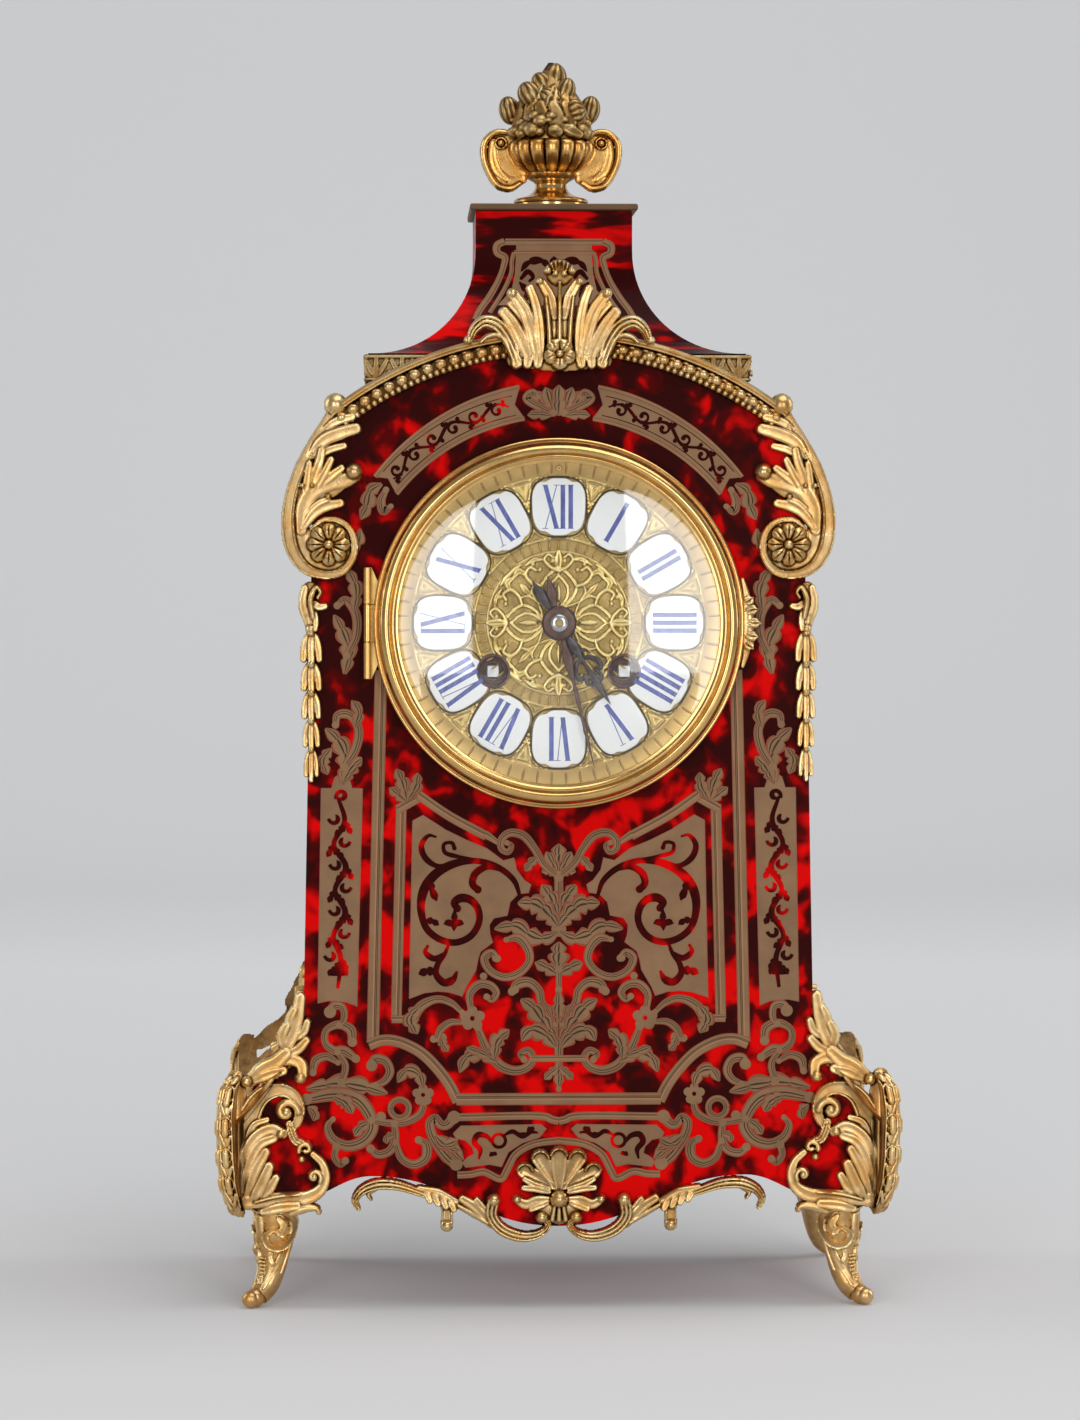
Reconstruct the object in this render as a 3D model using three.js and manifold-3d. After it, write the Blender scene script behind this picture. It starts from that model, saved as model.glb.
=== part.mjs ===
// Boulle table clock: wooden case with gilt mounts, hinged glazed bezel, dial, hands and a striking movement.
// Millimetres, +Z up, the dial faces -Y, X is zero on the dial axis and Z is zero under the feet.
import * as THREE from 'three';
import { mergeVertices } from 'three/addons/utils/BufferGeometryUtils.js';
import Module from 'manifold-3d';

const wasm = await Module();
wasm.setup();

// Clearances
const fitGap = 0.25;
const bearingGap = 0.3;

// Facets of a full circle on large and small round pieces
const largeRound = 28;
const smallRound = 10;

// Case
const caseDepth = 110;
const boardThickness = 8;
const wallThickness = 7;
const caseBottom = 40;
const footHalfWidth = 110;
const hipHalfWidth = 89.4;
const waistHalfWidth = 85.8;
const flareStart = 26;
const flareHeight = 40;
const archRadius = 126;
const apronDrop = 11.3;
const apronRise = 6.5;
const apronPeak = 66;
const apronEnd = 84;
const wallInset = 0.5;
const archBelowDial = 27.5;
const waistAboveDial = 7.5;
const deckBelowArch = 14;

// Roof
const corniceHeight = 9.8;
const corniceHalfWidth = 68.6;
const corniceWidth = 9;
const roofHalfWidth = 66.8;
const roofScoop = 38.5;
const roofNeck = 14.5;
const roofWall = 5;
const capThickness = 2.4;
const capOverhang = 2;

// Dial, bezel and glass, radii about the dial axis
const dialHeight = 240.5;
const caseHoleRadius = 57;
const ringRadius = 62;
const ringThickness = 2;
const panRadius = 56.6;
const panWall = 1.4;
const dialOpening = 51.6;
const dialPlateRadius = 54.6;
const dialPlateThickness = 1.4;
const bezelRadius = 65;
const bezelDepth = 7;
const bezelWall = 6.4;
const glassRadius = bezelRadius - bezelWall;
const glassThickness = 1.5;
const glassRise = 5.2;
const numeralRadius = 40.7;
const numeralWidth = 19.2;
const numeralHeight = 20.4;
const numeralThickness = 1.5;
const hourAngle = 147.6;
const minuteAngle = 166.3;
const hourLength = 34;
const minuteLength = 52;
const handThickness = 0.8;
const strapHalfAngle = 7;

// Bezel hinge
const hingeLength = 39;
const hingeRadius = 1.9;
const pinRadius = 0.9;

// Movement
const plateRadius = 50;
const plateThickness = 2;
const plateSpacing = 36;
const plateSetback = 10;
const windingX = 23;
const windingZ = -17;
const windingHole = 5;
const windingSquare = 3.8;
const pendulumLength = 146;
const bobRadius = 15;
const bellRadius = 28;

// Gilt mounts
const mountThickness = 3.2;
const footReach = 2.7;
const finialHeight = 54;
const finialRadius = 17;

// Heights that follow the dial: the top of the straight sides, the arch and the deck under the roof
const waistHeight = dialHeight + waistAboveDial;
const archCentreHeight = dialHeight - archBelowDial;
const archTop = archCentreHeight + archRadius;
const deckHeight = archTop - deckBelowArch;

// Depth is measured back from the front face of the front board; case space has its middle at Y zero.
const faceY = -caseDepth / 2;
const yAt = (depth) => faceY + depth;
const radians = (degrees) => (degrees * Math.PI) / 180;

const materials = {
  wood: new THREE.MeshStandardMaterial({ color: 0x6e1210, roughness: 0.35 }),
  gilt: new THREE.MeshStandardMaterial({ color: 0xc9a24e, roughness: 0.35, metalness: 1 }),
  brass: new THREE.MeshStandardMaterial({ color: 0xb59246, roughness: 0.3, metalness: 1 }),
  steel: new THREE.MeshStandardMaterial({ color: 0x33343a, roughness: 0.4, metalness: 1 }),
  enamel: new THREE.MeshStandardMaterial({ color: 0xf2f0ea, roughness: 0.15 }),
  glass: new THREE.MeshStandardMaterial({ color: 0xdfe8ea, roughness: 0.05, transparent: true, opacity: 0.25 }),
  bell: new THREE.MeshStandardMaterial({ color: 0xb8b4a6, roughness: 0.3, metalness: 1 }),
};

// Solids: a closed triangle mesh goes into manifold and comes back as plain geometry.
function toSolid(geometry) {
  const bare = geometry.clone();
  for (const name of Object.keys(bare.attributes)) {
    if (name !== 'position') bare.deleteAttribute(name);
  }
  const merged = mergeVertices(bare, 1e-4);
  const points = merged.attributes.position.array;
  const index = merged.index.array;
  const triangles = [];
  let volume = 0;
  for (let i = 0; i < index.length; i += 3) {
    const [a, b, c] = [index[i], index[i + 1], index[i + 2]];
    if (a === b || b === c || c === a) continue;
    triangles.push([a, b, c]);
    const p = new THREE.Vector3().fromArray(points, 3 * a);
    const q = new THREE.Vector3().fromArray(points, 3 * b);
    const r = new THREE.Vector3().fromArray(points, 3 * c);
    volume += p.dot(q.cross(r));
  }
  const order = volume < 0 ? ([a, b, c]) => [a, c, b] : (t) => t;
  return new wasm.Manifold(new wasm.Mesh({
    numProp: 3,
    vertProperties: Float32Array.from(points),
    triVerts: Uint32Array.from(triangles.flatMap(order)),
  }));
}

function toGeometry(solid) {
  const mesh = solid.getMesh();
  const geometry = new THREE.BufferGeometry();
  geometry.setAttribute('position', new THREE.BufferAttribute(Float32Array.from(mesh.vertProperties), 3));
  geometry.setIndex(Array.from(mesh.triVerts));
  geometry.computeVertexNormals();
  return geometry;
}

function node(parent, name, solid, material) {
  const mesh = new THREE.Mesh(toGeometry(solid), material);
  mesh.name = name;
  parent.add(mesh);
  return mesh;
}

const union = (...solids) => solids.reduce((sum, solid) => sum.add(solid));
const cut = (solid, ...tools) => tools.reduce((rest, tool) => rest.subtract(tool), solid);

// Shapes: outlines are lists of [x, z] in the front view, extruded along Y.
const toShape = (outline) => new THREE.Shape(outline.map(([x, z]) => new THREE.Vector2(x, z)));
const mirrored = (half) => [...half, ...half.map(([x, z]) => [-x, z]).reverse()];

function smooth(points, steps) {
  const curve = new THREE.CatmullRomCurve3(points.map(([x, z]) => new THREE.Vector3(x, z, 0)), true, 'centripetal');
  return curve.getPoints(steps).slice(0, -1).map((p) => [p.x, p.y]);
}

function plate(outline, holes, nearDepth, farDepth) {
  const shape = toShape(outline);
  for (const hole of holes) shape.holes.push(toShape(hole));
  const geometry = new THREE.ExtrudeGeometry(shape, { depth: farDepth - nearDepth, bevelEnabled: false });
  geometry.rotateX(Math.PI / 2);
  geometry.translate(0, yAt(farDepth), 0);
  return toSolid(geometry);
}

function sidePlate(outline, nearX, farX) {
  const geometry = new THREE.ExtrudeGeometry(toShape(outline), { depth: farX - nearX, bevelEnabled: false });
  geometry.applyMatrix4(new THREE.Matrix4().set(0, 0, 1, nearX, 1, 0, 0, 0, 0, 1, 0, 0, 0, 0, 0, 1));
  return toSolid(geometry);
}

function circle(x, z, radius, segments) {
  return Array.from({ length: segments }, (_, i) => {
    const angle = ((i + 0.5) * 2 * Math.PI) / segments;
    return [x + radius * Math.cos(angle), z + radius * Math.sin(angle)];
  });
}

// A ring or disc turned about the dial axis from a closed list of [radius, depth].
function turned(profile, segments) {
  const points = profile.map(([r, depth]) => new THREE.Vector2(r, yAt(depth)));
  points.push(points[0].clone());
  return toSolid(new THREE.LatheGeometry(points, segments));
}

// A solid turned about the dial axis whose list starts and ends on the axis.
function turnedOpen(profile) {
  const points = profile.map(([r, depth]) => new THREE.Vector2(r, yAt(depth)));
  return toSolid(new THREE.LatheGeometry(points, largeRound));
}

function rod(x, z, radius, nearDepth, farDepth, segments = 12) {
  const geometry = new THREE.CylinderGeometry(radius, radius, farDepth - nearDepth, segments);
  geometry.translate(x, yAt((nearDepth + farDepth) / 2), z);
  return toSolid(geometry);
}

function upright(x, y, radius, low, high, segments = 12) {
  const geometry = new THREE.CylinderGeometry(radius, radius, high - low, segments);
  geometry.rotateX(Math.PI / 2);
  geometry.translate(x, y, (low + high) / 2);
  return toSolid(geometry);
}

function block(x0, x1, y0, y1, z0, z1) {
  const geometry = new THREE.BoxGeometry(x1 - x0, y1 - y0, z1 - z0);
  geometry.translate((x0 + x1) / 2, (y0 + y1) / 2, (z0 + z1) / 2);
  return toSolid(geometry);
}

// A closed bar of changing thickness through a list of [x, y, z, radius].
function taperedBar(stations, sides) {
  const centres = stations.map(([x, y, z]) => new THREE.Vector3(x, y, z));
  const positions = [];
  const indices = [];
  const last = centres.length - 1;
  centres.forEach((centre, i) => {
    const along = centres[Math.min(i + 1, last)].clone().sub(centres[Math.max(i - 1, 0)]).normalize();
    const across = new THREE.Vector3(1, -1, 0).normalize();
    across.addScaledVector(along, -across.dot(along)).normalize();
    const other = new THREE.Vector3().crossVectors(along, across);
    for (let k = 0; k < sides; k += 1) {
      const angle = (k * 2 * Math.PI) / sides;
      const p = centre.clone().addScaledVector(across, Math.cos(angle) * stations[i][3]);
      p.addScaledVector(other, Math.sin(angle) * stations[i][3]);
      positions.push(p.x, p.y, p.z);
    }
  });
  for (let i = 0; i < last; i += 1) {
    for (let k = 0; k < sides; k += 1) {
      const a = i * sides + k;
      const b = i * sides + ((k + 1) % sides);
      indices.push(a, b, b + sides, a, b + sides, a + sides);
    }
  }
  for (let k = 1; k < sides - 1; k += 1) {
    indices.push(0, k + 1, k);
    indices.push(last * sides, last * sides + k, last * sides + k + 1);
  }
  const geometry = new THREE.BufferGeometry();
  geometry.setAttribute('position', new THREE.Float32BufferAttribute(positions, 3));
  geometry.setIndex(indices);
  return toSolid(geometry);
}

// Case outline: one side from the foot to the arch, inset by a given amount.
const flareLow = caseBottom + flareStart;
const flareHigh = flareLow + flareHeight;

function sideX(z) {
  if (z <= flareLow) return footHalfWidth;
  if (z >= flareHigh) {
    const rise = Math.min((z - flareHigh) / (waistHeight - flareHigh), 1);
    return hipHalfWidth + (waistHalfWidth - hipHalfWidth) * rise;
  }
  const t = (z - flareLow) / flareHeight;
  return hipHalfWidth + (footHalfWidth - hipHalfWidth) * (1 - Math.sin((t * Math.PI) / 2));
}

function sideLine(inset) {
  const line = [];
  const flareSteps = 6;
  for (let i = 0; i <= flareSteps; i += 1) {
    const z = flareLow + (flareHeight * i) / flareSteps;
    line.push([sideX(z) - inset, z]);
  }
  line.push([waistHalfWidth - inset, waistHeight]);
  return line;
}

function archLine(inset, topHeight, steps) {
  const radius = archRadius - inset;
  const startAngle = Math.acos((waistHalfWidth - inset) / radius);
  const endAngle = Math.asin(Math.min(1, (topHeight - archCentreHeight) / radius));
  return Array.from({ length: steps + 1 }, (_, i) => {
    const angle = startAngle + ((endAngle - startAngle) * i) / steps;
    return [radius * Math.cos(angle), archCentreHeight + radius * Math.sin(angle)];
  });
}

function bezierPoints(p, q, r, s, steps) {
  const curve = new THREE.CubicBezierCurve(...[p, q, r, s].map(([x, z]) => new THREE.Vector2(x, z)));
  return curve.getPoints(steps).map((v) => [v.x, v.y]);
}

function apronLine() {
  const low = caseBottom - apronDrop;
  const high = caseBottom + apronRise;
  const dip = bezierPoints([0, low], [apronPeak * 0.45, low], [apronPeak * 0.55, high], [apronPeak, high], 8);
  const fall = bezierPoints([apronPeak, high], [apronPeak + 7, high], [apronEnd - 5, caseBottom + 2],
    [apronEnd, caseBottom], 4);
  return [...dip.slice(1), ...fall.slice(1)];
}

const dialHole = (radius) => circle(0, dialHeight, radius, largeRound);

const caseGroup = new THREE.Group();
caseGroup.name = 'case_space';

// Front and back boards
const upperHalf = [[footHalfWidth, caseBottom], ...sideLine(0), ...archLine(0, archTop, 14)];
const frontRight = [...apronLine(), ...upperHalf].slice(0, -1);
const frontOutline = [[0, caseBottom - apronDrop], ...frontRight, [0, archTop],
  ...frontRight.map(([x, z]) => [-x, z]).reverse()];
node(caseGroup, 'front_panel', plate(frontOutline, [dialHole(caseHoleRadius)], 0, boardThickness), materials.wood);

const backRight = [[footHalfWidth, caseBottom], ...sideLine(0), ...archLine(0, deckHeight, 8)];
const backBoard = plate(mirrored(backRight), [dialHole(caseHoleRadius)], caseDepth - boardThickness, caseDepth);
node(caseGroup, 'back_panel', backBoard, materials.wood);

// Carcass: side walls, arched shoulders, roof deck and bottom in one glued piece.
const wallFoot = caseBottom + wallThickness;
const wallOuter = [[footHalfWidth - wallInset, caseBottom], ...sideLine(wallInset),
  ...archLine(wallInset, deckHeight, 8)];
const wallInner = wallInset + wallThickness;
const cavityHalf = [[footHalfWidth - wallInner, wallFoot + wallThickness], ...sideLine(wallInner),
  ...archLine(wallInner, deckHeight - wallThickness, 8)];
const legSlot = [[-footHalfWidth + wallInner, caseBottom], [-footHalfWidth + wallInner, wallFoot],
  [footHalfWidth - wallInner, wallFoot], [footHalfWidth - wallInner, caseBottom]];
const carcassOutline = [...mirrored(wallOuter), ...legSlot];
const carcass = plate(carcassOutline, [mirrored(cavityHalf)], boardThickness + fitGap,
  caseDepth - boardThickness - fitGap);
node(caseGroup, 'carcass', carcass, materials.wood);

// Cornice, roof shell and cap
const roofFront = boardThickness + fitGap + 1;
const corniceReach = 0.8;
const corniceLow = deckHeight + fitGap;
const corniceTop = corniceLow + corniceHeight;
const corniceOuter = block(-corniceHalfWidth, corniceHalfWidth, yAt(roofFront - corniceReach), yAt(caseDepth),
  corniceLow, corniceTop);
const corniceInner = block(-corniceHalfWidth + corniceWidth, corniceHalfWidth - corniceWidth,
  yAt(roofFront + corniceWidth), yAt(caseDepth - corniceWidth), corniceLow - 1, corniceTop + 1);
node(caseGroup, 'cornice', cut(corniceOuter, corniceInner), materials.gilt);

const roofFoot = corniceTop + fitGap;
const roofTop = roofFoot + roofScoop + roofNeck;

function scoop(edge, inward, inset, top) {
  const steps = 8;
  const line = [[edge - inward * inset, roofFoot]];
  for (let i = 1; i <= steps; i += 1) {
    const angle = (i * Math.PI) / (2 * steps);
    const in0 = roofScoop * Math.sin(angle);
    const up = roofScoop * (1 - Math.cos(angle));
    line.push([edge - inward * (in0 + inset), roofFoot + up]);
  }
  line.push([edge - inward * (roofScoop + inset), top]);
  return line;
}

function bellBlock(inset, top) {
  const frontView = plate(mirrored(scoop(roofHalfWidth, 1, inset, top)), [], 0, caseDepth + 1);
  const front = scoop(yAt(roofFront), -1, inset, top);
  const backY = yAt(caseDepth - inset);
  const sideView = sidePlate([...front, [backY, top], [backY, roofFoot]], -corniceHalfWidth, corniceHalfWidth);
  return frontView.intersect(sideView);
}

const neckHalfWidth = roofHalfWidth - roofScoop;
const neckFront = roofFront + roofScoop;
const capLow = roofTop + fitGap;
const capTop = capLow + capThickness;
const studHole = 2.6;
const finialY = yAt((neckFront + caseDepth) / 2);
const roofShell = cut(bellBlock(0, roofTop), bellBlock(roofWall, roofTop - roofWall),
  upright(0, finialY, studHole, roofTop - roofWall - 1, roofTop + 1));
node(caseGroup, 'roof_shell', roofShell, materials.wood);

const capBlock = block(-neckHalfWidth - capOverhang, neckHalfWidth + capOverhang, yAt(neckFront - capOverhang),
  yAt(caseDepth), capLow, capTop);
const capPiece = cut(capBlock, upright(0, finialY, studHole, capLow - 1, capTop + 1));
node(caseGroup, 'roof_cap', capPiece, materials.wood);

// Finial: turned foot, two-handled urn and a heap of fruit
function turnedUp(profile, segments) {
  const points = profile.map(([r, z]) => new THREE.Vector2(r, z));
  const geometry = new THREE.LatheGeometry(points, segments);
  geometry.rotateX(Math.PI / 2);
  geometry.translate(0, finialY, capTop + fitGap);
  return toSolid(geometry);
}

const drawnHeight = 54;
const drawnRadius = 17;
const tall = finialHeight / drawnHeight;
const wide = finialRadius / drawnRadius;
const stud = upright(0, finialY, studHole - bearingGap, capLow - 3, capTop + 2);
const drawn = (points) => points.map(([r, z]) => [r * wide, z * tall]);
const finialRound = 18;
const finialSeat = fitGap / tall;
const footTop = 11;
const bowlLow = footTop + finialSeat;
const bowlTop = 25;
const fruitLow = bowlTop + finialSeat;
const footProfile = drawn([[0, 0], [13.8, 0], [13.8, 2], [12, 4.5], [9, 6], [6, 8], [5.2, footTop], [0, footTop]]);
node(caseGroup, 'finial_foot', union(turnedUp(footProfile, finialRound), stud), materials.gilt);

const bowlProfile = drawn([[0, bowlLow], [8.7, bowlLow], [8.7, bowlLow + 1.6], [6.5, bowlLow + 2.4], [13, 15.5],
  [16.4, 19], [17, 22], [15.2, bowlTop], [0, bowlTop]]);
const earPoints = drawn([[13.5, 24], [19, 27], [24, 29], [26, 26.5], [24.5, 23], [22, 21], [23.5, 15], [25.5, 10.5],
  [22.5, 7.2], [19, 9.5], [19, 13.5], [17, 16], [13.5, 18]]);
const earHalfDepth = 2.6 * wide;
const earDepth = finialY - faceY;
const ears = [1, -1].map((side) => {
  const outline = smooth(earPoints, 20).map(([x, z]) => [side * x, z + capTop + fitGap]);
  return plate(outline, [], earDepth - earHalfDepth, earDepth + earHalfDepth);
});
node(caseGroup, 'finial_urn', union(turnedUp(bowlProfile, finialRound), ...ears), materials.gilt);

const heapProfile = drawn([[0, fruitLow], [14, fruitLow], [15.5, 29.5], [17, 34], [15.5, 40], [11.5, 44], [9, 47],
  [6.2, 50.5], [3.2, 53], [1.2, drawnHeight], [0, drawnHeight]]);
node(caseGroup, 'finial_fruit', turnedUp(heapProfile, 12), materials.gilt);

// Gilt mounts on the front
const mountBack = -fitGap;
const mountFront = mountBack - mountThickness;

const archWidth = 8.3;
const archOuter = archRadius + 3.8;
const archThickness = 5;
const archHalfSpan = 32.5;
function arcSector(inner, outer, steps) {
  const edge = (radius) => Array.from({ length: steps + 1 }, (_, i) => {
    const angle = radians(90 - archHalfSpan + (2 * archHalfSpan * i) / steps);
    return [radius * Math.cos(angle), archCentreHeight + radius * Math.sin(angle)];
  });
  return [...edge(outer), ...edge(inner).reverse()];
}
const archFace = plate(arcSector(archOuter - archWidth, archOuter, 20), [], mountBack - archThickness, mountBack);
const archLip = plate(arcSector(archRadius + fitGap, archOuter, 20), [], mountBack - 1, boardThickness);
node(caseGroup, 'arch_moulding', union(archFace, archLip), materials.gilt);

// Volute outline about its rosette centre, for the right-hand side
const voluteX = waistHalfWidth - 5.3;
const voluteZ = dialHeight + 27.5;
const volutePoints = [[-2.1, 53.3], [2.5, 48.8], [8.1, 39.3], [13, 27.8], [16.1, 15.5], [16.8, 5], [14.7, -3.7],
  [10.2, -9.7], [3.2, -12.6], [-3.8, -11.8], [-8.7, -7.2], [-10.8, -0.2], [-8.7, 7.1], [-4.9, 11], [-8.7, 15.9],
  [-5.9, 19.4], [-11.2, 24.6], [-10.1, 29.9], [-4.9, 28.1], [-3.8, 33], [-8, 38.3], [-12.6, 45.3], [-10.8, 50.6]];
const voluteOutline = smooth(volutePoints, 36).map(([x, z]) => [voluteX + x, voluteZ + z]);
const voluteBody = plate(voluteOutline, [], mountFront, mountBack);
const rosette = rod(voluteX, voluteZ, 7.7, mountFront - 3.5, mountFront + 0.5, 16);
for (const [name, side] of [['volute_right', 1], ['volute_left', -1]]) {
  node(caseGroup, name, union(voluteBody, rosette), materials.gilt).scale.x = side;
}

// Crest, in front of the arch moulding
const crestLow = archTop - 10.7;
const crestHalf = [[0, 38.9], [5.3, 38.2], [6, 34], [8.8, 32.6], [8.4, 28.7], [11.9, 28.4], [12.9, 26.3],
  [18.2, 25.9], [17.5, 21.7], [22.8, 20], [22, 17.5], [29.4, 18.6], [34, 11.9], [32.6, 10.2],
  [28.4, 13], [23.1, 10.5],
  [20.7, 5.3], [18.6, 1.8], [9.1, 1.4], [5.6, 0.4], [0, 0]].map(([x, z]) => [x, z + crestLow]);
const crestOutline = [...crestHalf, ...crestHalf.slice(1, -1).map(([x, z]) => [-x, z]).reverse()];
const crestBack = mountBack - archThickness - fitGap;
node(caseGroup, 'crest_mount', plate(crestOutline, [], crestBack - mountThickness, crestBack), materials.gilt);

// Husk pendants down the front corners, half-round, flat against the front board
const pendantX = waistHalfWidth + 0.5;
const pendantTop = voluteZ - 14;
const pendantDrop = 69;
const huskCount = 6;
const huskRadius = 4.3;
const huskTaper = 0.42;
const huskProfile = [];
for (let i = 0; i < huskCount; i += 1) {
  const span = pendantDrop / huskCount;
  const top = pendantTop - i * span;
  const reach = huskRadius - huskTaper * i;
  huskProfile.push([reach * 0.45, top], [reach, top - span * 0.72], [reach * 0.8, top - span * 0.97]);
}
const huskPoints = [[0, pendantTop + 0.6], ...huskProfile, [0, pendantTop - pendantDrop]];
const huskGeometry = new THREE.LatheGeometry(huskPoints.map(([r, z]) => new THREE.Vector2(r, z)), 8);
huskGeometry.rotateX(Math.PI / 2);
huskGeometry.translate(pendantX, yAt(mountBack), 0);
const behindFace = block(pendantX - 10, pendantX + 10, yAt(mountBack), yAt(mountBack + 20),
  pendantTop - pendantDrop - 5, pendantTop + 5);
const pendant = cut(toSolid(huskGeometry), behindFace);
for (const [name, side] of [['pendant_right', 1], ['pendant_left', -1]]) {
  node(caseGroup, name, pendant, materials.gilt).scale.x = side;
}

// Apron mount, heights from the lowest point of the apron
const apronLow = caseBottom - apronDrop;
const apronHalf = [[0, 27.7], [7.4, 26.6], [11.9, 23.8], [11.6, 20.3], [14.4, 16.8], [17, 15], [21.4, 14.6],
  [28.4, 14.3], [35.4, 19.8], [49.4, 23.1], [61.6, 24.5], [70, 21], [72.1, 16], [69.5, 14.5], [65, 17.4],
  [56.4, 17.9], [45.9, 15.1], [40, 9], [38, 4.3], [35.2, 7.4], [28.4, 5.6], [21.4, 0], [12.6, -4.2],
  [5.6, -2.4], [0, -0.5]];
const apronOutlinePoints = apronHalf.map(([x, z]) => [x, z + apronLow]);
const apronOutline = [...apronOutlinePoints,
  ...apronOutlinePoints.slice(1, -1).map(([x, z]) => [-x, z]).reverse()];
const shellBoss = rod(0, apronLow + 13, 9, mountFront - 3, mountFront + 0.5, 16);
node(caseGroup, 'apron_mount', union(plate(apronOutline, [], mountFront, mountBack), shellBoss), materials.gilt);

// Room that the cutting tools for a foot take up, well past the piece
const footRoom = 60;
const footMargin = 20;

// Corner feet: a pierced wing on each face, a corner ridge, a sole plate and a cabriole leg
const cornerX = footHalfWidth + footReach;
const cornerY = faceY - footReach;
const wingPoints = [[-3, -4.3], [-3, 38], [4.1, 40.5], [9, 47.6], [16.1, 50.6], [16.5, 60.3], [22.8, 70.4],
  [24.3, 64.8], [24.5, 41.6], [21.7, 22.9], [27.7, 16.1], [32.6, 6.4], [30.7, -1], [21, -4.8]];
const wingHoles = [[[4.9, 25.1], [6.7, 30.4], [12.7, 34.9], [13.3, 24.8]],
  [[7.9, 10.2], [10.5, 16.9], [18.7, 18.4], [29.2, 3.4], [14.2, 4.2]]];
const onFront = (points) => points.map(([u, v]) => [cornerX - u, caseBottom + v]);
const onSide = (points) => points.map(([u, v]) => [cornerY + u, caseBottom + v]);
const frontWing = plate(onFront(wingPoints), wingHoles.map(onFront), mountFront, mountBack);

const bandHeights = [caseBottom - 12, flareLow];
for (let i = 1; i <= 6; i += 1) bandHeights.push(flareLow + (flareHeight * i) / 6);
bandHeights.push(flareHigh + 10);
const bandLine = (offset) => bandHeights.map((z) => [sideX(z) + offset, z]);
const bandOutline = [...bandLine(fitGap), ...bandLine(fitGap + mountThickness).reverse()];
const sideBand = plate(bandOutline, [], -footMargin, footRoom);
const sideTools = wingHoles.map((hole) => sidePlate(onSide(hole), waistHalfWidth, cornerX + footMargin));
const sideBlank = sidePlate(onSide(wingPoints), waistHalfWidth - wallThickness, cornerX + footMargin);
const sideWing = cut(sideBlank, ...sideTools).intersect(sideBand);

const diagonal = (stations) => stations.map(([u, z, radius]) => [cornerX - u, cornerY + u, z, radius]);
const ridge = taperedBar(diagonal([[-2, caseBottom - 5, 3], [-3.6, caseBottom + 2, 4.6], [-4.2, caseBottom + 18, 4.6],
  [-4, caseBottom + 32, 4.4], [-1.5, caseBottom + 41, 2.6]]), 6);
const legScale = caseBottom / 40;
const leg = taperedBar(diagonal([[15, 37, 9.5], [15.5, 31.5, 8.2], [13.6, 24.2, 6.8], [14, 16.5, 4.9],
  [11.9, 9.1, 4.6], [7.4, 3.2, 4.4], [3, 2.2, 3.4]].map(([u, z, r]) => [u, z * legScale, r])), 7);
const soleReach = 31;
const sole = block(cornerX - soleReach, cornerX - 0.5, cornerY + 0.5, cornerY + soleReach, caseBottom - 5,
  caseBottom - fitGap);
const soleTrim = block(cornerX - soleReach - 1, cornerX - 14, cornerY + 14, cornerY + soleReach + 1, caseBottom - 6,
  caseBottom + 1);
const ground = block(cornerX - footRoom, cornerX + footMargin, cornerY - footMargin, cornerY + footRoom,
  -footMargin, 0);
const corner = cut(union(frontWing, sideWing, ridge, cut(sole, soleTrim), leg), ground);
const keepOut = block(0, footHalfWidth + fitGap / 2, faceY - fitGap / 2, 0, caseBottom - fitGap / 2, caseBottom + 30);
const footPiece = cut(corner, keepOut);
for (const [name, sx, sy] of [['foot_front_right', 1, 1], ['foot_front_left', -1, 1], ['foot_rear_right', 1, -1],
  ['foot_rear_left', -1, -1]]) {
  node(caseGroup, name, footPiece, materials.gilt).scale.set(sx, sy, 1);
}

// Dial side, in a space whose Z is zero on the dial axis
const dialGroup = new THREE.Group();
dialGroup.name = 'dial_space';
dialGroup.position.z = dialHeight;
caseGroup.add(dialGroup);

const ringBack = -fitGap;
const ringFront = ringBack - ringThickness;
const panInner = panRadius - panWall;
const coneBack = 1;
const dialFront = coneBack + fitGap;
const dialBack = dialFront + dialPlateThickness;
const bezelBack = ringFront - fitGap;
const bezelFront = bezelBack - bezelDepth;
const hingeX = -bezelRadius - 2.2;
const hingeY = yAt(bezelBack - 1.6);
const knuckle = hingeLength / 3;

function pipe(low, high) {
  return upright(hingeX, hingeY, hingeRadius, low, high, 16);
}
const pinBore = upright(hingeX, hingeY, pinRadius + bearingGap, -hingeLength, hingeLength, 16);

const ringLathe = turned([[ringRadius, ringBack], [ringRadius, ringFront], [panRadius + 0.4, ringFront],
  [dialOpening, 0.3], [dialOpening, coneBack], [panInner, -0.5], [panInner, boardThickness],
  [panRadius, boardThickness], [panRadius, ringBack]], largeRound);
function strapOutline(middle) {
  const edge = (radius) => [-1, 0, 1].map((k) => {
    const angle = radians(middle + k * strapHalfAngle);
    return [radius * Math.cos(angle), radius * Math.sin(angle)];
  });
  return [...edge(panRadius - 0.1), ...edge(panInner + 0.1).reverse()];
}
const straps = [0, 180].map((middle) => plate(strapOutline(middle), [], boardThickness - 2, caseDepth - fitGap));
const leafTab = block(hingeX - 0.6, -ringRadius + 3, yAt(ringFront), yAt(ringBack), -hingeLength / 2,
  hingeLength / 2);
const fixedKnuckles = [[-hingeLength / 2, -knuckle / 2 - fitGap], [knuckle / 2 + fitGap, hingeLength / 2]]
  .map(([low, high]) => pipe(low, high));
const tabSlot = upright(hingeX, hingeY, hingeRadius + bearingGap, -knuckle / 2 - fitGap, knuckle / 2 + fitGap, 16);
const regulatorZ = 53.2;
const regulatorBore = rod(0, regulatorZ, 1.4, -8, 8);
const hingePin = upright(hingeX, hingeY, pinRadius, -hingeLength / 2 + 0.5, hingeLength / 2 - 0.5, 12);
const ringBody = cut(union(ringLathe, ...straps, leafTab), tabSlot, regulatorBore);
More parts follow.
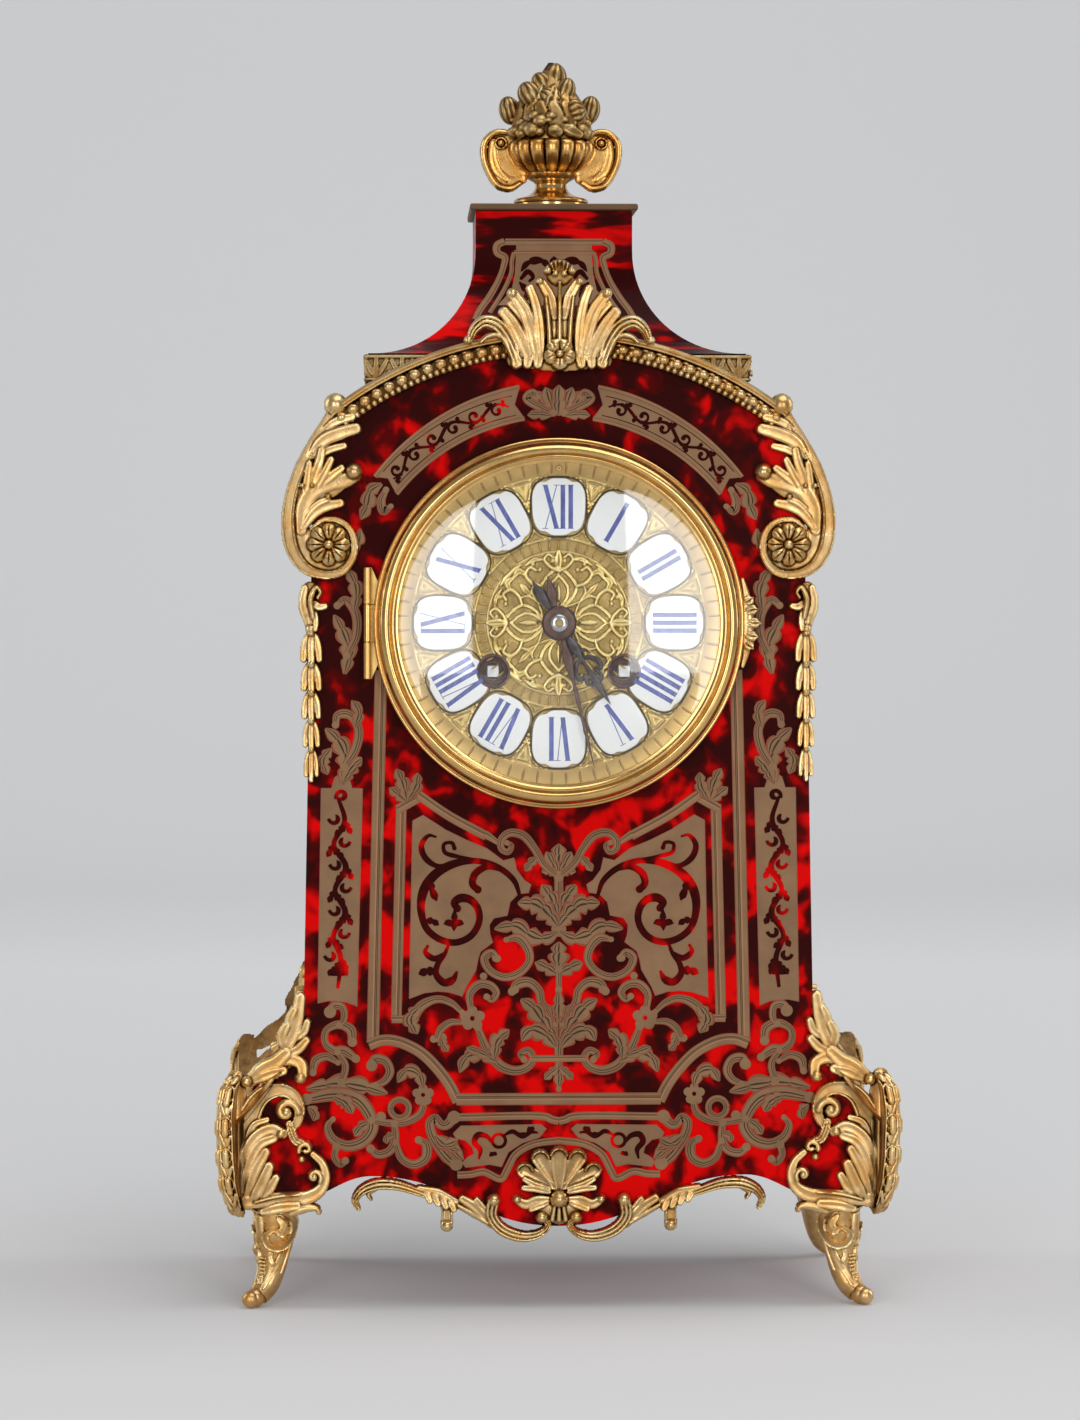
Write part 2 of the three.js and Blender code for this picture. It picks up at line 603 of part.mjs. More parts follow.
node(dialGroup, 'dial_ring', union(ringBody, ...fixedKnuckles, hingePin), materials.gilt);

// Bezel ring with its hinge knuckle and thumb catch, and the glass
const glassSeat = bezelFront + 1.9;
const lipRadius = glassRadius - 2.4;
const bezelLathe = turned([[bezelRadius, bezelBack], [bezelRadius, bezelBack - 2.6],
  [bezelRadius - 1.5, bezelFront + 1.4], [bezelRadius - 4, bezelFront], [lipRadius + 1.8, bezelFront + 0.6],
  [lipRadius, bezelFront + 1.3], [lipRadius, glassSeat], [glassRadius + fitGap, glassSeat],
  [glassRadius + fitGap, bezelBack]], largeRound);
const midKnuckle = pipe(-knuckle / 2, knuckle / 2);
const knuckleWeb = block(hingeX, -bezelRadius + 2, yAt(bezelBack - 2.4), yAt(bezelBack), -knuckle / 2, knuckle / 2);
const catchPoints = [[-1.5, 15.5], [2, 14], [5.4, 8.5], [6.8, 0], [5.4, -8.5], [2, -14], [-1.5, -15.5]];
const catchOutline = catchPoints.map(([x, z]) => [bezelRadius + x, z]);
const catchPiece = plate(catchOutline, [], bezelBack - 3, bezelBack);
const fixedRelief = [[-hingeLength, -knuckle / 2], [knuckle / 2, hingeLength]]
  .map(([low, high]) => upright(hingeX, hingeY, hingeRadius + bearingGap, low, high, 16));
const bezelRing = cut(union(bezelLathe, midKnuckle, knuckleWeb, catchPiece), pinBore, ...fixedRelief);
node(dialGroup, 'bezel_ring', bezelRing, materials.gilt);

const domeRadius = glassRadius - 3.1;
const glassFront = glassSeat + fitGap;
const glassBack = glassFront + glassThickness;
function dome(rimRadius, rimDepth, rise, steps) {
  return Array.from({ length: steps + 1 }, (_, i) => {
    const r = rimRadius * (1 - i / steps);
    return [r, rimDepth - rise * (1 - (r / rimRadius) ** 2)];
  });
}
const outerDome = dome(domeRadius, glassFront, glassRise, 5);
const innerDome = dome(domeRadius - 0.4, glassBack, glassRise, 5);
const glassProfile = [...innerDome.reverse(), [glassRadius, glassBack], [glassRadius, glassFront], ...outerDome];
node(dialGroup, 'bezel_glass', turnedOpen(glassProfile), materials.glass);

// Dial plate with its feet, and the twelve enamel plaques
const plateFront = plateSetback;
const plateBack = plateFront + plateThickness;
const footAngles = [80, 200, 320];
const footRadius = 46;
const dialFeetAt = footAngles.map((a) => [footRadius * Math.cos(radians(a)), footRadius * Math.sin(radians(a))]);
const windingAt = [[windingX, windingZ], [-windingX, windingZ]];
const dialDisc = plate(circle(0, 0, dialPlateRadius, largeRound), [circle(0, 0, 4.4, 16),
  ...windingAt.map(([x, z]) => circle(x, z, windingHole, 16))], dialFront, dialBack);
const dialFeet = dialFeetAt.map(([x, z]) => rod(x, z, 1.2, dialBack - 0.3, plateBack + 2, 8));
node(dialGroup, 'dial_plate', cut(union(dialDisc, ...dialFeet), regulatorBore), materials.gilt);

const plaqueBack = dialFront - fitGap;
const plaqueFront = plaqueBack - numeralThickness;
const plaquePower = 3;
function plaqueOutline(steps) {
  return Array.from({ length: steps }, (_, i) => {
    const angle = ((i + 0.5) * 2 * Math.PI) / steps;
    const [c, d] = [Math.cos(angle), Math.sin(angle)];
    const reach = (Math.abs(c) ** plaquePower + Math.abs(d) ** plaquePower) ** (-1 / plaquePower);
    return [c * reach * (numeralWidth / 2), numeralRadius + d * reach * (numeralHeight / 2)];
  });
}
const keyHoles = windingAt.map(([x, z]) => rod(x, z, windingHole, plaqueFront - 1, plaqueBack + 1, 16));
for (let hour = 1; hour <= 12; hour += 1) {
  const turn = radians(hour * 30);
  const outline = plaqueOutline(16).map(([x, z]) => [x * Math.cos(turn) + z * Math.sin(turn),
    z * Math.cos(turn) - x * Math.sin(turn)]);
  const plaque = cut(plate(outline, [], plaqueFront, plaqueBack), ...keyHoles);
  node(dialGroup, `numeral_${String(hour).padStart(2, '0')}`, plaque, materials.enamel);
}

// Hands, drawn pointing to twelve and turned to the time
const hourPipe = 3.4;
const cannonPipe = 2.2;
const arborRadius = 1.5;
const handArbor = 1.2;
const hourBack = plaqueFront - 1.2;
const hourFront = hourBack - handThickness;
const minuteBack = hourFront - 0.7;
const minuteFront = minuteBack - handThickness;
const hourHalf = [[4.2, -3.5], [2, -6], [1.4, -9], [2.6, -12], [1.2, -15], [0.3, -17.5]].reverse();
const hourRest = [[5.4, 0], [4.2, 3.5], [1.9, 7.5], [1.6, 11], [3.6, 14], [5.6, 18], [5.2, 21.5], [2.4, 24.5],
  [1.8, 27], [1, 31]];
const minuteHalf = [[4, -3.5], [1.8, -6], [1.3, -9], [2.4, -12], [1.1, -15], [0.3, -17]].reverse();
const minuteRest = [[5.2, 0], [4, 3.5], [1.6, 8], [1.5, 14], [3, 18], [3.6, 23], [2, 28], [1.6, 34], [2.2, 38],
  [1.3, 43], [0.8, 48]];
function handOutline(tail, blade, reach) {
  const stretch = reach / (blade[blade.length - 1][1] + 3);
  const right = [...tail, ...blade.map(([x, z]) => [x, z > 3.5 ? z * stretch : z])];
  return [...right, [0, reach], ...right.map(([x, z]) => [-x, z]).reverse()];
}
const hourHand = plate(handOutline(hourHalf, hourRest, hourLength), [circle(0, 0, hourPipe + bearingGap, 16)],
  hourFront, hourBack);
node(dialGroup, 'hour_hand', hourHand, materials.steel).rotation.y = radians(hourAngle);
const minuteHand = plate(handOutline(minuteHalf, minuteRest, minuteLength),
  [circle(0, 0, handArbor + bearingGap, 16)], minuteFront, minuteBack);
node(dialGroup, 'minute_hand', minuteHand, materials.steel).rotation.y = radians(minuteAngle);
const colletBack = minuteFront - fitGap;
const collet = turned([[handArbor + bearingGap, colletBack], [5.6, colletBack], [5.6, colletBack - 0.8],
  [3.4, colletBack - 1.2], [3, colletBack - 2], [handArbor + bearingGap, colletBack - 2]], 20);
node(dialGroup, 'hand_collet', collet, materials.steel);

// Wheels: pointed teeth on wheels, thin leaves on pinions, in phase on the line between their centres
function wheelOutline([cx, cz], teeth, size, toothAngle) {
  const radius = (teeth * size) / 2;
  const outline = [];
  for (let i = 0; i < teeth; i += 1) {
    const tip = toothAngle + (i * 2 * Math.PI) / teeth;
    const root = tip + Math.PI / teeth;
    outline.push([cx + (radius + 0.7 * size) * Math.cos(tip), cz + (radius + 0.7 * size) * Math.sin(tip)]);
    outline.push([cx + (radius - 1.1 * size) * Math.cos(root), cz + (radius - 1.1 * size) * Math.sin(root)]);
  }
  return outline;
}

function pinionOutline([cx, cz], leaves, size, gapAngle) {
  const radius = (leaves * size) / 2;
  const outline = [];
  for (let i = 0; i < leaves; i += 1) {
    const middle = gapAngle + ((i + 0.5) * 2 * Math.PI) / leaves;
    const tip = radius + 0.45 * size;
    const root = radius - 1.15 * size;
    for (const [r, half] of [[root, -0.26], [tip, -0.14], [tip, 0.14], [root, 0.26]]) {
      const angle = middle + (half * size) / r;
      outline.push([cx + r * Math.cos(angle), cz + r * Math.sin(angle)]);
    }
  }
  return outline;
}

const heading = ([ax, az], [bx, bz]) => Math.atan2(bz - az, bx - ax);
function meet([ax, az], reachA, [bx, bz], reachB, side) {
  const span = Math.hypot(bx - ax, bz - az);
  const angle = Math.acos((reachA ** 2 + span ** 2 - reachB ** 2) / (2 * reachA * span));
  const turn = Math.atan2(bz - az, bx - ax) + side * angle;
  return [ax + reachA * Math.cos(turn), az + reachA * Math.sin(turn)];
}

const centreAt = [0, 0];
const goingAt = [windingX, windingZ];
const strikeAt = [-windingX, windingZ];
const barrelTeeth = 56;
const barrelSize = 0.7;
const secondLeaves = 7;
const secondTeeth = 54;
const secondSize = 0.66;
const centreLeaves = 6;
const centreTeeth = 72;
const centreSize = 0.48;
const thirdLeaves = 6;
const thirdTeeth = 78;
const thirdSize = 0.426;
const escapeLeaves = 6;
const escapeTeeth = 30;
const escapeRadius = 9;
const escapeAt = [0, 31];
const palletAt = [0, 42];
const barrelReach = ((barrelTeeth + secondLeaves) * barrelSize) / 2;
const secondReach = ((secondTeeth + centreLeaves) * secondSize) / 2;
const centreReach = ((centreTeeth + thirdLeaves) * centreSize) / 2;
const thirdReach = ((thirdTeeth + escapeLeaves) * thirdSize) / 2;
const secondAt = meet(centreAt, secondReach, goingAt, barrelReach, 1);
const thirdAt = meet(centreAt, centreReach, escapeAt, thirdReach, 1);

// Depths of the wheels between the plates
const innerFront = plateBack;
const innerBack = innerFront + plateSpacing;
const backFront = innerBack;
const backBack = backFront + plateThickness;
const pivot = 1;
const pivotHole = pivot + bearingGap;
const pivotEnds = [plateFront + 0.2, backBack - 0.2];
const shoulder = 0.4;

function arbor([x, z], radius) {
  const shaft = rod(x, z, radius, innerFront + shoulder, innerBack - shoulder, smallRound);
  return union(shaft, rod(x, z, pivot, pivotEnds[0], pivotEnds[1], smallRound));
}

// Going and strike barrels with their winding arbors
const drumRadius = 17.6;
const drumNear = innerFront + 4;
const drumFar = drumNear + 19;
const greatFar = drumFar + 2;
const barrelBore = 3.6;
function barrel(at, toothAngle) {
  const drum = rod(at[0], at[1], drumRadius, drumNear, drumFar + 0.2, 24);
  const great = plate(wheelOutline(at, barrelTeeth, barrelSize, toothAngle), [], drumFar, greatFar);
  return cut(union(drum, great), rod(at[0], at[1], barrelBore, drumNear - 1, greatFar + 1, 14));
}
node(dialGroup, 'going_barrel', barrel(goingAt, heading(goingAt, secondAt)), materials.brass);
node(dialGroup, 'strike_barrel', barrel(strikeAt, 0), materials.brass);

const squareEnd = 0.6;
function windingArbor([x, z]) {
  const half = windingSquare / 2;
  const shaft = rod(x, z, barrelBore - bearingGap - 0.1, innerFront + shoulder, innerBack - shoulder, 16);
  const backPivot = rod(x, z, 2, innerBack - 1, backBack - 0.2, 12);
  const frontPivot = rod(x, z, 3, plateFront - 3.4, innerFront + 1, 12);
  const square = plate([[x - half, z - half], [x + half, z - half], [x + half, z + half], [x - half, z + half]], [],
    squareEnd, plateFront - 3);
  const ratchet = plate(wheelOutline([x, z], 24, 0.62, 0), [], plateFront - 2.6, plateFront - 1);
  return union(shaft, backPivot, frontPivot, square, ratchet);
}
node(dialGroup, 'going_arbor', windingArbor(goingAt), materials.steel);
node(dialGroup, 'strike_arbor', windingArbor(strikeAt), materials.steel);

// Train wheels
const secondNear = greatFar + 4;
const secondPinion = plate(pinionOutline(secondAt, secondLeaves, barrelSize, heading(secondAt, goingAt)), [],
  drumFar - 0.8, greatFar + 0.8);
const secondRim = plate(wheelOutline(secondAt, secondTeeth, secondSize, heading(secondAt, centreAt)), [], secondNear,
  secondNear + 1.4);
node(dialGroup, 'second_wheel', union(arbor(secondAt, 1.5), secondPinion, secondRim), materials.brass);

const cannonSize = 0.675;
const cannonLeaves = 8;
const minuteTeeth = 24;
const minuteLeaves = 6;
const hourTeeth = 24;
const motionReach = ((cannonLeaves + minuteTeeth) * cannonSize) / 2;
const hourSize = (2 * motionReach) / (minuteLeaves + hourTeeth);
const minuteAt = [0, motionReach];
const cannonNear = plateFront - 2.4;
const hourNear = cannonNear - 2.3;
const wheelThickness = 1.3;

const centreNear = innerFront + 1.6;
const centreRim = plate(wheelOutline(centreAt, centreTeeth, centreSize, heading(centreAt, thirdAt)), [], centreNear,
  centreNear + wheelThickness);
const centrePinion = plate(pinionOutline(centreAt, centreLeaves, secondSize, heading(centreAt, secondAt)), [],
  secondNear - 0.6, secondNear + 2);
const cannon = plate(pinionOutline(centreAt, cannonLeaves, cannonSize, heading(centreAt, minuteAt)), [], cannonNear,
  cannonNear + wheelThickness + 0.4);
const cannonTube = rod(0, 0, cannonPipe, hourFront - 0.45, cannonNear + 0.2, 14);
const cannonBore = rod(0, 0, handArbor + bearingGap, hourFront - 2, plateFront, 14);
node(dialGroup, 'cannon_pinion', cut(union(cannon, cannonTube), cannonBore), materials.steel);
const centreFront = rod(0, 0, handArbor, colletBack - 2.6, innerFront + 2, 12);
node(dialGroup, 'centre_arbor', union(arbor(centreAt, arborRadius), centreFront, centreRim, centrePinion),
  materials.brass);

const studRadius = 1.1;
const minuteBore = rod(minuteAt[0], minuteAt[1], studRadius + bearingGap, hourNear - 2, plateFront, 12);
const minuteRim = plate(wheelOutline(minuteAt, minuteTeeth, cannonSize, heading(minuteAt, centreAt)), [], cannonNear,
  cannonNear + wheelThickness);
const minutePinion = plate(pinionOutline(minuteAt, minuteLeaves, hourSize, heading(minuteAt, centreAt)), [], hourNear,
  cannonNear + 0.2);
node(dialGroup, 'minute_wheel', cut(union(minuteRim, minutePinion), minuteBore), materials.brass);

const hourRim = plate(wheelOutline(centreAt, hourTeeth, hourSize, heading(centreAt, minuteAt)), [], hourNear,
  hourNear + wheelThickness);
const hourTube = rod(0, 0, hourPipe, hourFront - 0.2, hourNear + 0.5, 16);
const hourBore = rod(0, 0, cannonPipe + bearingGap, hourFront - 2, plateFront, 16);
node(dialGroup, 'hour_wheel', cut(union(hourRim, hourTube), hourBore), materials.brass);

const thirdNear = innerFront + 12;
const thirdPinion = plate(pinionOutline(thirdAt, thirdLeaves, centreSize, heading(thirdAt, centreAt)), [],
  centreNear - 0.5, centreNear + wheelThickness + 0.5);
const thirdRim = plate(wheelOutline(thirdAt, thirdTeeth, thirdSize, heading(thirdAt, escapeAt)), [], thirdNear,
  thirdNear + 1.2);
node(dialGroup, 'third_wheel', union(arbor(thirdAt, 0.95), thirdPinion, thirdRim), materials.brass);

const escapeNear = innerBack - 7;
const escapePinion = plate(pinionOutline(escapeAt, escapeLeaves, thirdSize, heading(escapeAt, thirdAt)), [],
  thirdNear - 0.5, thirdNear + 1.7);
const escapeOutline = [];
for (let i = 0; i < escapeTeeth; i += 1) {
  const angle = (i * 2 * Math.PI) / escapeTeeth;
  escapeOutline.push([escapeAt[0] + escapeRadius * Math.cos(angle), escapeAt[1] + escapeRadius * Math.sin(angle)]);
  escapeOutline.push([escapeAt[0] + (escapeRadius - 1.8) * Math.cos(angle + 0.1),
    escapeAt[1] + (escapeRadius - 1.8) * Math.sin(angle + 0.1)]);
}
const escapeRim = plate(escapeOutline, [], escapeNear, escapeNear + 1.1);
node(dialGroup, 'escape_wheel', union(arbor(escapeAt, 0.85), escapePinion, escapeRim), materials.brass);

// Pallet anchor with its crutch behind the back plate
const crutchNear = backBack + 1.2;
const crutchFar = crutchNear + 1.2;
const rodMid = crutchFar + 4;
const rodRadius = 0.9;
const anchorHalf = [[0, 2.4], [2.6, 1.9], [7.6, -1.2], [11, -5], [12.5, -10.4], [10.7, -10.4], [9.2, -5.7],
  [6.1, -2.3], [2.4, -0.6]];
const anchorOutline = [...anchorHalf, ...anchorHalf.slice(1).map(([x, z]) => [-x, z]).reverse()]
  .map(([x, z]) => [x, z + palletAt[1]]);
const anchor = plate(anchorOutline, [], escapeNear - 0.2, escapeNear + 1.3);
const palletShaft = union(rod(0, palletAt[1], 1.3, innerFront + shoulder, innerBack - shoulder, 10),
  rod(0, palletAt[1], pivot, plateFront + 0.2, crutchFar, 10));
const crutchLength = 22;
const crutch = block(-1.2, 1.2, yAt(crutchNear), yAt(crutchFar), palletAt[1] - crutchLength, palletAt[1] + 2);
const forkGap = rodRadius + 0.35;
const forkBase = block(-forkGap - 1.2, forkGap + 1.2, yAt(crutchNear), yAt(crutchFar), palletAt[1] - crutchLength - 2,
  palletAt[1] - crutchLength + 1);
const prongs = [-1, 1].map((side) => block(Math.min(side * forkGap, side * (forkGap + 1.2)),
  Math.max(side * forkGap, side * (forkGap + 1.2)), yAt(crutchFar - 0.5), yAt(rodMid + 1.5),
  palletAt[1] - crutchLength - 2, palletAt[1] - crutchLength + 1));
node(dialGroup, 'pallet_anchor', union(anchor, palletShaft, crutch, forkBase, ...prongs), materials.steel);

// Pendulum, its suspension cock and the regulator arbor above the plates
const springTop = palletAt[1] + 3;
const spring = block(-1.6, 1.6, yAt(rodMid - 0.2), yAt(rodMid + 0.2), palletAt[1] - 6, springTop);
const springPin = block(-3, 3, yAt(rodMid - 0.8), yAt(rodMid + 0.8), springTop - 0.6, springTop + 1);
const bobZ = palletAt[1] - pendulumLength;
const pendulumRod = upright(0, yAt(rodMid), rodRadius, bobZ - bobRadius - 5, palletAt[1] - 5.4, 10);
const bob = rod(0, bobZ, bobRadius, rodMid - 3, rodMid + 3, 28);
const ratingNut = upright(0, yAt(rodMid), 2.6, bobZ - bobRadius - 4, bobZ - bobRadius - 1.8, 12);
node(dialGroup, 'pendulum', union(spring, springPin, pendulumRod, bob, ratingNut), materials.brass);

const cockNear = backBack + fitGap;
const cockFar = rodMid + 3.5;
const cockLow = springTop - 2.2;
const cockTop = regulatorZ + 2.6;
const cockBody = block(-6, 6, yAt(cockNear), yAt(cockFar), cockLow, cockTop);
const springSlot = block(-2.2, 2.2, yAt(rodMid - 0.7), yAt(rodMid + 0.7), cockLow - 1, springTop + 1.3);
const pinSlot = block(-3.6, 3.6, yAt(rodMid - 1.3), yAt(rodMid + 1.3), springTop - 1, springTop + 2.2);
const crutchRoom = block(-4, 4, yAt(cockNear - 1), yAt(crutchFar + 0.6), cockLow - 1, palletAt[1] + 3.4);
const cockBore = rod(0, regulatorZ, 1.3, cockNear - 1, cockFar - 1.5);
node(dialGroup, 'suspension_cock', cut(cockBody, springSlot, pinSlot, crutchRoom, cockBore), materials.brass);
const regulator = union(rod(0, regulatorZ, 0.95, 0.4, cockFar - 2, 10), rod(0, regulatorZ, 1.6, dialBack + 2,
  dialBack + 4, 10));
node(dialGroup, 'regulator_arbor', regulator, materials.steel);

// Plates with their pivot holes, the pillars and the bell post
const hammerAt = [-30, 32];
const bellAt = [-22, 2];
const bellNear = backBack + 18;
const bellFar = bellNear + 14;
const pillarAngles = [20, 160, 250, 290];
const pillarRadius = 2.5;
const trainPivots = [secondAt, centreAt, thirdAt, escapeAt, hammerAt];
const frontHoles = [...trainPivots.slice(0, 1), ...trainPivots.slice(2), palletAt]
  .map(([x, z]) => circle(x, z, pivotHole, 10));
const windingHoles = windingAt.map(([x, z]) => circle(x, z, 3 + bearingGap, 16));
const feetHoles = dialFeetAt.map(([x, z]) => circle(x, z, 1.2 + bearingGap, 10));
const centreHole = circle(0, 0, handArbor + bearingGap, 12);
const frontDisc = plate(circle(0, 0, plateRadius, largeRound),
  [...frontHoles, ...windingHoles, ...feetHoles, centreHole], plateFront, plateBack);
const minuteStud = rod(minuteAt[0], minuteAt[1], studRadius, hourNear + 0.2, plateFront + 0.5, 10);
node(dialGroup, 'front_plate', union(frontDisc, minuteStud), materials.brass);

const backHoles = [...trainPivots, palletAt].map(([x, z]) => circle(x, z, pivotHole, 10));
const barrelPivots = windingAt.map(([x, z]) => circle(x, z, 2 + bearingGap, 12));
const backDisc = plate(circle(0, 0, plateRadius, largeRound), [...backHoles, ...barrelPivots], backFront, backBack);
const pillars = pillarAngles.map((a) => rod((plateRadius - 4.5) * Math.cos(radians(a)),
  (plateRadius - 4.5) * Math.sin(radians(a)), pillarRadius, innerFront + fitGap, backFront + 0.5, 12));
const bellPost = rod(bellAt[0], bellAt[1], 2.2, backBack - 0.5, bellFar + 3, 12);
node(dialGroup, 'back_plate', union(backDisc, ...pillars, bellPost), materials.brass);

// Bell and hammer
const bellWall = 1.8;
const bellOuter = [[bellRadius, 0], [bellRadius - 1.4, 5], [bellRadius - 6, 10], [bellRadius - 15, 13.4], [2.6, 14]];
const bellInner = [[2.6, 14 - bellWall], [bellRadius - 15.5, 13.4 - bellWall], [bellRadius - 7.2, 9],
  [bellRadius - 3, 4.4], [bellRadius - 1.8, 0]];
const bellPoints = [...bellOuter, ...bellInner, bellOuter[0]]
  .map(([r, up]) => new THREE.Vector2(r, yAt(bellNear + up)));
const bellLathe = new THREE.LatheGeometry(bellPoints, 24);
bellLathe.translate(bellAt[0], 0, bellAt[1]);
node(dialGroup, 'bell', toSolid(bellLathe), materials.bell);

const strikeAngle = radians(215);
const headRadius = 4;
const headReach = bellRadius + headRadius + 0.4;
const headAt = [bellAt[0] + headReach * Math.cos(strikeAngle), bellAt[1] + headReach * Math.sin(strikeAngle)];
const armNear = backBack + 10;
const armFar = armNear + 2;
const armTurn = heading(hammerAt, headAt);
const armSide = [-Math.sin(armTurn) * 1.4, Math.cos(armTurn) * 1.4];
const armOutline = [[hammerAt[0] + armSide[0], hammerAt[1] + armSide[1]], [hammerAt[0] - armSide[0],
  hammerAt[1] - armSide[1]], [headAt[0] - armSide[0], headAt[1] - armSide[1]], [headAt[0] + armSide[0],
  headAt[1] + armSide[1]]];
const hammerShaft = union(rod(hammerAt[0], hammerAt[1], 1.4, innerFront + shoulder, innerBack - shoulder, 10),
  rod(hammerAt[0], hammerAt[1], pivot, plateFront + 0.2, armFar, 10),
  rod(hammerAt[0], hammerAt[1], 2.4, armNear - 1, armFar + 1, 12));
const hammerHead = rod(headAt[0], headAt[1], headRadius, armNear - 1, bellNear + 5, 14);
node(dialGroup, 'hammer', union(hammerShaft, plate(armOutline, [], armNear, armFar), hammerHead), materials.steel);

// Back ring and hinged back door
const backRingNear = caseDepth + fitGap;
const backRingFar = backRingNear + 2.2;
const doorNear = backRingFar + fitGap;
const doorRadius = 60;
const doorThickness = 1.8;
const doorHingeX = ringRadius + 2.4;
const doorHingeY = yAt(doorNear + 0.9);
const doorKnuckle = 9;
const doorPipe = 1.8;
const backRingLathe = turned([[ringRadius, backRingNear], [ringRadius, backRingFar], [53, backRingFar],
  [53, backRingNear]], largeRound);
const ringTab = block(ringRadius - 3, doorHingeX, yAt(backRingNear), yAt(backRingFar), -doorKnuckle * 1.5,
  doorKnuckle * 1.5);
const pipeSpans = [[-doorKnuckle * 1.5, -doorKnuckle / 2 - fitGap], [doorKnuckle / 2 + fitGap, doorKnuckle * 1.5]];
const ringPipes = pipeSpans.map(([low, high]) => upright(doorHingeX, doorHingeY, doorPipe, low, high, 12));
const doorPin = upright(doorHingeX, doorHingeY, pinRadius, -doorKnuckle * 1.5 + 0.5, doorKnuckle * 1.5 - 0.5, 10);
const doorRelief = upright(doorHingeX, doorHingeY, doorPipe + bearingGap, -doorKnuckle / 2 - fitGap,
  doorKnuckle / 2 + fitGap, 12);
const backRing = union(cut(union(backRingLathe, ringTab), doorRelief), ...ringPipes, doorPin);
node(dialGroup, 'back_ring', backRing, materials.brass);

const doorProfile = [[0, doorNear], [doorRadius, doorNear], [doorRadius, doorNear + doorThickness],
  [doorRadius - 3, doorNear + doorThickness + 1], [doorRadius - 8, doorNear + doorThickness], [14, doorNear + 2.6],
  [10, doorNear + 3.6], [0, doorNear + 4]];
const doorPipePiece = upright(doorHingeX, doorHingeY, doorPipe, -doorKnuckle / 2, doorKnuckle / 2, 12);
const doorWeb = block(doorRadius - 2, doorHingeX, yAt(doorNear), yAt(doorNear + doorThickness), -doorKnuckle / 2,
  doorKnuckle / 2);
const doorBore = upright(doorHingeX, doorHingeY, pinRadius + bearingGap, -doorKnuckle, doorKnuckle, 12);
const doorKnob = rod(-doorRadius + 7, 0, 3, doorNear + 1, doorNear + 6.5, 14);
const doorPiece = union(turnedOpen(doorProfile), doorPipePiece, doorWeb, doorKnob);
node(dialGroup, 'back_door', cut(doorPiece, doorBore), materials.brass);

// The whole stands with the middle of its depth at Y zero.
const ridgeReach = footReach + 4.2 + 4.6;
const glassReach = -(glassFront - glassRise);
caseGroup.position.y = (Math.max(glassReach, ridgeReach) - ridgeReach) / 2;
const clock = new THREE.Group();
clock.name = 'boulle_table_clock';
clock.add(caseGroup);

export default clock;
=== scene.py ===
"""Looks of a boulle table clock: shell-veneered case, brass marquetry, gilt mounts, glazed dial and studio.

Lengths are millimetres until a mesh is made. Depth runs back from the front face of the case.
"""

import math

import bmesh
import bpy
import numpy as np
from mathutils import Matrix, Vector


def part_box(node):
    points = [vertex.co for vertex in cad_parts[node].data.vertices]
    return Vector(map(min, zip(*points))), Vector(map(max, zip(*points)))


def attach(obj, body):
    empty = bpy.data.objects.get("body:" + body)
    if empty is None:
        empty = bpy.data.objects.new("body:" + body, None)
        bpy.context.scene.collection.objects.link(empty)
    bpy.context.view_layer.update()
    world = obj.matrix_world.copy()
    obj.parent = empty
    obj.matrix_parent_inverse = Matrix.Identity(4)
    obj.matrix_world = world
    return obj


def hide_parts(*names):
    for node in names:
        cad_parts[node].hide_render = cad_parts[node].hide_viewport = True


bl_info = {
    "name": "Boulle table clock",
    "version": (1, 0, 0),
    "blender": (4, 5, 0),
    "location": "View3D > Sidebar > Clock",
    "description": "Builds the looks of a boulle table clock around its CAD frame",
    "category": "Object",
}

MM = 0.001
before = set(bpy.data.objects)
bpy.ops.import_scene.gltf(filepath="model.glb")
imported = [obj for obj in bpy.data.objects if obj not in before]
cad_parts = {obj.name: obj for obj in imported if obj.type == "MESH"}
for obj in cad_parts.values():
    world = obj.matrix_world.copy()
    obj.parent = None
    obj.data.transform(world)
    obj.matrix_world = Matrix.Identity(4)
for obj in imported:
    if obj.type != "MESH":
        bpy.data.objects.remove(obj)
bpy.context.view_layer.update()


def mm_box(node):
    """Lowest and highest corner of a CAD node in millimetres."""
    low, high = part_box(node)
    return np.array(low) / MM, np.array(high) / MM


# Places taken from the CAD frame
FACE_Y = mm_box("front_panel")[0][1]
DIAL_Z = float(np.mean([mm_box("bezel_glass")[0][2], mm_box("bezel_glass")[1][2]]))
BACK_Y = mm_box("back_panel")[1][1]


def at_depth(depth):
    """World Y of a depth behind the front face."""
    return FACE_Y + depth


# Properties


class ClockSizes(bpy.types.PropertyGroup):
    """Sizes that the looks are drawn with, in millimetres unless they are counts."""

    relief_step: bpy.props.FloatProperty(
        name="Relief step", description="Grid pitch of chased mounts", default=0.3, min=0.15, max=1.0)
    foot_step: bpy.props.FloatProperty(
        name="Foot relief step", description="Grid pitch of the front feet", default=0.33, min=0.15,
        max=1.0)
    rear_step: bpy.props.FloatProperty(
        name="Rear relief step", description="Grid pitch of mounts at the back", default=0.55, min=0.2,
        max=2.0)
    bead_count: bpy.props.IntProperty(
        name="Arch beads", description="Berries along the arch moulding", default=34, min=5, max=80)
    outer_ribs: bpy.props.IntProperty(
        name="Outer ribs", description="Ribs on the sloping ring round the dial", default=68, min=12,
        max=200)
    inner_ribs: bpy.props.IntProperty(
        name="Inner ribs", description="Ribs on the ring round the dial centre", default=52, min=12,
        max=200)
    bowl_lobes: bpy.props.IntProperty(
        name="Bowl lobes", description="Gadroons round the finial bowl", default=16, min=6, max=40)


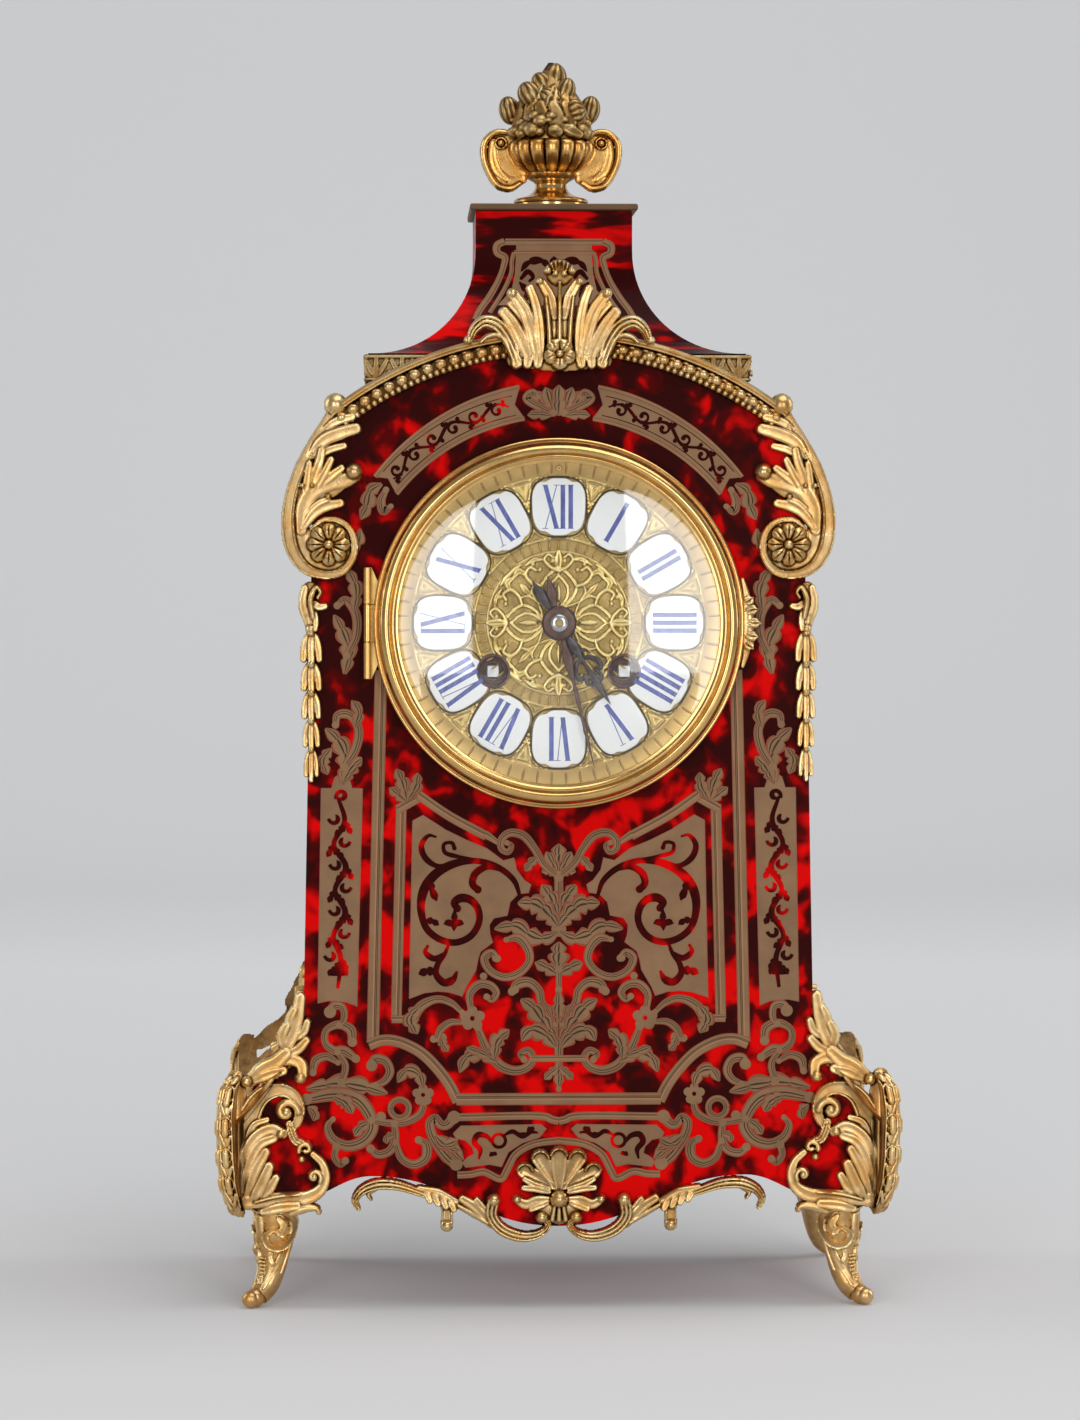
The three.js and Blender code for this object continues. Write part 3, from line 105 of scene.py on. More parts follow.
class ClockColours(bpy.types.PropertyGroup):
    """Base colours of the finishes."""

    shell_red: bpy.props.FloatVectorProperty(
        name="Shell red", description="Bright patches of the shell", subtype="COLOR",
        default=(0.70, 0.0012, 0.0010))
    shell_dark: bpy.props.FloatVectorProperty(
        name="Shell dark", description="Dark mottles of the shell", subtype="COLOR",
        default=(0.030, 0.0022, 0.0018))
    inlay_brass: bpy.props.FloatVectorProperty(
        name="Inlay brass", description="Dull brass of the marquetry", subtype="COLOR",
        default=(0.242, 0.138, 0.071))
    # Gilt light and gilt dark end the gilt ramp: painted highlight on ridges, patina and painted shade in
    # hollows.
    gilt_light: bpy.props.FloatVectorProperty(
        name="Gilt light", description="Raised gilding", subtype="COLOR", default=(0.60, 0.40, 0.185))
    gilt_dark: bpy.props.FloatVectorProperty(
        name="Gilt dark", description="Gilding in hollows", subtype="COLOR", default=(0.08, 0.042, 0.014))
    bezel_gold: bpy.props.FloatVectorProperty(
        name="Bezel gold", description="Polished bezel", subtype="COLOR", default=(0.66, 0.415, 0.155))
    dial_gold: bpy.props.FloatVectorProperty(
        name="Dial gold", description="Stamped dial", subtype="COLOR", default=(0.84, 0.62, 0.25))
    enamel_white: bpy.props.FloatVectorProperty(
        name="Enamel white", description="Plaques", subtype="COLOR", default=(0.92, 0.925, 0.93))
    numeral_blue: bpy.props.FloatVectorProperty(
        name="Numeral blue", description="Painted numerals", subtype="COLOR", default=(0.075, 0.095, 0.33))
    hand_steel: bpy.props.FloatVectorProperty(
        name="Hand steel", description="Hands", subtype="COLOR", default=(0.075, 0.065, 0.07))
    studio_grey: bpy.props.FloatVectorProperty(
        name="Studio grey", description="Floor and backdrop", subtype="COLOR", default=(0.60, 0.60, 0.605))


# Materials


FLOOR_GLOW = 0.14
WALL_GLOW = 0.46


class Shader:
    """A material under construction, with short calls for the nodes used here."""

    def __init__(self, name):
        self.material = bpy.data.materials.new(name)
        self.material.use_nodes = True
        self.tree = self.material.node_tree
        self.tree.nodes.clear()
        self.output = self.node("OutputMaterial")
        self.surface = self.node("BsdfPrincipled")
        self.link(self.surface.outputs["BSDF"], self.output.inputs["Surface"])

    def link(self, source, target):
        self.tree.links.new(source, target)

    def feed(self, socket, value):
        """Links an output socket to an input, or sets the input to a colour or a number."""
        if isinstance(value, bpy.types.NodeSocket):
            self.link(value, socket)
        elif hasattr(value, "__len__"):
            socket.default_value = (*value[:3], 1.0)
        else:
            socket.default_value = value

    def node(self, kind, **values):
        """A new node with some of its inputs fed."""
        node = self.tree.nodes.new("ShaderNode" + kind)
        for name, value in values.items():
            self.feed(node.inputs[name], value)
        return node

    def set(self, **values):
        """Feeds Principled sockets: base_color=..., roughness=... as a value or an output socket."""
        for key, value in values.items():
            self.feed(self.surface.inputs[key.replace("_", " ").title().replace("Ior", "IOR")], value)
        return self

    def coords(self, scale=(1, 1, 1)):
        mapping = self.node("Mapping", Vector=self.node("TexCoord").outputs["Object"])
        mapping.inputs["Scale"].default_value = scale
        return mapping.outputs["Vector"]

    def noise(self, vector, scale, detail=2.0, rough=0.5, twist=0.0):
        node = self.node("TexNoise", Scale=scale, Detail=detail, Roughness=rough, Distortion=twist,
                         Vector=vector)
        return node.outputs["Fac"]

    def ramp(self, value, stops):
        """Colours or grey values at places along a value."""
        node = self.node("ValToRGB", Fac=value)
        elements = node.color_ramp.elements
        while len(elements) < len(stops):
            elements.new(0.5)
        for element, (place, colour) in zip(elements, stops):
            element.position = place
            element.color = (*(colour[:3] if hasattr(colour, "__len__") else [colour] * 3), 1.0)
        return node.outputs["Color"]

    def math(self, operation, *values):
        node = self.node("Math")
        node.operation = operation
        for socket, value in zip(node.inputs, values):
            self.feed(socket, value)
        return node.outputs["Value"]

    def vary(self, value, noise, share):
        """Adds a share of a noise, taken about its middle, to a value."""
        return self.math("ADD", value, self.math("MULTIPLY", self.math("SUBTRACT", noise, 0.5), share))

    def mix(self, factor, a, b, blend="MIX"):
        node = self.node("Mix")
        node.data_type = "RGBA"
        node.blend_type = blend
        for name, value in (("Factor", factor), ("A", a), ("B", b)):
            self.feed([s for s in node.inputs if s.name == name and s.enabled][0], value)
        return [s for s in node.outputs if s.enabled][0]

    def attribute(self, name):
        node = self.node("Attribute")
        node.attribute_name = name
        return node.outputs["Fac"]

    def axis(self, kind, letter):
        """One coordinate of the object or of its UV map."""
        return self.node("SeparateXYZ", Vector=self.node("TexCoord").outputs[kind]).outputs[letter]

    def backdrop_glow(self):
        """Evens out the paper behind the object for the eye and for metal and glass, not as light."""
        back = self.math("MULTIPLY", self.axis("Object", "Y"), 0.4)
        far = self.ramp(back, [(0.02, FLOOR_GLOW), (0.45, WALL_GLOW)])
        path = self.node("LightPath").outputs
        seen = self.math("MAXIMUM", path["Is Camera Ray"], path["Is Glossy Ray"])
        seen = self.math("MAXIMUM", seen, path["Is Transmission Ray"])
        return self.math("MULTIPLY", far, seen)

    def bump(self, height, strength, distance):
        node = self.node("Bump", Strength=strength, Distance=distance, Height=height)
        self.link(node.outputs["Normal"], self.surface.inputs["Normal"])
        return self


materials = {}
SHELL_MIDDLE = 0.19
SHELL_DARKENS = -0.3


def shell_material(name, colours, stretch, threshold):
    """Red shell with soft dark mottles under polish, darker higher up; stretch draws the mottles out."""
    shader = Shader(name)
    place = shader.coords(scale=stretch)
    mottle = shader.noise(place, 92.0, 2.2, 0.5, 0.35)
    cloud = shader.noise(place, 24.0, 1.0, 0.5)
    fine = shader.noise(shader.coords(), 420.0, 3.0, 0.6)
    above = shader.math("SUBTRACT", shader.axis("Object", "Z"), SHELL_MIDDLE)
    blend = shader.vary(shader.vary(mottle, cloud, 0.35), fine, 0.05)
    blend = shader.math("ADD", blend, shader.math("MULTIPLY", above, SHELL_DARKENS))
    dark = tuple(colours.shell_dark)
    red = tuple(colours.shell_red)
    deep = (red[0] * 0.13, red[1] * 0.7, red[2] * 0.9)
    full = (red[0] * 0.62, red[1], red[2])
    colour = shader.ramp(blend,
                         [(threshold - 0.1, dark), (threshold - 0.02, deep), (threshold + 0.045, full),
                          (threshold + 0.1, red)])
    shader.set(base_color=colour, roughness=0.28, specular_ior_level=0.03, coat_weight=0.012,
               coat_roughness=0.06)
    return shader.material


WORN_GILT = (0.92, 0.78, 0.58)


def gilt_material(name, light, dark, roughness, worn=WORN_GILT):
    """Gilding: painted highlight on ridges, brown patina and painted shade in hollows, from the cavity
    attribute of the mesh.
    """
    shader = Shader(name)
    wear = shader.noise(shader.coords(), 190.0, 5.0, 0.65)
    patch = shader.noise(shader.coords(), 60.0, 2.0, 0.5)
    hollow = shader.vary(shader.vary(shader.attribute("cavity"), wear, 0.42), patch, 0.2)
    middle = tuple(0.5 * a + 0.5 * b for a, b in zip(light, dark))
    # The palest stop is a painted highlight on raised parts; the dark stop is patina and painted shade in
    # hollows.
    ridge_highlight = (light[0] * 1.05 + 0.12, light[1] * 1.18 + 0.12, light[2] * 1.25 + 0.07)
    colour = shader.ramp(hollow, [(0.1, ridge_highlight), (0.36, light), (0.56, middle), (0.8, dark)])
    rubbed = shader.noise(shader.coords(), 130.0, 3.0, 0.55)
    tint = shader.ramp(rubbed, [(0.42, (1.0, 1.0, 1.0)), (0.6, worn)])
    colour = shader.mix(1.0, colour, tint, "MULTIPLY")
    rough = shader.ramp(wear, [(0.3, roughness * 0.8), (0.7, roughness * 1.3)])
    shader.set(base_color=colour, metallic=1.0, roughness=rough)
    grain = shader.noise(shader.coords(), 1100.0, 3.0, 0.65)
    shader.bump(grain, 0.22, 0.0003)
    return shader.material


def plain_metal(name, colour, roughness, scale=240.0, tone=0.25):
    """One metal with slight tarnish."""
    shader = Shader(name)
    stain = shader.noise(shader.coords(), scale, 3.0, 0.6)
    low = tuple(c * (1.0 - tone) for c in colour)
    high = tuple(min(1.0, c * (1.0 + tone)) for c in colour)
    shader.set(base_color=shader.ramp(stain, [(0.3, low), (0.7, high)]), metallic=1.0, roughness=roughness)
    return shader.material


def inlay_material(name, brass, lines=()):
    """Dull brass; lines are (place across the sheet, half width, tone) and run along it."""
    shader = Shader(name)
    stain = shader.noise(shader.coords(), 55.0, 4.0, 0.6)
    low = tuple(c * 0.8 for c in brass)
    high = tuple(min(1.0, c * 1.16) for c in brass)
    colour = shader.ramp(stain, [(0.3, low), (0.7, high)])
    if lines:
        across = shader.axis("UV", "Y")
        for place, half, tone in lines:
            gap = shader.math("ABSOLUTE", shader.math("SUBTRACT", across, place))
            mark = shader.ramp(gap, [(half * 0.8, 1.0), (half * 1.2, 0.0)])
            colour = shader.mix(mark, colour, tone)
    shader.set(base_color=colour, metallic=0.2, roughness=0.5, specular_ior_level=0.12)
    return shader.material


GLASS_SKIN = 0.05


def glass_material():
    """Clear glass with a mirror skin and no shadow of its own."""
    shader = Shader("bezel_crystal")
    shader.tree.nodes.remove(shader.surface)
    clear = shader.node("BsdfTransparent", Color=(0.97, 0.975, 0.97))
    mirror = shader.node("BsdfGlossy", Roughness=0.03)
    graze = shader.math("POWER", shader.node("LayerWeight", Blend=0.5).outputs["Facing"], 5.0)
    skin = shader.math("MULTIPLY_ADD", graze, 1.0 - GLASS_SKIN, GLASS_SKIN)
    mix = shader.node("MixShader", Fac=skin)
    shader.link(clear.outputs["BSDF"], mix.inputs[1])
    shader.link(mirror.outputs["BSDF"], mix.inputs[2])
    shader.link(mix.outputs["Shader"], shader.output.inputs["Surface"])
    return shader.material


# Emission of the enamel plaques: painted light that makes them glow brighter than the lamps light them.
ENAMEL_PAINTED_GLOW = 0.2


def make_materials(colours):
    """Every finish of the clock, by short name."""
    materials["shell"] = shell_material("shell_veneer", colours, (1.0, 1.0, 0.82), 0.53)
    materials["shell_roof"] = shell_material("shell_roof_veneer", colours, (0.42, 0.42, 1.7), 0.478)
    gilt_light, gilt_dark = tuple(colours.gilt_light), tuple(colours.gilt_dark)
    materials["gilt"] = gilt_material("gilt_mount", gilt_light, gilt_dark, 0.3)
    # The foot finish is a lighter copy of the gilding: painted light for the feet, which sit low under the
    # lamps.
    tones = (("gilt_urn", (1.1, 0.92, 0.62), 0.27), ("gilt_fruit", (0.62, 0.59, 0.52), 0.38),
             ("gilt_brown", (0.5, 0.5, 0.5), 0.42), ("gilt_foot_painted_light", (1.2, 1.18, 1.15), 0.33))
    for name, tone, roughness in tones:
        light = tuple(share * c for share, c in zip(tone, gilt_light))
        materials[name] = gilt_material(name, light, gilt_dark, roughness)
    dial_dark, dial_worn = (0.16, 0.09, 0.02), (0.96, 0.92, 0.82)
    materials["dial"] = gilt_material("dial_gilt", tuple(colours.dial_gold), dial_dark, 0.34, dial_worn)
    metals = {"bezel": ("bezel_gilt", tuple(colours.bezel_gold), 0.2, 180.0, 0.12),
              "dial_ring": ("dial_ring_gilt", (0.68, 0.445, 0.155), 0.42, 180.0, 0.12),
              "brass": ("movement_brass_finish", (0.62, 0.43, 0.15), 0.28, 90.0, 0.07),
              "steel": ("steel_finish", (0.66, 0.66, 0.68), 0.22),
              "key_steel": ("key_steel_finish", (0.86, 0.86, 0.87), 0.3),
              "bell": ("bell_finish", (0.52, 0.47, 0.38), 0.25),
              "hand": ("hand_finish", tuple(colours.hand_steel), 0.36, 500.0, 0.4),
              "hand_brown": ("minute_hand_finish", (0.12, 0.07, 0.06), 0.4, 500.0, 0.3)}
    for name, values in metals.items():
        materials[name] = plain_metal(*values)
    brass = tuple(colours.inlay_brass)
    dark_line = tuple(c * 0.2 for c in brass)
    pale_line = (brass[0] * 1.5, brass[1] * 1.28, brass[2] * 1.25)
    blush = (brass[0] * 0.95, brass[1] * 0.5, brass[2] * 0.5)
    strip_lines = ((0.0, 0.07, blush), (1.0, 0.07, blush), (0.3, 0.03, dark_line), (0.52, 0.06, pale_line),
                   (0.42, 0.03, dark_line))
    leaf_lines = ((0.0, 0.13, blush), (1.0, 0.13, blush), (0.5, 0.05, dark_line), (0.74, 0.04, dark_line))
    materials["ground"] = inlay_material("inlay_brass", brass)
    materials["strip"] = inlay_material("inlay_strip", brass, strip_lines)
    materials["leafage"] = inlay_material("inlay_leafage", brass, leaf_lines)
    materials["cap"] = inlay_material("cap_brass", tuple(0.55 * c for c in brass))
    materials["edge"] = Shader("inlay_edge").set(base_color=blush, roughness=0.5).material
    materials["glass"] = glass_material()
    materials["vein"] = shell_material("vein_shell", colours, (1.0, 1.0, 0.82), 0.575)
    # Near-black finish for the skirt round each enamel plaque: painted shadow in the gap at the dial frame.
    materials["rim"] = Shader("plaque_rim_painted_shadow").set(base_color=(0.035, 0.025, 0.015), roughness=0.5).material
    white = tuple(colours.enamel_white)
    enamel = Shader("enamel_white").set(base_color=white, roughness=0.12, coat_weight=0.5,
                                        coat_roughness=0.04)
    # The enamel glows in its own colour: painted light.
    materials["enamel"] = enamel.set(emission_color=white, emission_strength=ENAMEL_PAINTED_GLOW).material
    blue = tuple(colours.numeral_blue)
    wash = tuple(min(1.0, c * 2.1 + 0.05) for c in blue)
    materials["blue"] = grained("numeral_paint", 0.25, 900.0, 3.0, ((0.3, blue), (0.75, wash)), 0.25)
    browns = ((0.3, (0.02, 0.011, 0.007)), (0.7, (0.055, 0.03, 0.018)))
    materials["wood"] = grained("dark_wood", 0.12, 240.0, 4.0, browns, 0.5)


def grained(name, stretch, scale, detail, stops, roughness):
    """A finish streaked upwards: stretch is the share of its grain across that shows along it."""
    shader = Shader(name)
    grain = shader.noise(shader.coords(scale=(1, 1, stretch)), scale, detail, 0.6)
    return shader.set(base_color=shader.ramp(grain, stops), roughness=roughness).material


# Meshes


def add_piece(name, vertices, faces, material, body, slot, replaces=(), cavity=None, uv=None, smooth=50.0):
    """A finished object from millimetre vertices, riding on a CAD body."""
    mesh = bpy.data.meshes.new(name)
    points = np.asarray(vertices, float) * MM
    mesh.from_pydata(points.tolist(), [], [list(map(int, face)) for face in faces])
    mesh.update()
    if cavity is not None:
        layer = mesh.attributes.new("cavity", "FLOAT", "POINT")
        layer.data.foreach_set("value", np.asarray(cavity, np.float32))
    if uv is not None:
        layer = mesh.uv_layers.new(name="UVMap")
        loops = np.zeros(len(mesh.loops), np.int32)
        mesh.loops.foreach_get("vertex_index", loops)
        layer.data.foreach_set("uv", np.asarray(uv, np.float32)[loops].ravel())
    return finish_piece(name, mesh, material, body, slot, replaces, smooth)


def finish_piece(name, mesh, material, body, slot, replaces=(), smooth=50.0):
    """Shades a mesh, gives it its finish and ties it to the frame."""
    mesh.shade_smooth()
    mesh.set_sharp_from_angle(angle=math.radians(smooth))
    if not mesh.materials:
        mesh.materials.append(materials[material])
    piece = bpy.data.objects.new(name, mesh)
    bpy.context.scene.collection.objects.link(piece)
    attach(piece, body)
    if replaces:
        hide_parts(*replaces)
    return piece


def join_parts(parts):
    """One vertex list and face list from several (vertices, faces[, cavity or UV]) parts."""
    vertices, faces, cavity, start = [], [], [], 0
    for part in parts:
        vertices.append(np.asarray(part[0], float))
        faces.extend([[int(i) + start for i in face] for face in part[1]])
        cavity.append(part[2] if len(part) > 2 else np.full(len(part[0]), 0.4))
        start += len(part[0])
    return np.vstack(vertices), faces, np.concatenate(cavity)


def catmull(points, steps=8):
    """Points on a smooth centripetal curve through a list of points of any dimension."""
    control = np.asarray(points, float)
    if len(control) < 3:
        return np.linspace(control[0], control[-1], steps + 1)
    control = np.vstack([2 * control[0] - control[1], control, 2 * control[-1] - control[-2]])
    line = []
    for p0, p1, p2, p3 in zip(control, control[1:], control[2:], control[3:]):
        gaps = [max(np.linalg.norm(b - a), 1e-6) ** 0.5 for a, b in ((p0, p1), (p1, p2), (p2, p3))]
        t1, t2, t3 = np.cumsum(gaps)
        for t in np.linspace(t1, t2, steps, endpoint=False):
            a1 = p0 * (t1 - t) / t1 + p1 * t / t1
            a2 = p1 * (t2 - t) / (t2 - t1) + p2 * (t - t1) / (t2 - t1)
            a3 = p2 * (t3 - t) / (t3 - t2) + p3 * (t - t2) / (t3 - t2)
            b1 = a1 * (t2 - t) / t2 + a2 * t / t2
            b2 = a2 * (t3 - t) / (t3 - t1) + a3 * (t - t1) / (t3 - t1)
            line.append(b1 * (t2 - t) / (t2 - t1) + b2 * (t - t1) / (t2 - t1))
    line.append(control[-2])
    return np.array(line)


def arc(centre, radius, start, end, steps=16):
    """Points on a circle between two angles in degrees, anticlockwise from +X in the front view."""
    angles = np.radians(np.linspace(start, end, steps + 1))
    return np.stack([centre[0] + radius * np.cos(angles), centre[1] + radius * np.sin(angles)], axis=1)


def spiral(centre, outer, inner, start, sweep, steps=28):
    """A scroll winding in from one radius to another, angles in degrees."""
    share = np.linspace(0, 1, steps + 1)
    angles = np.radians(start + sweep * share)
    radius = outer + (inner - outer) * share ** 0.8
    return np.stack([centre[0] + radius * np.cos(angles), centre[1] + radius * np.sin(angles)], axis=1)


def face_outward(vertices, faces):
    """Turns the faces of a closed part over where they point into it."""
    fans = np.array([(f[0], f[k], f[k + 1]) for f in faces for k in range(1, len(f) - 1)])
    a, b, c = (vertices[fans[:, k]] - vertices.mean(0) for k in range(3))
    volume = np.sum(a * np.cross(b, c))
    return faces if volume > 0 else [f[::-1] for f in faces]


def band_faces(rows, sides, turned=False):
    """Four-sided faces between rings of the same count of points, each ring after the last."""
    faces = []
    for i in range(rows - 1):
        for k in range(sides):
            a, b = i * sides + k, i * sides + (k + 1) % sides
            faces.append([a, a + sides, b + sides, b] if turned else [a, b, b + sides, a + sides])
    return faces


def capped_bands(rows, sides):
    """The same with the first and last ring closed."""
    last = (rows - 1) * sides
    return band_faces(rows, sides) + [list(reversed(range(sides))), list(range(last, last + sides))]


def circle(centre, radius, steps):
    """Points round a circle in the front view."""
    angles = np.linspace(0, 2 * math.pi, steps, endpoint=False)
    return [(centre[0] + radius * math.cos(a), centre[1] + radius * math.sin(a)) for a in angles]


def lathe(profile, segments, place, closed=True):
    """Turns a list of (radius, along) and maps each (across, up, along) with place."""
    profile = np.asarray(profile, float)
    angles = np.linspace(0, 2 * np.pi, segments, endpoint=False)
    rows = len(profile)
    vertices = []
    for angle in angles:
        for radius, along in profile:
            vertices.append(place(radius * math.cos(angle), radius * math.sin(angle), along))
    faces = []
    for k in range(segments):
        base, after = k * rows, ((k + 1) % segments) * rows
        for i in range(rows if closed else rows - 1):
            j = (i + 1) % rows
            faces.append([base + i, base + j, after + j, after + i])
    if not closed:
        faces.append([k * rows for k in range(segments)])
        faces.append([k * rows + rows - 1 for k in reversed(range(segments))])
    vertices = np.array(vertices)
    return vertices, face_outward(vertices, faces)


def about_dial(x, z, depth):
    """Dial space to world: depth is behind the front face."""
    return (x, at_depth(depth), z + DIAL_Z)


def slab(outlines, front, back):
    """A plate between two depths from an outer outline and holes, each a list of (x, z)."""
    mesh = bmesh.new()
    loops = []
    edges = []
    for outline in outlines:
        ring = [mesh.verts.new((x, at_depth(front), z)) for x, z in outline]
        edges += [mesh.edges.new((a, b)) for a, b in zip(ring, ring[1:] + ring[:1])]
        loops.append(ring)
    bmesh.ops.triangle_fill(mesh, use_beauty=True, edges=edges, normal=(0, -1, 0))
    mesh.verts.index_update()
    vertices = np.array([v.co for v in mesh.verts])
    caps = [[v.index for v in f.verts] for f in mesh.faces]
    rings = [[v.index for v in ring] for ring in loops]
    facing = [f.normal.y < 0 for f in mesh.faces]
    mesh.free()
    count = len(vertices)
    rear = vertices.copy()
    rear[:, 1] = at_depth(back)
    caps = [c if toward else c[::-1] for c, toward in zip(caps, facing)]
    faces = caps + [[i + count for i in reversed(c)] for c in caps]
    for place, (ring, outline) in enumerate(zip(rings, outlines)):
        x, z = np.array(outline).T
        winding = np.sum(x * np.roll(z, -1) - np.roll(x, -1) * z)
        walls = [[a, a + count, b + count, b] for a, b in zip(ring, ring[1:] + ring[:1])]
        outward = (winding > 0) == (place == 0)
        faces += walls if outward else [wall[::-1] for wall in walls]
    return np.vstack([vertices, rear]), faces


def tube(path, radii, sides):
    """A closed swept bar through 3-D points with changing radius."""
    path = np.asarray(path, float)
    radii = np.interp(np.linspace(0, 1, len(path)), np.linspace(0, 1, len(radii)), radii)
    along = np.gradient(path, axis=0)
    along /= np.linalg.norm(along, axis=1)[:, None] + 1e-12
    across = np.cross(along[0], (0.0, 1.0, 0.0))
    if np.linalg.norm(across) < 1e-3:
        across = np.cross(along[0], (1.0, 0.0, 0.0))
    vertices = []
    angles = np.linspace(0, 2 * np.pi, sides, endpoint=False)
    for centre, radius, way in zip(path, radii, along):
        across = across - way * across.dot(way)
        across /= np.linalg.norm(across)
        other = np.cross(way, across)
        for angle in angles:
            vertices.append(centre + across * math.cos(angle) * radius + other * math.sin(angle) * radius)
    return np.array(vertices), capped_bands(len(path), sides)


def ball(centre, radii, rings, sides, ribs=0, rib_depth=0.0, tilt=0.0):
    """An ellipsoid, ribbed like a gourd when ribs is set, leaning sideways by tilt degrees."""
    vertices = []
    lean = math.radians(tilt)
    for i in range(rings + 1):
        polar = math.pi * i / rings
        for k in range(sides):
            turn = 2 * math.pi * k / sides
            swell = 1 + rib_depth * math.cos(ribs * turn) * math.sin(polar)
            x = radii[0] * math.sin(polar) * math.cos(turn) * swell
            y = radii[1] * math.sin(polar) * math.sin(turn) * swell
            z = radii[2] * math.cos(polar)
            vertices.append((centre[0] + x * math.cos(lean) + z * math.sin(lean), centre[1] + y,
                             centre[2] - x * math.sin(lean) + z * math.cos(lean)))
    return np.array(vertices), band_faces(rings + 1, sides, turned=True)


# Relief: a height field chased by strokes, then cut out along its edge


def bell(value, middle, width):
    """One at the middle, falling smoothly to nothing on both sides."""
    return np.exp(-((value - middle) / width) ** 2)


def cove_section(across, along):
    """Rounded at the middle and hollow towards the edges."""
    return np.cos(across * math.pi / 2) ** 2


def round_section(across, along):
    return np.sqrt(np.clip(1 - across ** 2, 0, 1))


def leaf_section(across, along):
    """Two soft halves with a sunk midrib and fine veins."""
    body = np.clip(1 - across ** 2, 0, 1) ** 0.45
    midrib = 1 - 0.45 * bell(across, 0.0, 0.16)
    veins = 1 - 0.13 * (0.5 + 0.5 * np.cos(across * 9.0 + along * 4.0))
    return body * midrib * veins


def band_section(across, along):
    """A flat band with raised edges, like the face of a scroll."""
    body = np.clip(1 - across ** 6, 0, 1) ** 0.5
    edges = 0.66 + 0.34 * bell(np.abs(across), 0.8, 0.16)
    return body * edges


def reed_section(across, along):
    """Three reeds side by side."""
    body = np.clip(1 - across ** 4, 0, 1) ** 0.5
    return body * (0.72 + 0.28 * np.abs(np.cos(across * np.pi * 1.5)))


def scallop_section(across, along):
    """A hollow flute with raised edges."""
    return np.clip(1 - across ** 6, 0, 1) ** 0.5 * (0.5 + 0.5 * across ** 2)


def finger_section(across, along):
    """A plump lobe, a little hollow along its middle."""
    return np.sqrt(np.clip(1 - across ** 4, 0, 1)) * (0.76 + 0.24 * across ** 2)


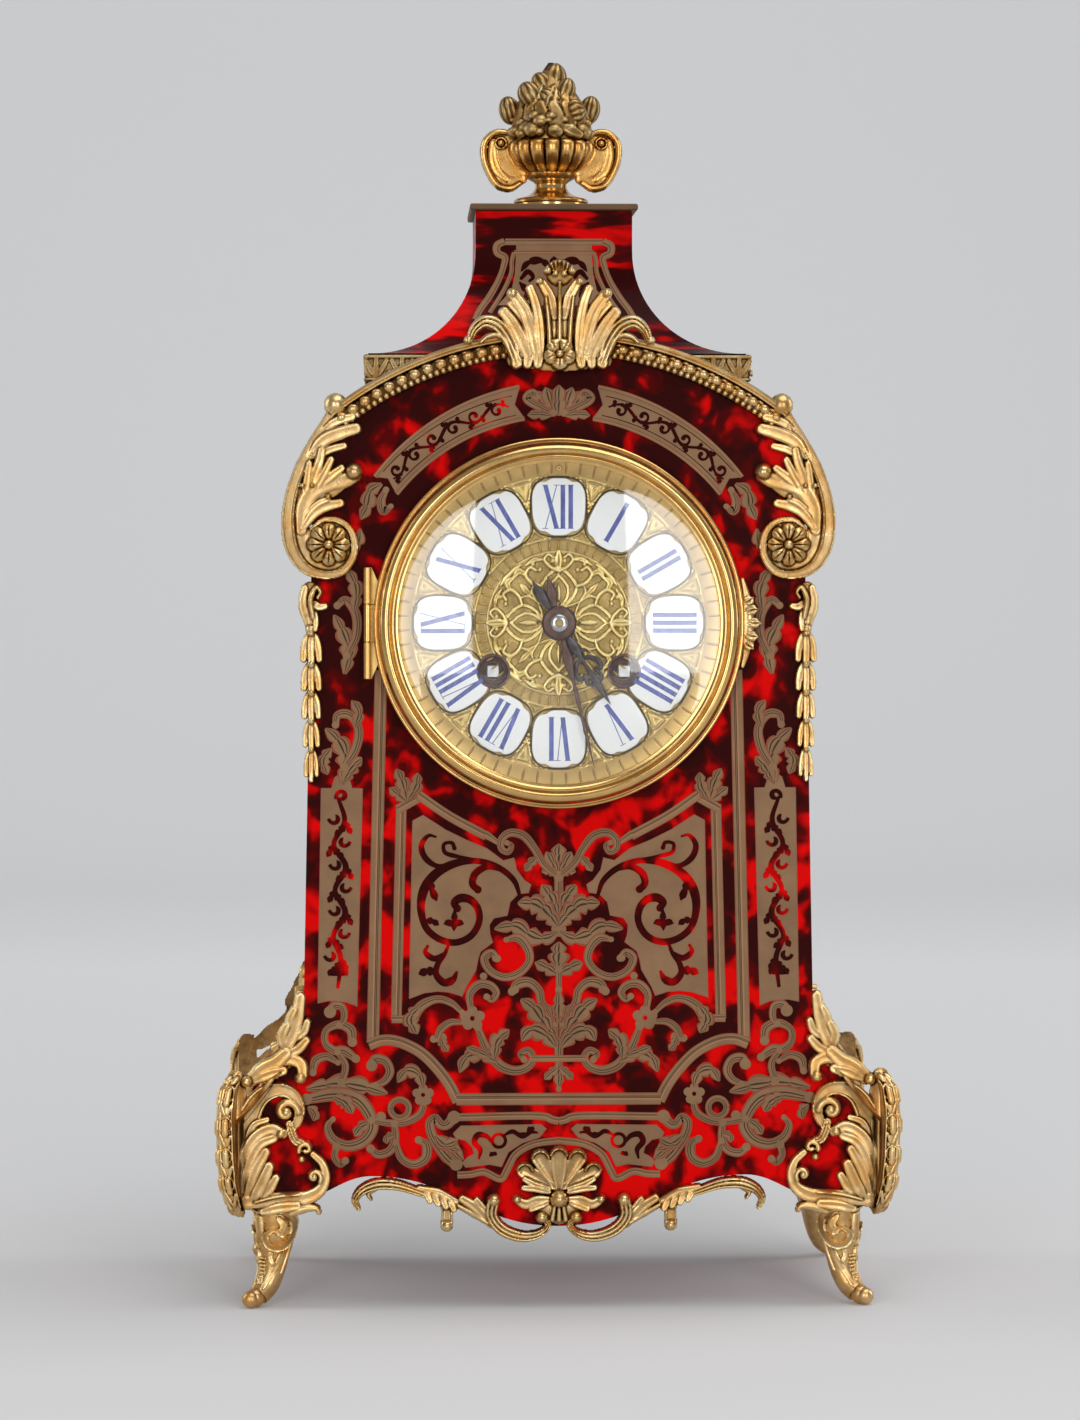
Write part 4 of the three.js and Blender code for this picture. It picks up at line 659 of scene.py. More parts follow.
class Relief:
    """A height field on a grid in the front view; metal stands where the height is above zero.

    Strokes, domes and rosettes are placed from origin, and the grid runs from low to high.
    """

    def __init__(self, low, high, step, origin=(0.0, 0.0)):
        self.origin = np.array(origin)
        self.x = np.arange(low[0], high[0] + step, step)
        self.z = np.arange(low[1], high[1] + step, step)
        self.step = step
        self.gx, self.gz = np.meshgrid(self.x, self.z, indexing="ij")
        self.h = np.full(self.gx.shape, -1.0)

    def window(self, low, high):
        i0, i1 = np.searchsorted(self.x, (low[0], high[0]))
        j0, j1 = np.searchsorted(self.z, (low[1], high[1]))
        return slice(max(i0 - 1, 0), i1 + 1), slice(max(j0 - 1, 0), j1 + 1)

    def stroke(self, path, width, height, section=round_section, lobes=0, lobe_depth=0.3, steps=8,
               raw=False):
        """Chases a line: width is its half width and height its rise, as one value or a list along it."""
        line = np.asarray(path, float) + self.origin
        line = line if raw else catmull(line, steps)
        spans = np.diff(line, axis=0)
        lengths = np.linalg.norm(spans, axis=1) + 1e-9
        ends = np.concatenate([[0], np.cumsum(lengths)])
        widths = np.atleast_1d(np.asarray(width, float))
        heights = np.atleast_1d(np.asarray(height, float))
        reach = widths.max() + self.step
        win = self.window(line.min(0) - reach, line.max(0) + reach)
        px, pz = self.gx[win], self.gz[win]
        best = np.full(px.shape, 1e9)
        along = np.zeros(px.shape)
        side = np.ones(px.shape)
        for start, span, length, begun in zip(line, spans, lengths, ends):
            dx, dz = px - start[0], pz - start[1]
            share = np.clip((dx * span[0] + dz * span[1]) / length ** 2, 0, 1)
            gap = (dx - share * span[0]) ** 2 + (dz - share * span[1]) ** 2
            nearer = gap < best
            best = np.where(nearer, gap, best)
            along = np.where(nearer, (begun + share * length) / ends[-1], along)
            side = np.where(nearer, np.sign(span[0] * dz - span[1] * dx), side)
        half = np.interp(along, np.linspace(0, 1, len(widths)), widths)
        rise = np.interp(along, np.linspace(0, 1, len(heights)), heights)
        if lobes:
            half = half * (1 - lobe_depth * np.abs(np.cos(np.pi * lobes * along)) ** 1.5)
        across = side * np.sqrt(best) / np.maximum(half, 1e-6)
        level = np.where(np.abs(across) <= 1, rise * section(np.clip(across, -1, 1), along), -1.0)
        self.h[win] = np.maximum(self.h[win], level)
        return self

    def leaf(self, path, width, height, lobes=4, lobe_depth=0.35):
        """An acanthus leaf: swells, then narrows to its tip."""
        swell = np.array([0.35, 0.8, 1.0, 0.95, 0.7, 0.2]) * width
        rise = np.array([0.6, 0.9, 1.0, 1.0, 1.05, 0.9]) * height
        return self.stroke(path, swell, rise, leaf_section, lobes, lobe_depth)

    def finger(self, path, width, height):
        """One blunt lobe of an acanthus leaf, rising to its tip."""
        swell = np.array([0.6, 0.95, 1.0, 0.95, 0.8]) * width
        rise = np.array([0.62, 0.85, 0.95, 1.05, 1.12]) * height
        return self.stroke(path, swell, rise, finger_section)

    def fingers(self, *rows):
        """Several fingers, each (path, width, height)."""
        for row in rows:
            self.finger(*row)

    def dome(self, centre, radius, height, power=0.5):
        centre = self.origin + centre
        win = self.window(np.subtract(centre, radius), np.add(centre, radius))
        gap = ((self.gx[win] - centre[0]) ** 2 + (self.gz[win] - centre[1]) ** 2) / radius ** 2
        level = np.where(gap <= 1, height * np.clip(1 - gap, 0, 1) ** power, -1.0)
        self.h[win] = np.maximum(self.h[win], level)
        return self

    def rosette(self, centre, radius, base, height, petals, turn=0.0):
        """A flower: a floor disc, split petals and a button."""
        centre = self.origin + centre
        win = self.window(np.subtract(centre, radius), np.add(centre, radius))
        dx, dz = self.gx[win] - centre[0], self.gz[win] - centre[1]
        r = np.hypot(dx, dz) / radius
        angle = np.arctan2(dz, dx) + turn
        lobe = np.abs(np.cos(angle * petals / 2)) ** 0.5
        edge = 0.72 + 0.28 * lobe
        petal = height * np.clip(1 - ((r - 0.58) / 0.46) ** 2, 0, 1) * (0.45 + 0.55 * lobe)
        vein = 1 - 0.25 * bell(np.abs(np.cos(angle * petals / 2)), 1, 0.02)
        button = height * 1.05 * np.clip(1 - (r / 0.26) ** 2, 0, 1) ** 0.5
        level = np.where(r <= edge, base + np.maximum(petal * vein, button), -1.0)
        self.h[win] = np.maximum(self.h[win], level)
        return self

    def mirror(self):
        """Takes the higher of the field and its left-right mirror, for a grid centred on X zero."""
        self.h = np.maximum(self.h, self.h[::-1])
        return self

    def cavity(self, reach=1.6):
        """How far each point lies under its surroundings, about 0.4 on a plain face."""
        smooth = np.maximum(self.h, 0.0)
        passes = max(1, int(reach / self.step / 2))
        for _ in range(passes):
            padded = np.pad(smooth, 1, mode="edge")
            smooth = (padded[:-2, 1:-1] + padded[2:, 1:-1] + padded[1:-1, :-2] + padded[1:-1, 2:]
                      + 2 * padded[1:-1, 1:-1]) / 6
            padded = np.pad(smooth, 1, mode="edge")
            smooth = (padded[:-2, :-2] + padded[2:, 2:] + padded[2:, :-2] + padded[:-2, 2:]) / 4
        return np.clip(0.42 + 1.05 * (smooth - self.h), 0, 1)

    def solid(self, place, base):
        """Vertices, faces and cavity of the cut-out metal; place maps (x, z, rise above the back)."""
        cols = self.h.shape[1]
        index = np.arange(self.h.size).reshape(self.h.shape)
        a, b, c, d = index[:-1, :-1], index[1:, :-1], index[1:, 1:], index[:-1, 1:]
        cells = np.concatenate([np.stack([a, b, c], -1).reshape(-1, 3),
                                np.stack([a, c, d], -1).reshape(-1, 3)])
        level = self.h.ravel()
        shade = self.cavity().ravel()
        inside = level[cells] > 0
        count = inside.sum(1)
        top = [list(t) for t in cells[count == 3]]
        points = {}
        extra = []

        def cross(i, j):
            key = (i, j) if i < j else (j, i)
            if key not in points:
                share = level[i] / (level[i] - level[j])
                p = (self.x[i // cols], self.z[i % cols])
                q = (self.x[j // cols], self.z[j % cols])
                points[key] = level.size + len(extra)
                extra.append((p[0] + (q[0] - p[0]) * share, p[1] + (q[1] - p[1]) * share, 0.0,
                              min(1.0, shade[i] + 0.15)))
            return points[key]

        border = []
        for cell, ins in zip(cells[(count > 0) & (count < 3)], inside[(count > 0) & (count < 3)]):
            k = int(np.argmax(ins)) if ins.sum() == 1 else int(np.argmin(ins))
            p, q, r = int(cell[k]), int(cell[(k + 1) % 3]), int(cell[(k + 2) % 3])
            if ins.sum() == 1:
                u, v = cross(p, q), cross(p, r)
                top.append([p, u, v])
                border.append((u, v))
            else:
                u, v = cross(q, p), cross(r, p)
                top.append([u, q, r])
                top.append([u, r, v])
                border.append((v, u))
        grid = np.stack([self.gx.ravel(), self.gz.ravel(), level, shade], axis=1)
        rows = np.vstack([grid, np.array(extra).reshape(-1, 4)])
        used = np.unique(np.array(top).ravel())
        slot_of = np.full(len(rows), -1)
        slot_of[used] = np.arange(len(used))
        rows = rows[used]
        front = np.array([place(x, z, base + h) for x, z, h, _ in rows])
        rear = np.array([place(x, z, 0.0) for x, z, _, _ in rows])
        count = len(rows)
        faces = [[slot_of[i] for i in face] for face in top]
        faces += [[f + count for f in reversed(face)] for face in faces]
        faces += [[slot_of[v], slot_of[u], slot_of[u] + count, slot_of[v] + count] for u, v in border]
        return np.vstack([front, rear]), faces, np.concatenate([rows[:, 3], np.full(count, 0.7)])


def on_front(back_depth, side=1):
    """Places relief on the front of the case, the right-hand drawing mirrored when side is -1."""
    return lambda x, z, rise: (side * x, at_depth(back_depth) - rise, z)


def flipped(part):
    """The same part with its faces turned over, for mirrored pieces."""
    return (part[0], [list(reversed(face)) for face in part[1]], *part[2:])


# Case: boards, walls and roof

FLARE_LOW = 66.0
FLARE_HIGH = 106.0
HALF_FOOT = mm_box("front_panel")[1][0]
HALF_HIP = 89.4
HALF_WAIST = 85.8
WAIST_Z = 248.0
ARCH_RADIUS = 126.0
ARCH_TOP = mm_box("front_panel")[1][2]
ARCH_Z = ARCH_TOP - ARCH_RADIUS
CASE_LOW = mm_box("back_panel")[0][2]
APRON_LOW = mm_box("front_panel")[0][2]
DECK_Z = mm_box("back_panel")[1][2]
BOARD = 8.0
HOLE_RADIUS = 57.0
CASE_DEPTH = BACK_Y - FACE_Y


def case_side(z):
    """Half width of the case front at a height."""
    if z <= FLARE_LOW:
        return HALF_FOOT
    if z < FLARE_HIGH:
        share = (z - FLARE_LOW) / (FLARE_HIGH - FLARE_LOW)
        return HALF_HIP + (HALF_FOOT - HALF_HIP) * (1 - math.sin(share * math.pi / 2))
    return HALF_HIP + (HALF_WAIST - HALF_HIP) * min((z - FLARE_HIGH) / (WAIST_Z - FLARE_HIGH), 1.0)


def bezier(p, q, r, s, steps):
    t = np.linspace(0, 1, steps + 1)[:, None]
    p, q, r, s = (np.array(v, float) for v in (p, q, r, s))
    return (1 - t) ** 3 * p + 3 * (1 - t) ** 2 * t * q + 3 * (1 - t) * t ** 2 * r + t ** 3 * s


def upper_side(inset, top, bottom=None):
    """Right-hand edge from the foot up the side and round the arch to a height."""
    bottom = CASE_LOW if bottom is None else bottom
    points = [(HALF_FOOT - inset, bottom)]
    points += [(case_side(z) - inset, z) for z in np.linspace(FLARE_LOW, FLARE_HIGH, 25)]
    radius = ARCH_RADIUS - inset
    start = math.acos((HALF_WAIST - inset) / radius)
    end = math.asin(min((top - ARCH_Z) / radius, 1.0))
    points += [(radius * math.cos(a), ARCH_Z + radius * math.sin(a)) for a in np.linspace(start, end, 49)]
    return points


def both_sides(right):
    """Closes a right-hand edge with its mirror."""
    return list(right) + [(-x, z) for x, z in reversed(right)]


ARCH_PEAK = 66.0
ARCH_END = 84.0
ARCH_RISE = CASE_LOW + 6.5


def foot_arch():
    """Lower edge of the case from the top of its shallow arch down to the foot."""
    fall = bezier((ARCH_PEAK, ARCH_RISE), (ARCH_PEAK + 7, ARCH_RISE), (ARCH_END - 5, CASE_LOW + 2),
                  (ARCH_END, CASE_LOW), 12)
    return [tuple(p) for p in fall]


def apron_edge():
    """Lower edge of the front board from its middle drop out to the foot."""
    dip = bezier((0, APRON_LOW), (ARCH_PEAK * 0.45, APRON_LOW), (ARCH_PEAK * 0.55, ARCH_RISE),
                 (ARCH_PEAK, ARCH_RISE), 28)
    return [tuple(p) for p in dip[1:]] + foot_arch()[1:]


def dial_hole():
    return circle((0.0, DIAL_Z), HOLE_RADIUS, 120)


def build_case():
    right = apron_edge() + upper_side(0.0, ARCH_TOP)[:-1]
    outline = [(0.0, APRON_LOW)] + right + [(0.0, ARCH_TOP)] + [(-x, z) for x, z in reversed(right)]
    board = add_piece("front_board", *slab([outline, dial_hole()], 0.0, BOARD), "shell", "case",
                      "tortoiseshell_case", ["front_panel"], smooth=40)
    board.data.materials.append(materials["wood"])
    for face in board.data.polygons:
        face.material_index = 1 if face.normal.y > 0.5 else 0
    back = both_sides(upper_side(0.0, DECK_Z))
    add_piece("back_board", *slab([back, dial_hole()], CASE_DEPTH - BOARD, CASE_DEPTH), "wood", "case",
              "tortoiseshell_case", ["back_panel"], smooth=40)
    gap, wall = 0.25, 7.0
    outer = both_sides(foot_arch() + upper_side(0.5, DECK_Z))
    inner = both_sides(upper_side(0.5 + wall, DECK_Z - wall, CASE_LOW + 2 * wall))
    walls = add_piece("case_walls", *slab([outer, inner], BOARD + gap, CASE_DEPTH - BOARD - gap), "shell",
                      "case", "tortoiseshell_case", ["carcass"], smooth=40)
    walls.data.materials.append(materials["wood"])
    for face in walls.data.polygons:
        upright = abs(face.normal.x) > 0.3
        above = face.center.z - DIAL_Z * MM
        outward = face.normal.x * face.center.x if upright else face.normal.z * above
        face.material_index = 1 if outward < 0 else 0


ROOF_LOW, ROOF_HIGH = mm_box("roof_shell")
ROOF_SCOOP = 38.5
ROOF_FRONT = ROOF_LOW[1] - FACE_Y


def roof_inset(z):
    """How far the bell-shaped roof draws in at a height."""
    up = z - ROOF_LOW[2]
    if up >= ROOF_SCOOP:
        return ROOF_SCOOP
    return ROOF_SCOOP * math.sin(math.acos(max(-1.0, 1 - up / ROOF_SCOOP)))


def on_roof(x, z, rise):
    """A point of the roof front, lifted off its surface."""
    step = 0.2
    slope = (roof_inset(z + step) - roof_inset(z)) / step
    length = math.hypot(1.0, slope)
    return (x, at_depth(ROOF_FRONT + roof_inset(z)) - rise / length, z + rise * slope / length)


def build_roof():
    angles = np.linspace(0, math.pi / 2, 25)
    heights = [ROOF_LOW[2] + ROOF_SCOOP * (1 - math.cos(a)) for a in angles] + [ROOF_HIGH[2]]
    vertices = []
    for z in heights:
        inset = roof_inset(z)
        half, front = ROOF_HIGH[0] - inset, at_depth(ROOF_FRONT + inset)
        vertices += [(-half, front, z), (half, front, z), (half, ROOF_HIGH[1], z), (-half, ROOF_HIGH[1], z)]
    faces = capped_bands(len(heights), 4)
    add_piece("roof_bell", vertices, faces, "shell_roof", "case", "tortoiseshell_case", ["roof_shell"],
              smooth=35)
    low, high = mm_box("roof_cap")
    add_piece("roof_cap_plate", *rounded_block(low, high, 0.5), "cap", "case", "tortoiseshell_case",
              ["roof_cap"], smooth=35)


def rounded_block(low, high, edge):
    """A box with chamfered upper and lower edges."""
    vertices = []
    for z, inset in ((low[2], edge), (low[2] + edge, 0), (high[2] - edge, 0), (high[2], edge)):
        vertices += [(low[0] + inset, low[1] + inset, z), (high[0] - inset, low[1] + inset, z),
                     (high[0] - inset, high[1] - inset, z), (low[0] + inset, high[1] - inset, z)]
    return np.array(vertices), capped_bands(4, 4)


# Dial, bezel and hands

GLASS_RADIUS = 58.6
PLAQUE_RADIUS = 40.7
PLAQUE_HALF = (9.6, 10.2)
WINDING = ((23, -17), (-23, -17))
WINDING_HOLE = 5.0
KEY_NODES = ("going_arbor", "strike_arbor")
KEY_WASHER = 3.1
KEY_HALF = 1.95
DIAL_FRONT = 1.25
DIAL_BACK = 1.6
DIAL_RADIUS = 54.6
HAND_HOLE = 4.4
PLAQUE_FRONT = -0.5
ROUND_STEPS = 160
GLASS_FRONT = -7.35
GLASS_BACK = -5.85
GLASS_DOME = 5.2
HINGE_X = -67.0
HINGE_DEPTH = -4.1
KNUCKLE = 1.35
KNUCKLE_HALF = 6.5
BEZEL_BACK = -2.5


def ring_tree():
    """Geometry nodes: one bead, set count times along an arc and turned to face out from its middle."""
    tree = bpy.data.node_groups.new("beads_on_arc", "GeometryNodeTree")
    inputs = (("Count", "NodeSocketInt", 12), ("Radius", "NodeSocketFloat", 10),
              ("Start", "NodeSocketFloat", 0), ("Sweep", "NodeSocketFloat", 6.28),
              ("Bead", "NodeSocketVector", (1, 1, 1)), ("Tilt", "NodeSocketFloat", 0),
              ("Finish", "NodeSocketMaterial", None))
    for label, kind, default in inputs:
        socket = tree.interface.new_socket(label, in_out="INPUT", socket_type=kind)
        if default is not None:
            socket.default_value = default
    tree.interface.new_socket("Geometry", in_out="OUTPUT", socket_type="NodeSocketGeometry")

    def make(kind):
        return tree.nodes.new(kind)

    source, target = make("NodeGroupInput"), make("NodeGroupOutput")
    line = make("GeometryNodeCurveArc")
    bead = make("GeometryNodeMeshUVSphere")
    bead.inputs["Segments"].default_value = 14
    bead.inputs["Rings"].default_value = 9
    lean = make("ShaderNodeCombineXYZ")
    shape = make("GeometryNodeTransform")
    place = make("GeometryNodeInputPosition")
    facing = make("FunctionNodeAlignRotationToVector")
    facing.axis = "X"
    facing.pivot_axis = "Z"
    repeat = make("GeometryNodeInstanceOnPoints")
    real = make("GeometryNodeRealizeInstances")
    # Each bead stores cavity 0.3, a touch lighter than a plain face on the gilt ramp: a slight painted
    # highlight.
    shade = make("GeometryNodeStoreNamedAttribute")
    shade.inputs["Name"].default_value = "cavity"
    shade.inputs["Value"].default_value = 0.3
    finish = make("GeometryNodeSetMaterial")
    links = (
        (source.outputs["Count"], line.inputs["Resolution"]),
        (source.outputs["Radius"], line.inputs["Radius"]),
        (source.outputs["Start"], line.inputs["Start Angle"]),
        (source.outputs["Sweep"], line.inputs["Sweep Angle"]),
        (source.outputs["Bead"], shape.inputs["Scale"]),
        (source.outputs["Tilt"], lean.inputs["Y"]),
        (lean.outputs["Vector"], shape.inputs["Rotation"]),
        (bead.outputs["Mesh"], shape.inputs["Geometry"]),
        (place.outputs["Position"], facing.inputs["Vector"]),
        (line.outputs["Curve"], repeat.inputs["Points"]),
        (shape.outputs["Geometry"], repeat.inputs["Instance"]),
        (facing.outputs["Rotation"], repeat.inputs["Rotation"]),
        (repeat.outputs["Instances"], real.inputs["Geometry"]),
        (real.outputs["Geometry"], shade.inputs["Geometry"]),
        (shade.outputs["Geometry"], finish.inputs["Geometry"]),
        (source.outputs["Finish"], finish.inputs["Material"]),
        (finish.outputs["Geometry"], target.inputs["Geometry"]),
    )
    for output, socket in links:
        tree.links.new(output, socket)
    return tree


def bead_ring(name, centre_z, depth, count, radius, start, sweep, bead, tilt, finish, body, slot):
    """Beads along an arc of the front view, baked to one mesh. Angles in degrees, sizes in millimetres."""
    tree = bpy.data.node_groups.get("beads_on_arc") or ring_tree()
    holder = bpy.data.objects.new(name + "_source", bpy.data.meshes.new(name + "_source"))
    bpy.context.scene.collection.objects.link(holder)
    modifier = holder.modifiers.new("beads", "NODES")
    modifier.node_group = tree
    entries = [item for item in tree.interface.items_tree if item.in_out == "INPUT"]
    identifiers = {item.name: item.identifier for item in entries}
    values = {"Count": count, "Radius": radius, "Start": math.radians(start), "Sweep": math.radians(sweep),
              "Bead": bead, "Tilt": math.radians(tilt), "Finish": materials[finish]}
    for label, value in values.items():
        modifier[identifiers[label]] = value
    view = bpy.context.evaluated_depsgraph_get()
    mesh = bpy.data.meshes.new_from_object(holder.evaluated_get(view))
    holder.modifiers.remove(modifier)
    bpy.data.objects.remove(holder)
    flat = np.zeros(len(mesh.vertices) * 3)
    mesh.vertices.foreach_get("co", flat)
    flat = flat.reshape(-1, 3)
    world = np.stack([flat[:, 0], at_depth(depth) - flat[:, 2], flat[:, 1] + centre_z], axis=1) * MM
    mesh.vertices.foreach_set("co", world.ravel())
    mesh.update()
    mesh.name = name
    return finish_piece(name, mesh, finish, body, slot)


def build_bezel():
    profile = [(65, -2.5), (65, -4.3), (64.75, -4.8), (64.35, -5), (64, -4.9), (63.8, -4.6), (63.5, -4.7),
               (63.4, -5.4), (63.3, -6.3), (62.9, -7.4), (62.3, -8.35), (61.5, -9.1), (60.7, -9.45),
               (60, -9.4), (59.5, -9.05), (59.25, -8.5), (59, -8.3), (58.75, -8.55), (58.4, -8.85),
               (58, -8.9), (57.6, -8.7), (57.35, -8.3), (57, -8.15), (56.5, -8.15), (56.2, -8),
               (56.2, -7.6), (58.85, -7.6), (58.85, -2.5)]
    ring = lathe(profile, ROUND_STEPS, about_dial)
    knuckle = hinge_barrel(HINGE_X, HINGE_DEPTH, KNUCKLE, -KNUCKLE_HALF, KNUCKLE_HALF)
    web = slab([dial_block(HINGE_X - 0.2, HINGE_X + 4.0, -KNUCKLE_HALF, KNUCKLE_HALF)], -3.6, BEZEL_BACK)
    vertices, faces, _ = join_parts([ring, knuckle, web])
    add_piece("bezel_frame", vertices, faces, "bezel", "bezel", "gilt_dial", ["bezel_ring"], smooth=38)
    thumb = Relief((62, -17), (73, 17), 0.22)
    thumb.stroke([(64.3, 15.2), (65.6, 10), (66.3, 0), (65.6, -10), (64.3, -15.2)],
                 [0.7, 1.6, 2.4, 1.6, 0.7], [0.5, 0.9, 1.2, 0.9, 0.5])
    for z, reach in ((0, 70.6), (4.6, 69.6), (-4.6, 69.6), (8.6, 67.9), (-8.6, 67.9)):
        thumb.leaf([(65, z * 0.8), (67.5, z), (reach, z * 1.04)], 2.5, 1.6, 2, 0.2)
    part = thumb.solid(lambda x, z, rise: (x, at_depth(BEZEL_BACK) - rise, z + DIAL_Z), 1.2)
    add_piece("bezel_thumb_catch", *part[:2], "gilt", "bezel", "gilt_dial", cavity=part[2])
    shares = [k / 16 for k in range(1, 17)]
    outer = [(55.5 * share, GLASS_FRONT - GLASS_DOME * (1 - share ** 2)) for share in shares]
    inner = [(55.1 * share, GLASS_BACK - GLASS_DOME * (1 - share ** 2)) for share in reversed(shares)]
    profile = outer + [(GLASS_RADIUS, GLASS_FRONT), (GLASS_RADIUS, GLASS_BACK)] + inner
    glass = lathe(profile, ROUND_STEPS, about_dial, closed=False)
    add_piece("bezel_crystal", *glass, "glass", "bezel", "bezel_glass", ["bezel_glass"], smooth=40)


def dial_block(left, right, low, high):
    """Corners of a rectangle, heights from the dial axis."""
    return [(left, DIAL_Z + low), (right, DIAL_Z + low), (right, DIAL_Z + high), (left, DIAL_Z + high)]


def hinge_barrel(x, depth, radius, low, high, sides=20):
    """An upright hinge knuckle with softened ends, heights from the dial axis."""
    soft = 0.25
    profile = [(0.01, low), (radius - soft, low), (radius, low + soft), (radius, high - soft),
               (radius - soft, high), (0.01, high)]
    return lathe(profile, sides, lambda a, b, up: (x + a, at_depth(depth) + b, DIAL_Z + up), closed=False)


def build_dial_ring(sizes):
    profile = [(62, -0.25), (62, -1.9), (61.7, -2.25), (57, -2.25), (51.6, 0.3), (51.6, 1), (55.2, -0.5),
               (55.2, 8), (56.6, 8), (56.6, -0.25)]
    ring = lathe(profile, ROUND_STEPS, about_dial)
    parts = [ring]
    for side in (0, 180):
        angles = np.radians(np.linspace(side - 7, side + 7, 7))
        edge = [(56.5 * math.cos(a), DIAL_Z + 56.5 * math.sin(a)) for a in angles]
        edge += [(55.3 * math.cos(a), DIAL_Z + 55.3 * math.sin(a)) for a in reversed(angles)]
        parts.append(slab([edge], 6.0, 109.7))
    for low, high in ((-19.5, -6.75), (6.75, 19.5)):
        parts.append(hinge_barrel(HINGE_X, HINGE_DEPTH, KNUCKLE, low, high))
        near, far = (low, high) if low > 0 else (high, low)
        leaf = [(-67.8, near), (-60.5, near), (-60.5, near * 1.2), (-65.6, far), (-67.8, far)]
        parts.append(slab([[(x, DIAL_Z + z) for x, z in leaf]], -2.25, -0.3))
    parts.append(hinge_barrel(HINGE_X - 0.2, HINGE_DEPTH, 0.9, -19.0, 19.0, 12))
    screw = [(0.4, 0.5), (1.15, 0.5), (1.15, -1.5), (0.85, -1.75), (0.4, -1.75)]
    parts.append(lathe(screw, 20, lambda p, q, d: about_dial(p, 54.2 + q, d)))
    vertices, faces, _ = join_parts(parts)
    add_piece("dial_surround", vertices, faces, "dial_ring", "case", "gilt_dial", ["dial_ring"], smooth=38)
    ribs = (("outer", -1.15, sizes.outer_ribs, 54.4, 0.5, 2.3, -25.3),
            ("inner", 0.9, sizes.inner_ribs, 27.2, 0, 1.7, 0))
    for word, depth, count, radius, shift, length, tilt in ribs:
        step = 360.0 / count
        bead_ring(f"dial_{word}_ribs", DIAL_Z, depth, count, radius, 90 + shift * step, 360.0 - step,
                  (length, 0.42, 0.6), tilt, "dial_ring", "case", "gilt_dial")


def plaque_edge(steps):
    """Outline of an enamel plaque about its own middle: a cushion with waved ends."""
    angles = np.linspace(0, 2 * np.pi, steps, endpoint=False)
    c, s = np.cos(angles), np.sin(angles)
    reach = (np.abs(c) ** 3 + np.abs(s) ** 3) ** (-1 / 3)
    x, z = c * reach * PLAQUE_HALF[0], s * reach * PLAQUE_HALF[1]
    taper = 1.0 + 0.045 * z / PLAQUE_HALF[1]
    wave = np.where(z < 0, 0.85 * bell(np.abs(x), 5.0, 1.6), 0.8 * bell(np.abs(x), 4.7, 1.4))
    return np.stack([x * taper * 0.97, z * 0.985 - np.sign(z) * wave], axis=1)


def to_hour(x, z, hour):
    """Turns a point drawn at twelve to its hour."""
    turn = math.radians(30 * hour)
    return x * math.cos(turn) + z * math.sin(turn), z * math.cos(turn) - x * math.sin(turn)


def plaque_rise(x, z):
    """Depth of the enamel face, domed about the plaque's middle."""
    swell = max(0.0, 1 - (x / PLAQUE_HALF[0]) ** 2) * max(0.0, 1 - (z / PLAQUE_HALF[1]) ** 2)
    return PLAQUE_FRONT + 0.42 * (1 - swell ** 0.6)


NUMERALS = ("I", "II", "III", "IIII", "V", "VI", "VII", "VIII", "IX", "X", "XI", "XII")
GLYPH_WIDTH = {"I": 2.75, "V": 5.2, "X": 5.6}
NUMERAL_HEIGHT = 15.2
NUMERAL_WIDTH = 12.6
THICK, THIN = 1.6, 0.3
SERIF_REACH, SERIF_HALF = 0.25, 0.11
PAINT_LIFT = 0.035


def numeral_strokes(text):
    """Straight strokes (x0, z0, x1, z1, half width) of a numeral, centred on its plaque."""
    total = sum(GLYPH_WIDTH[g] for g in text)
    fit = min(1.0, NUMERAL_WIDTH / total)
    half = NUMERAL_HEIGHT / 2
    left = -total * fit / 2
    strokes = []
    for glyph in text:
        wide = GLYPH_WIDTH[glyph] * fit
        mid = left + wide / 2
        thick, thin = THICK * fit ** 0.5 / 2, THIN / 2
        reach = wide / 2 - thick
        if glyph == "I":
            strokes.append((mid, -half, mid, half, thick))
            serifs = [(mid, half), (mid, -half)]
        elif glyph == "V":
            strokes.append((mid - reach, half, mid, -half, thick))
            strokes.append((mid + reach, half, mid + 0.2, -half, thin))
            serifs = [(mid - reach, half), (mid + reach, half)]
        else:
            strokes.append((mid - reach, half, mid + reach, -half, thick))
            strokes.append((mid + reach, half, mid - reach, -half, thin))
            serifs = [(mid - reach, half), (mid + reach, half), (mid - reach, -half), (mid + reach, -half)]
        for x, z in serifs:
            strokes.append((x - thick - SERIF_REACH, z, x + thick + SERIF_REACH, z, SERIF_HALF))
        left += wide
    return strokes


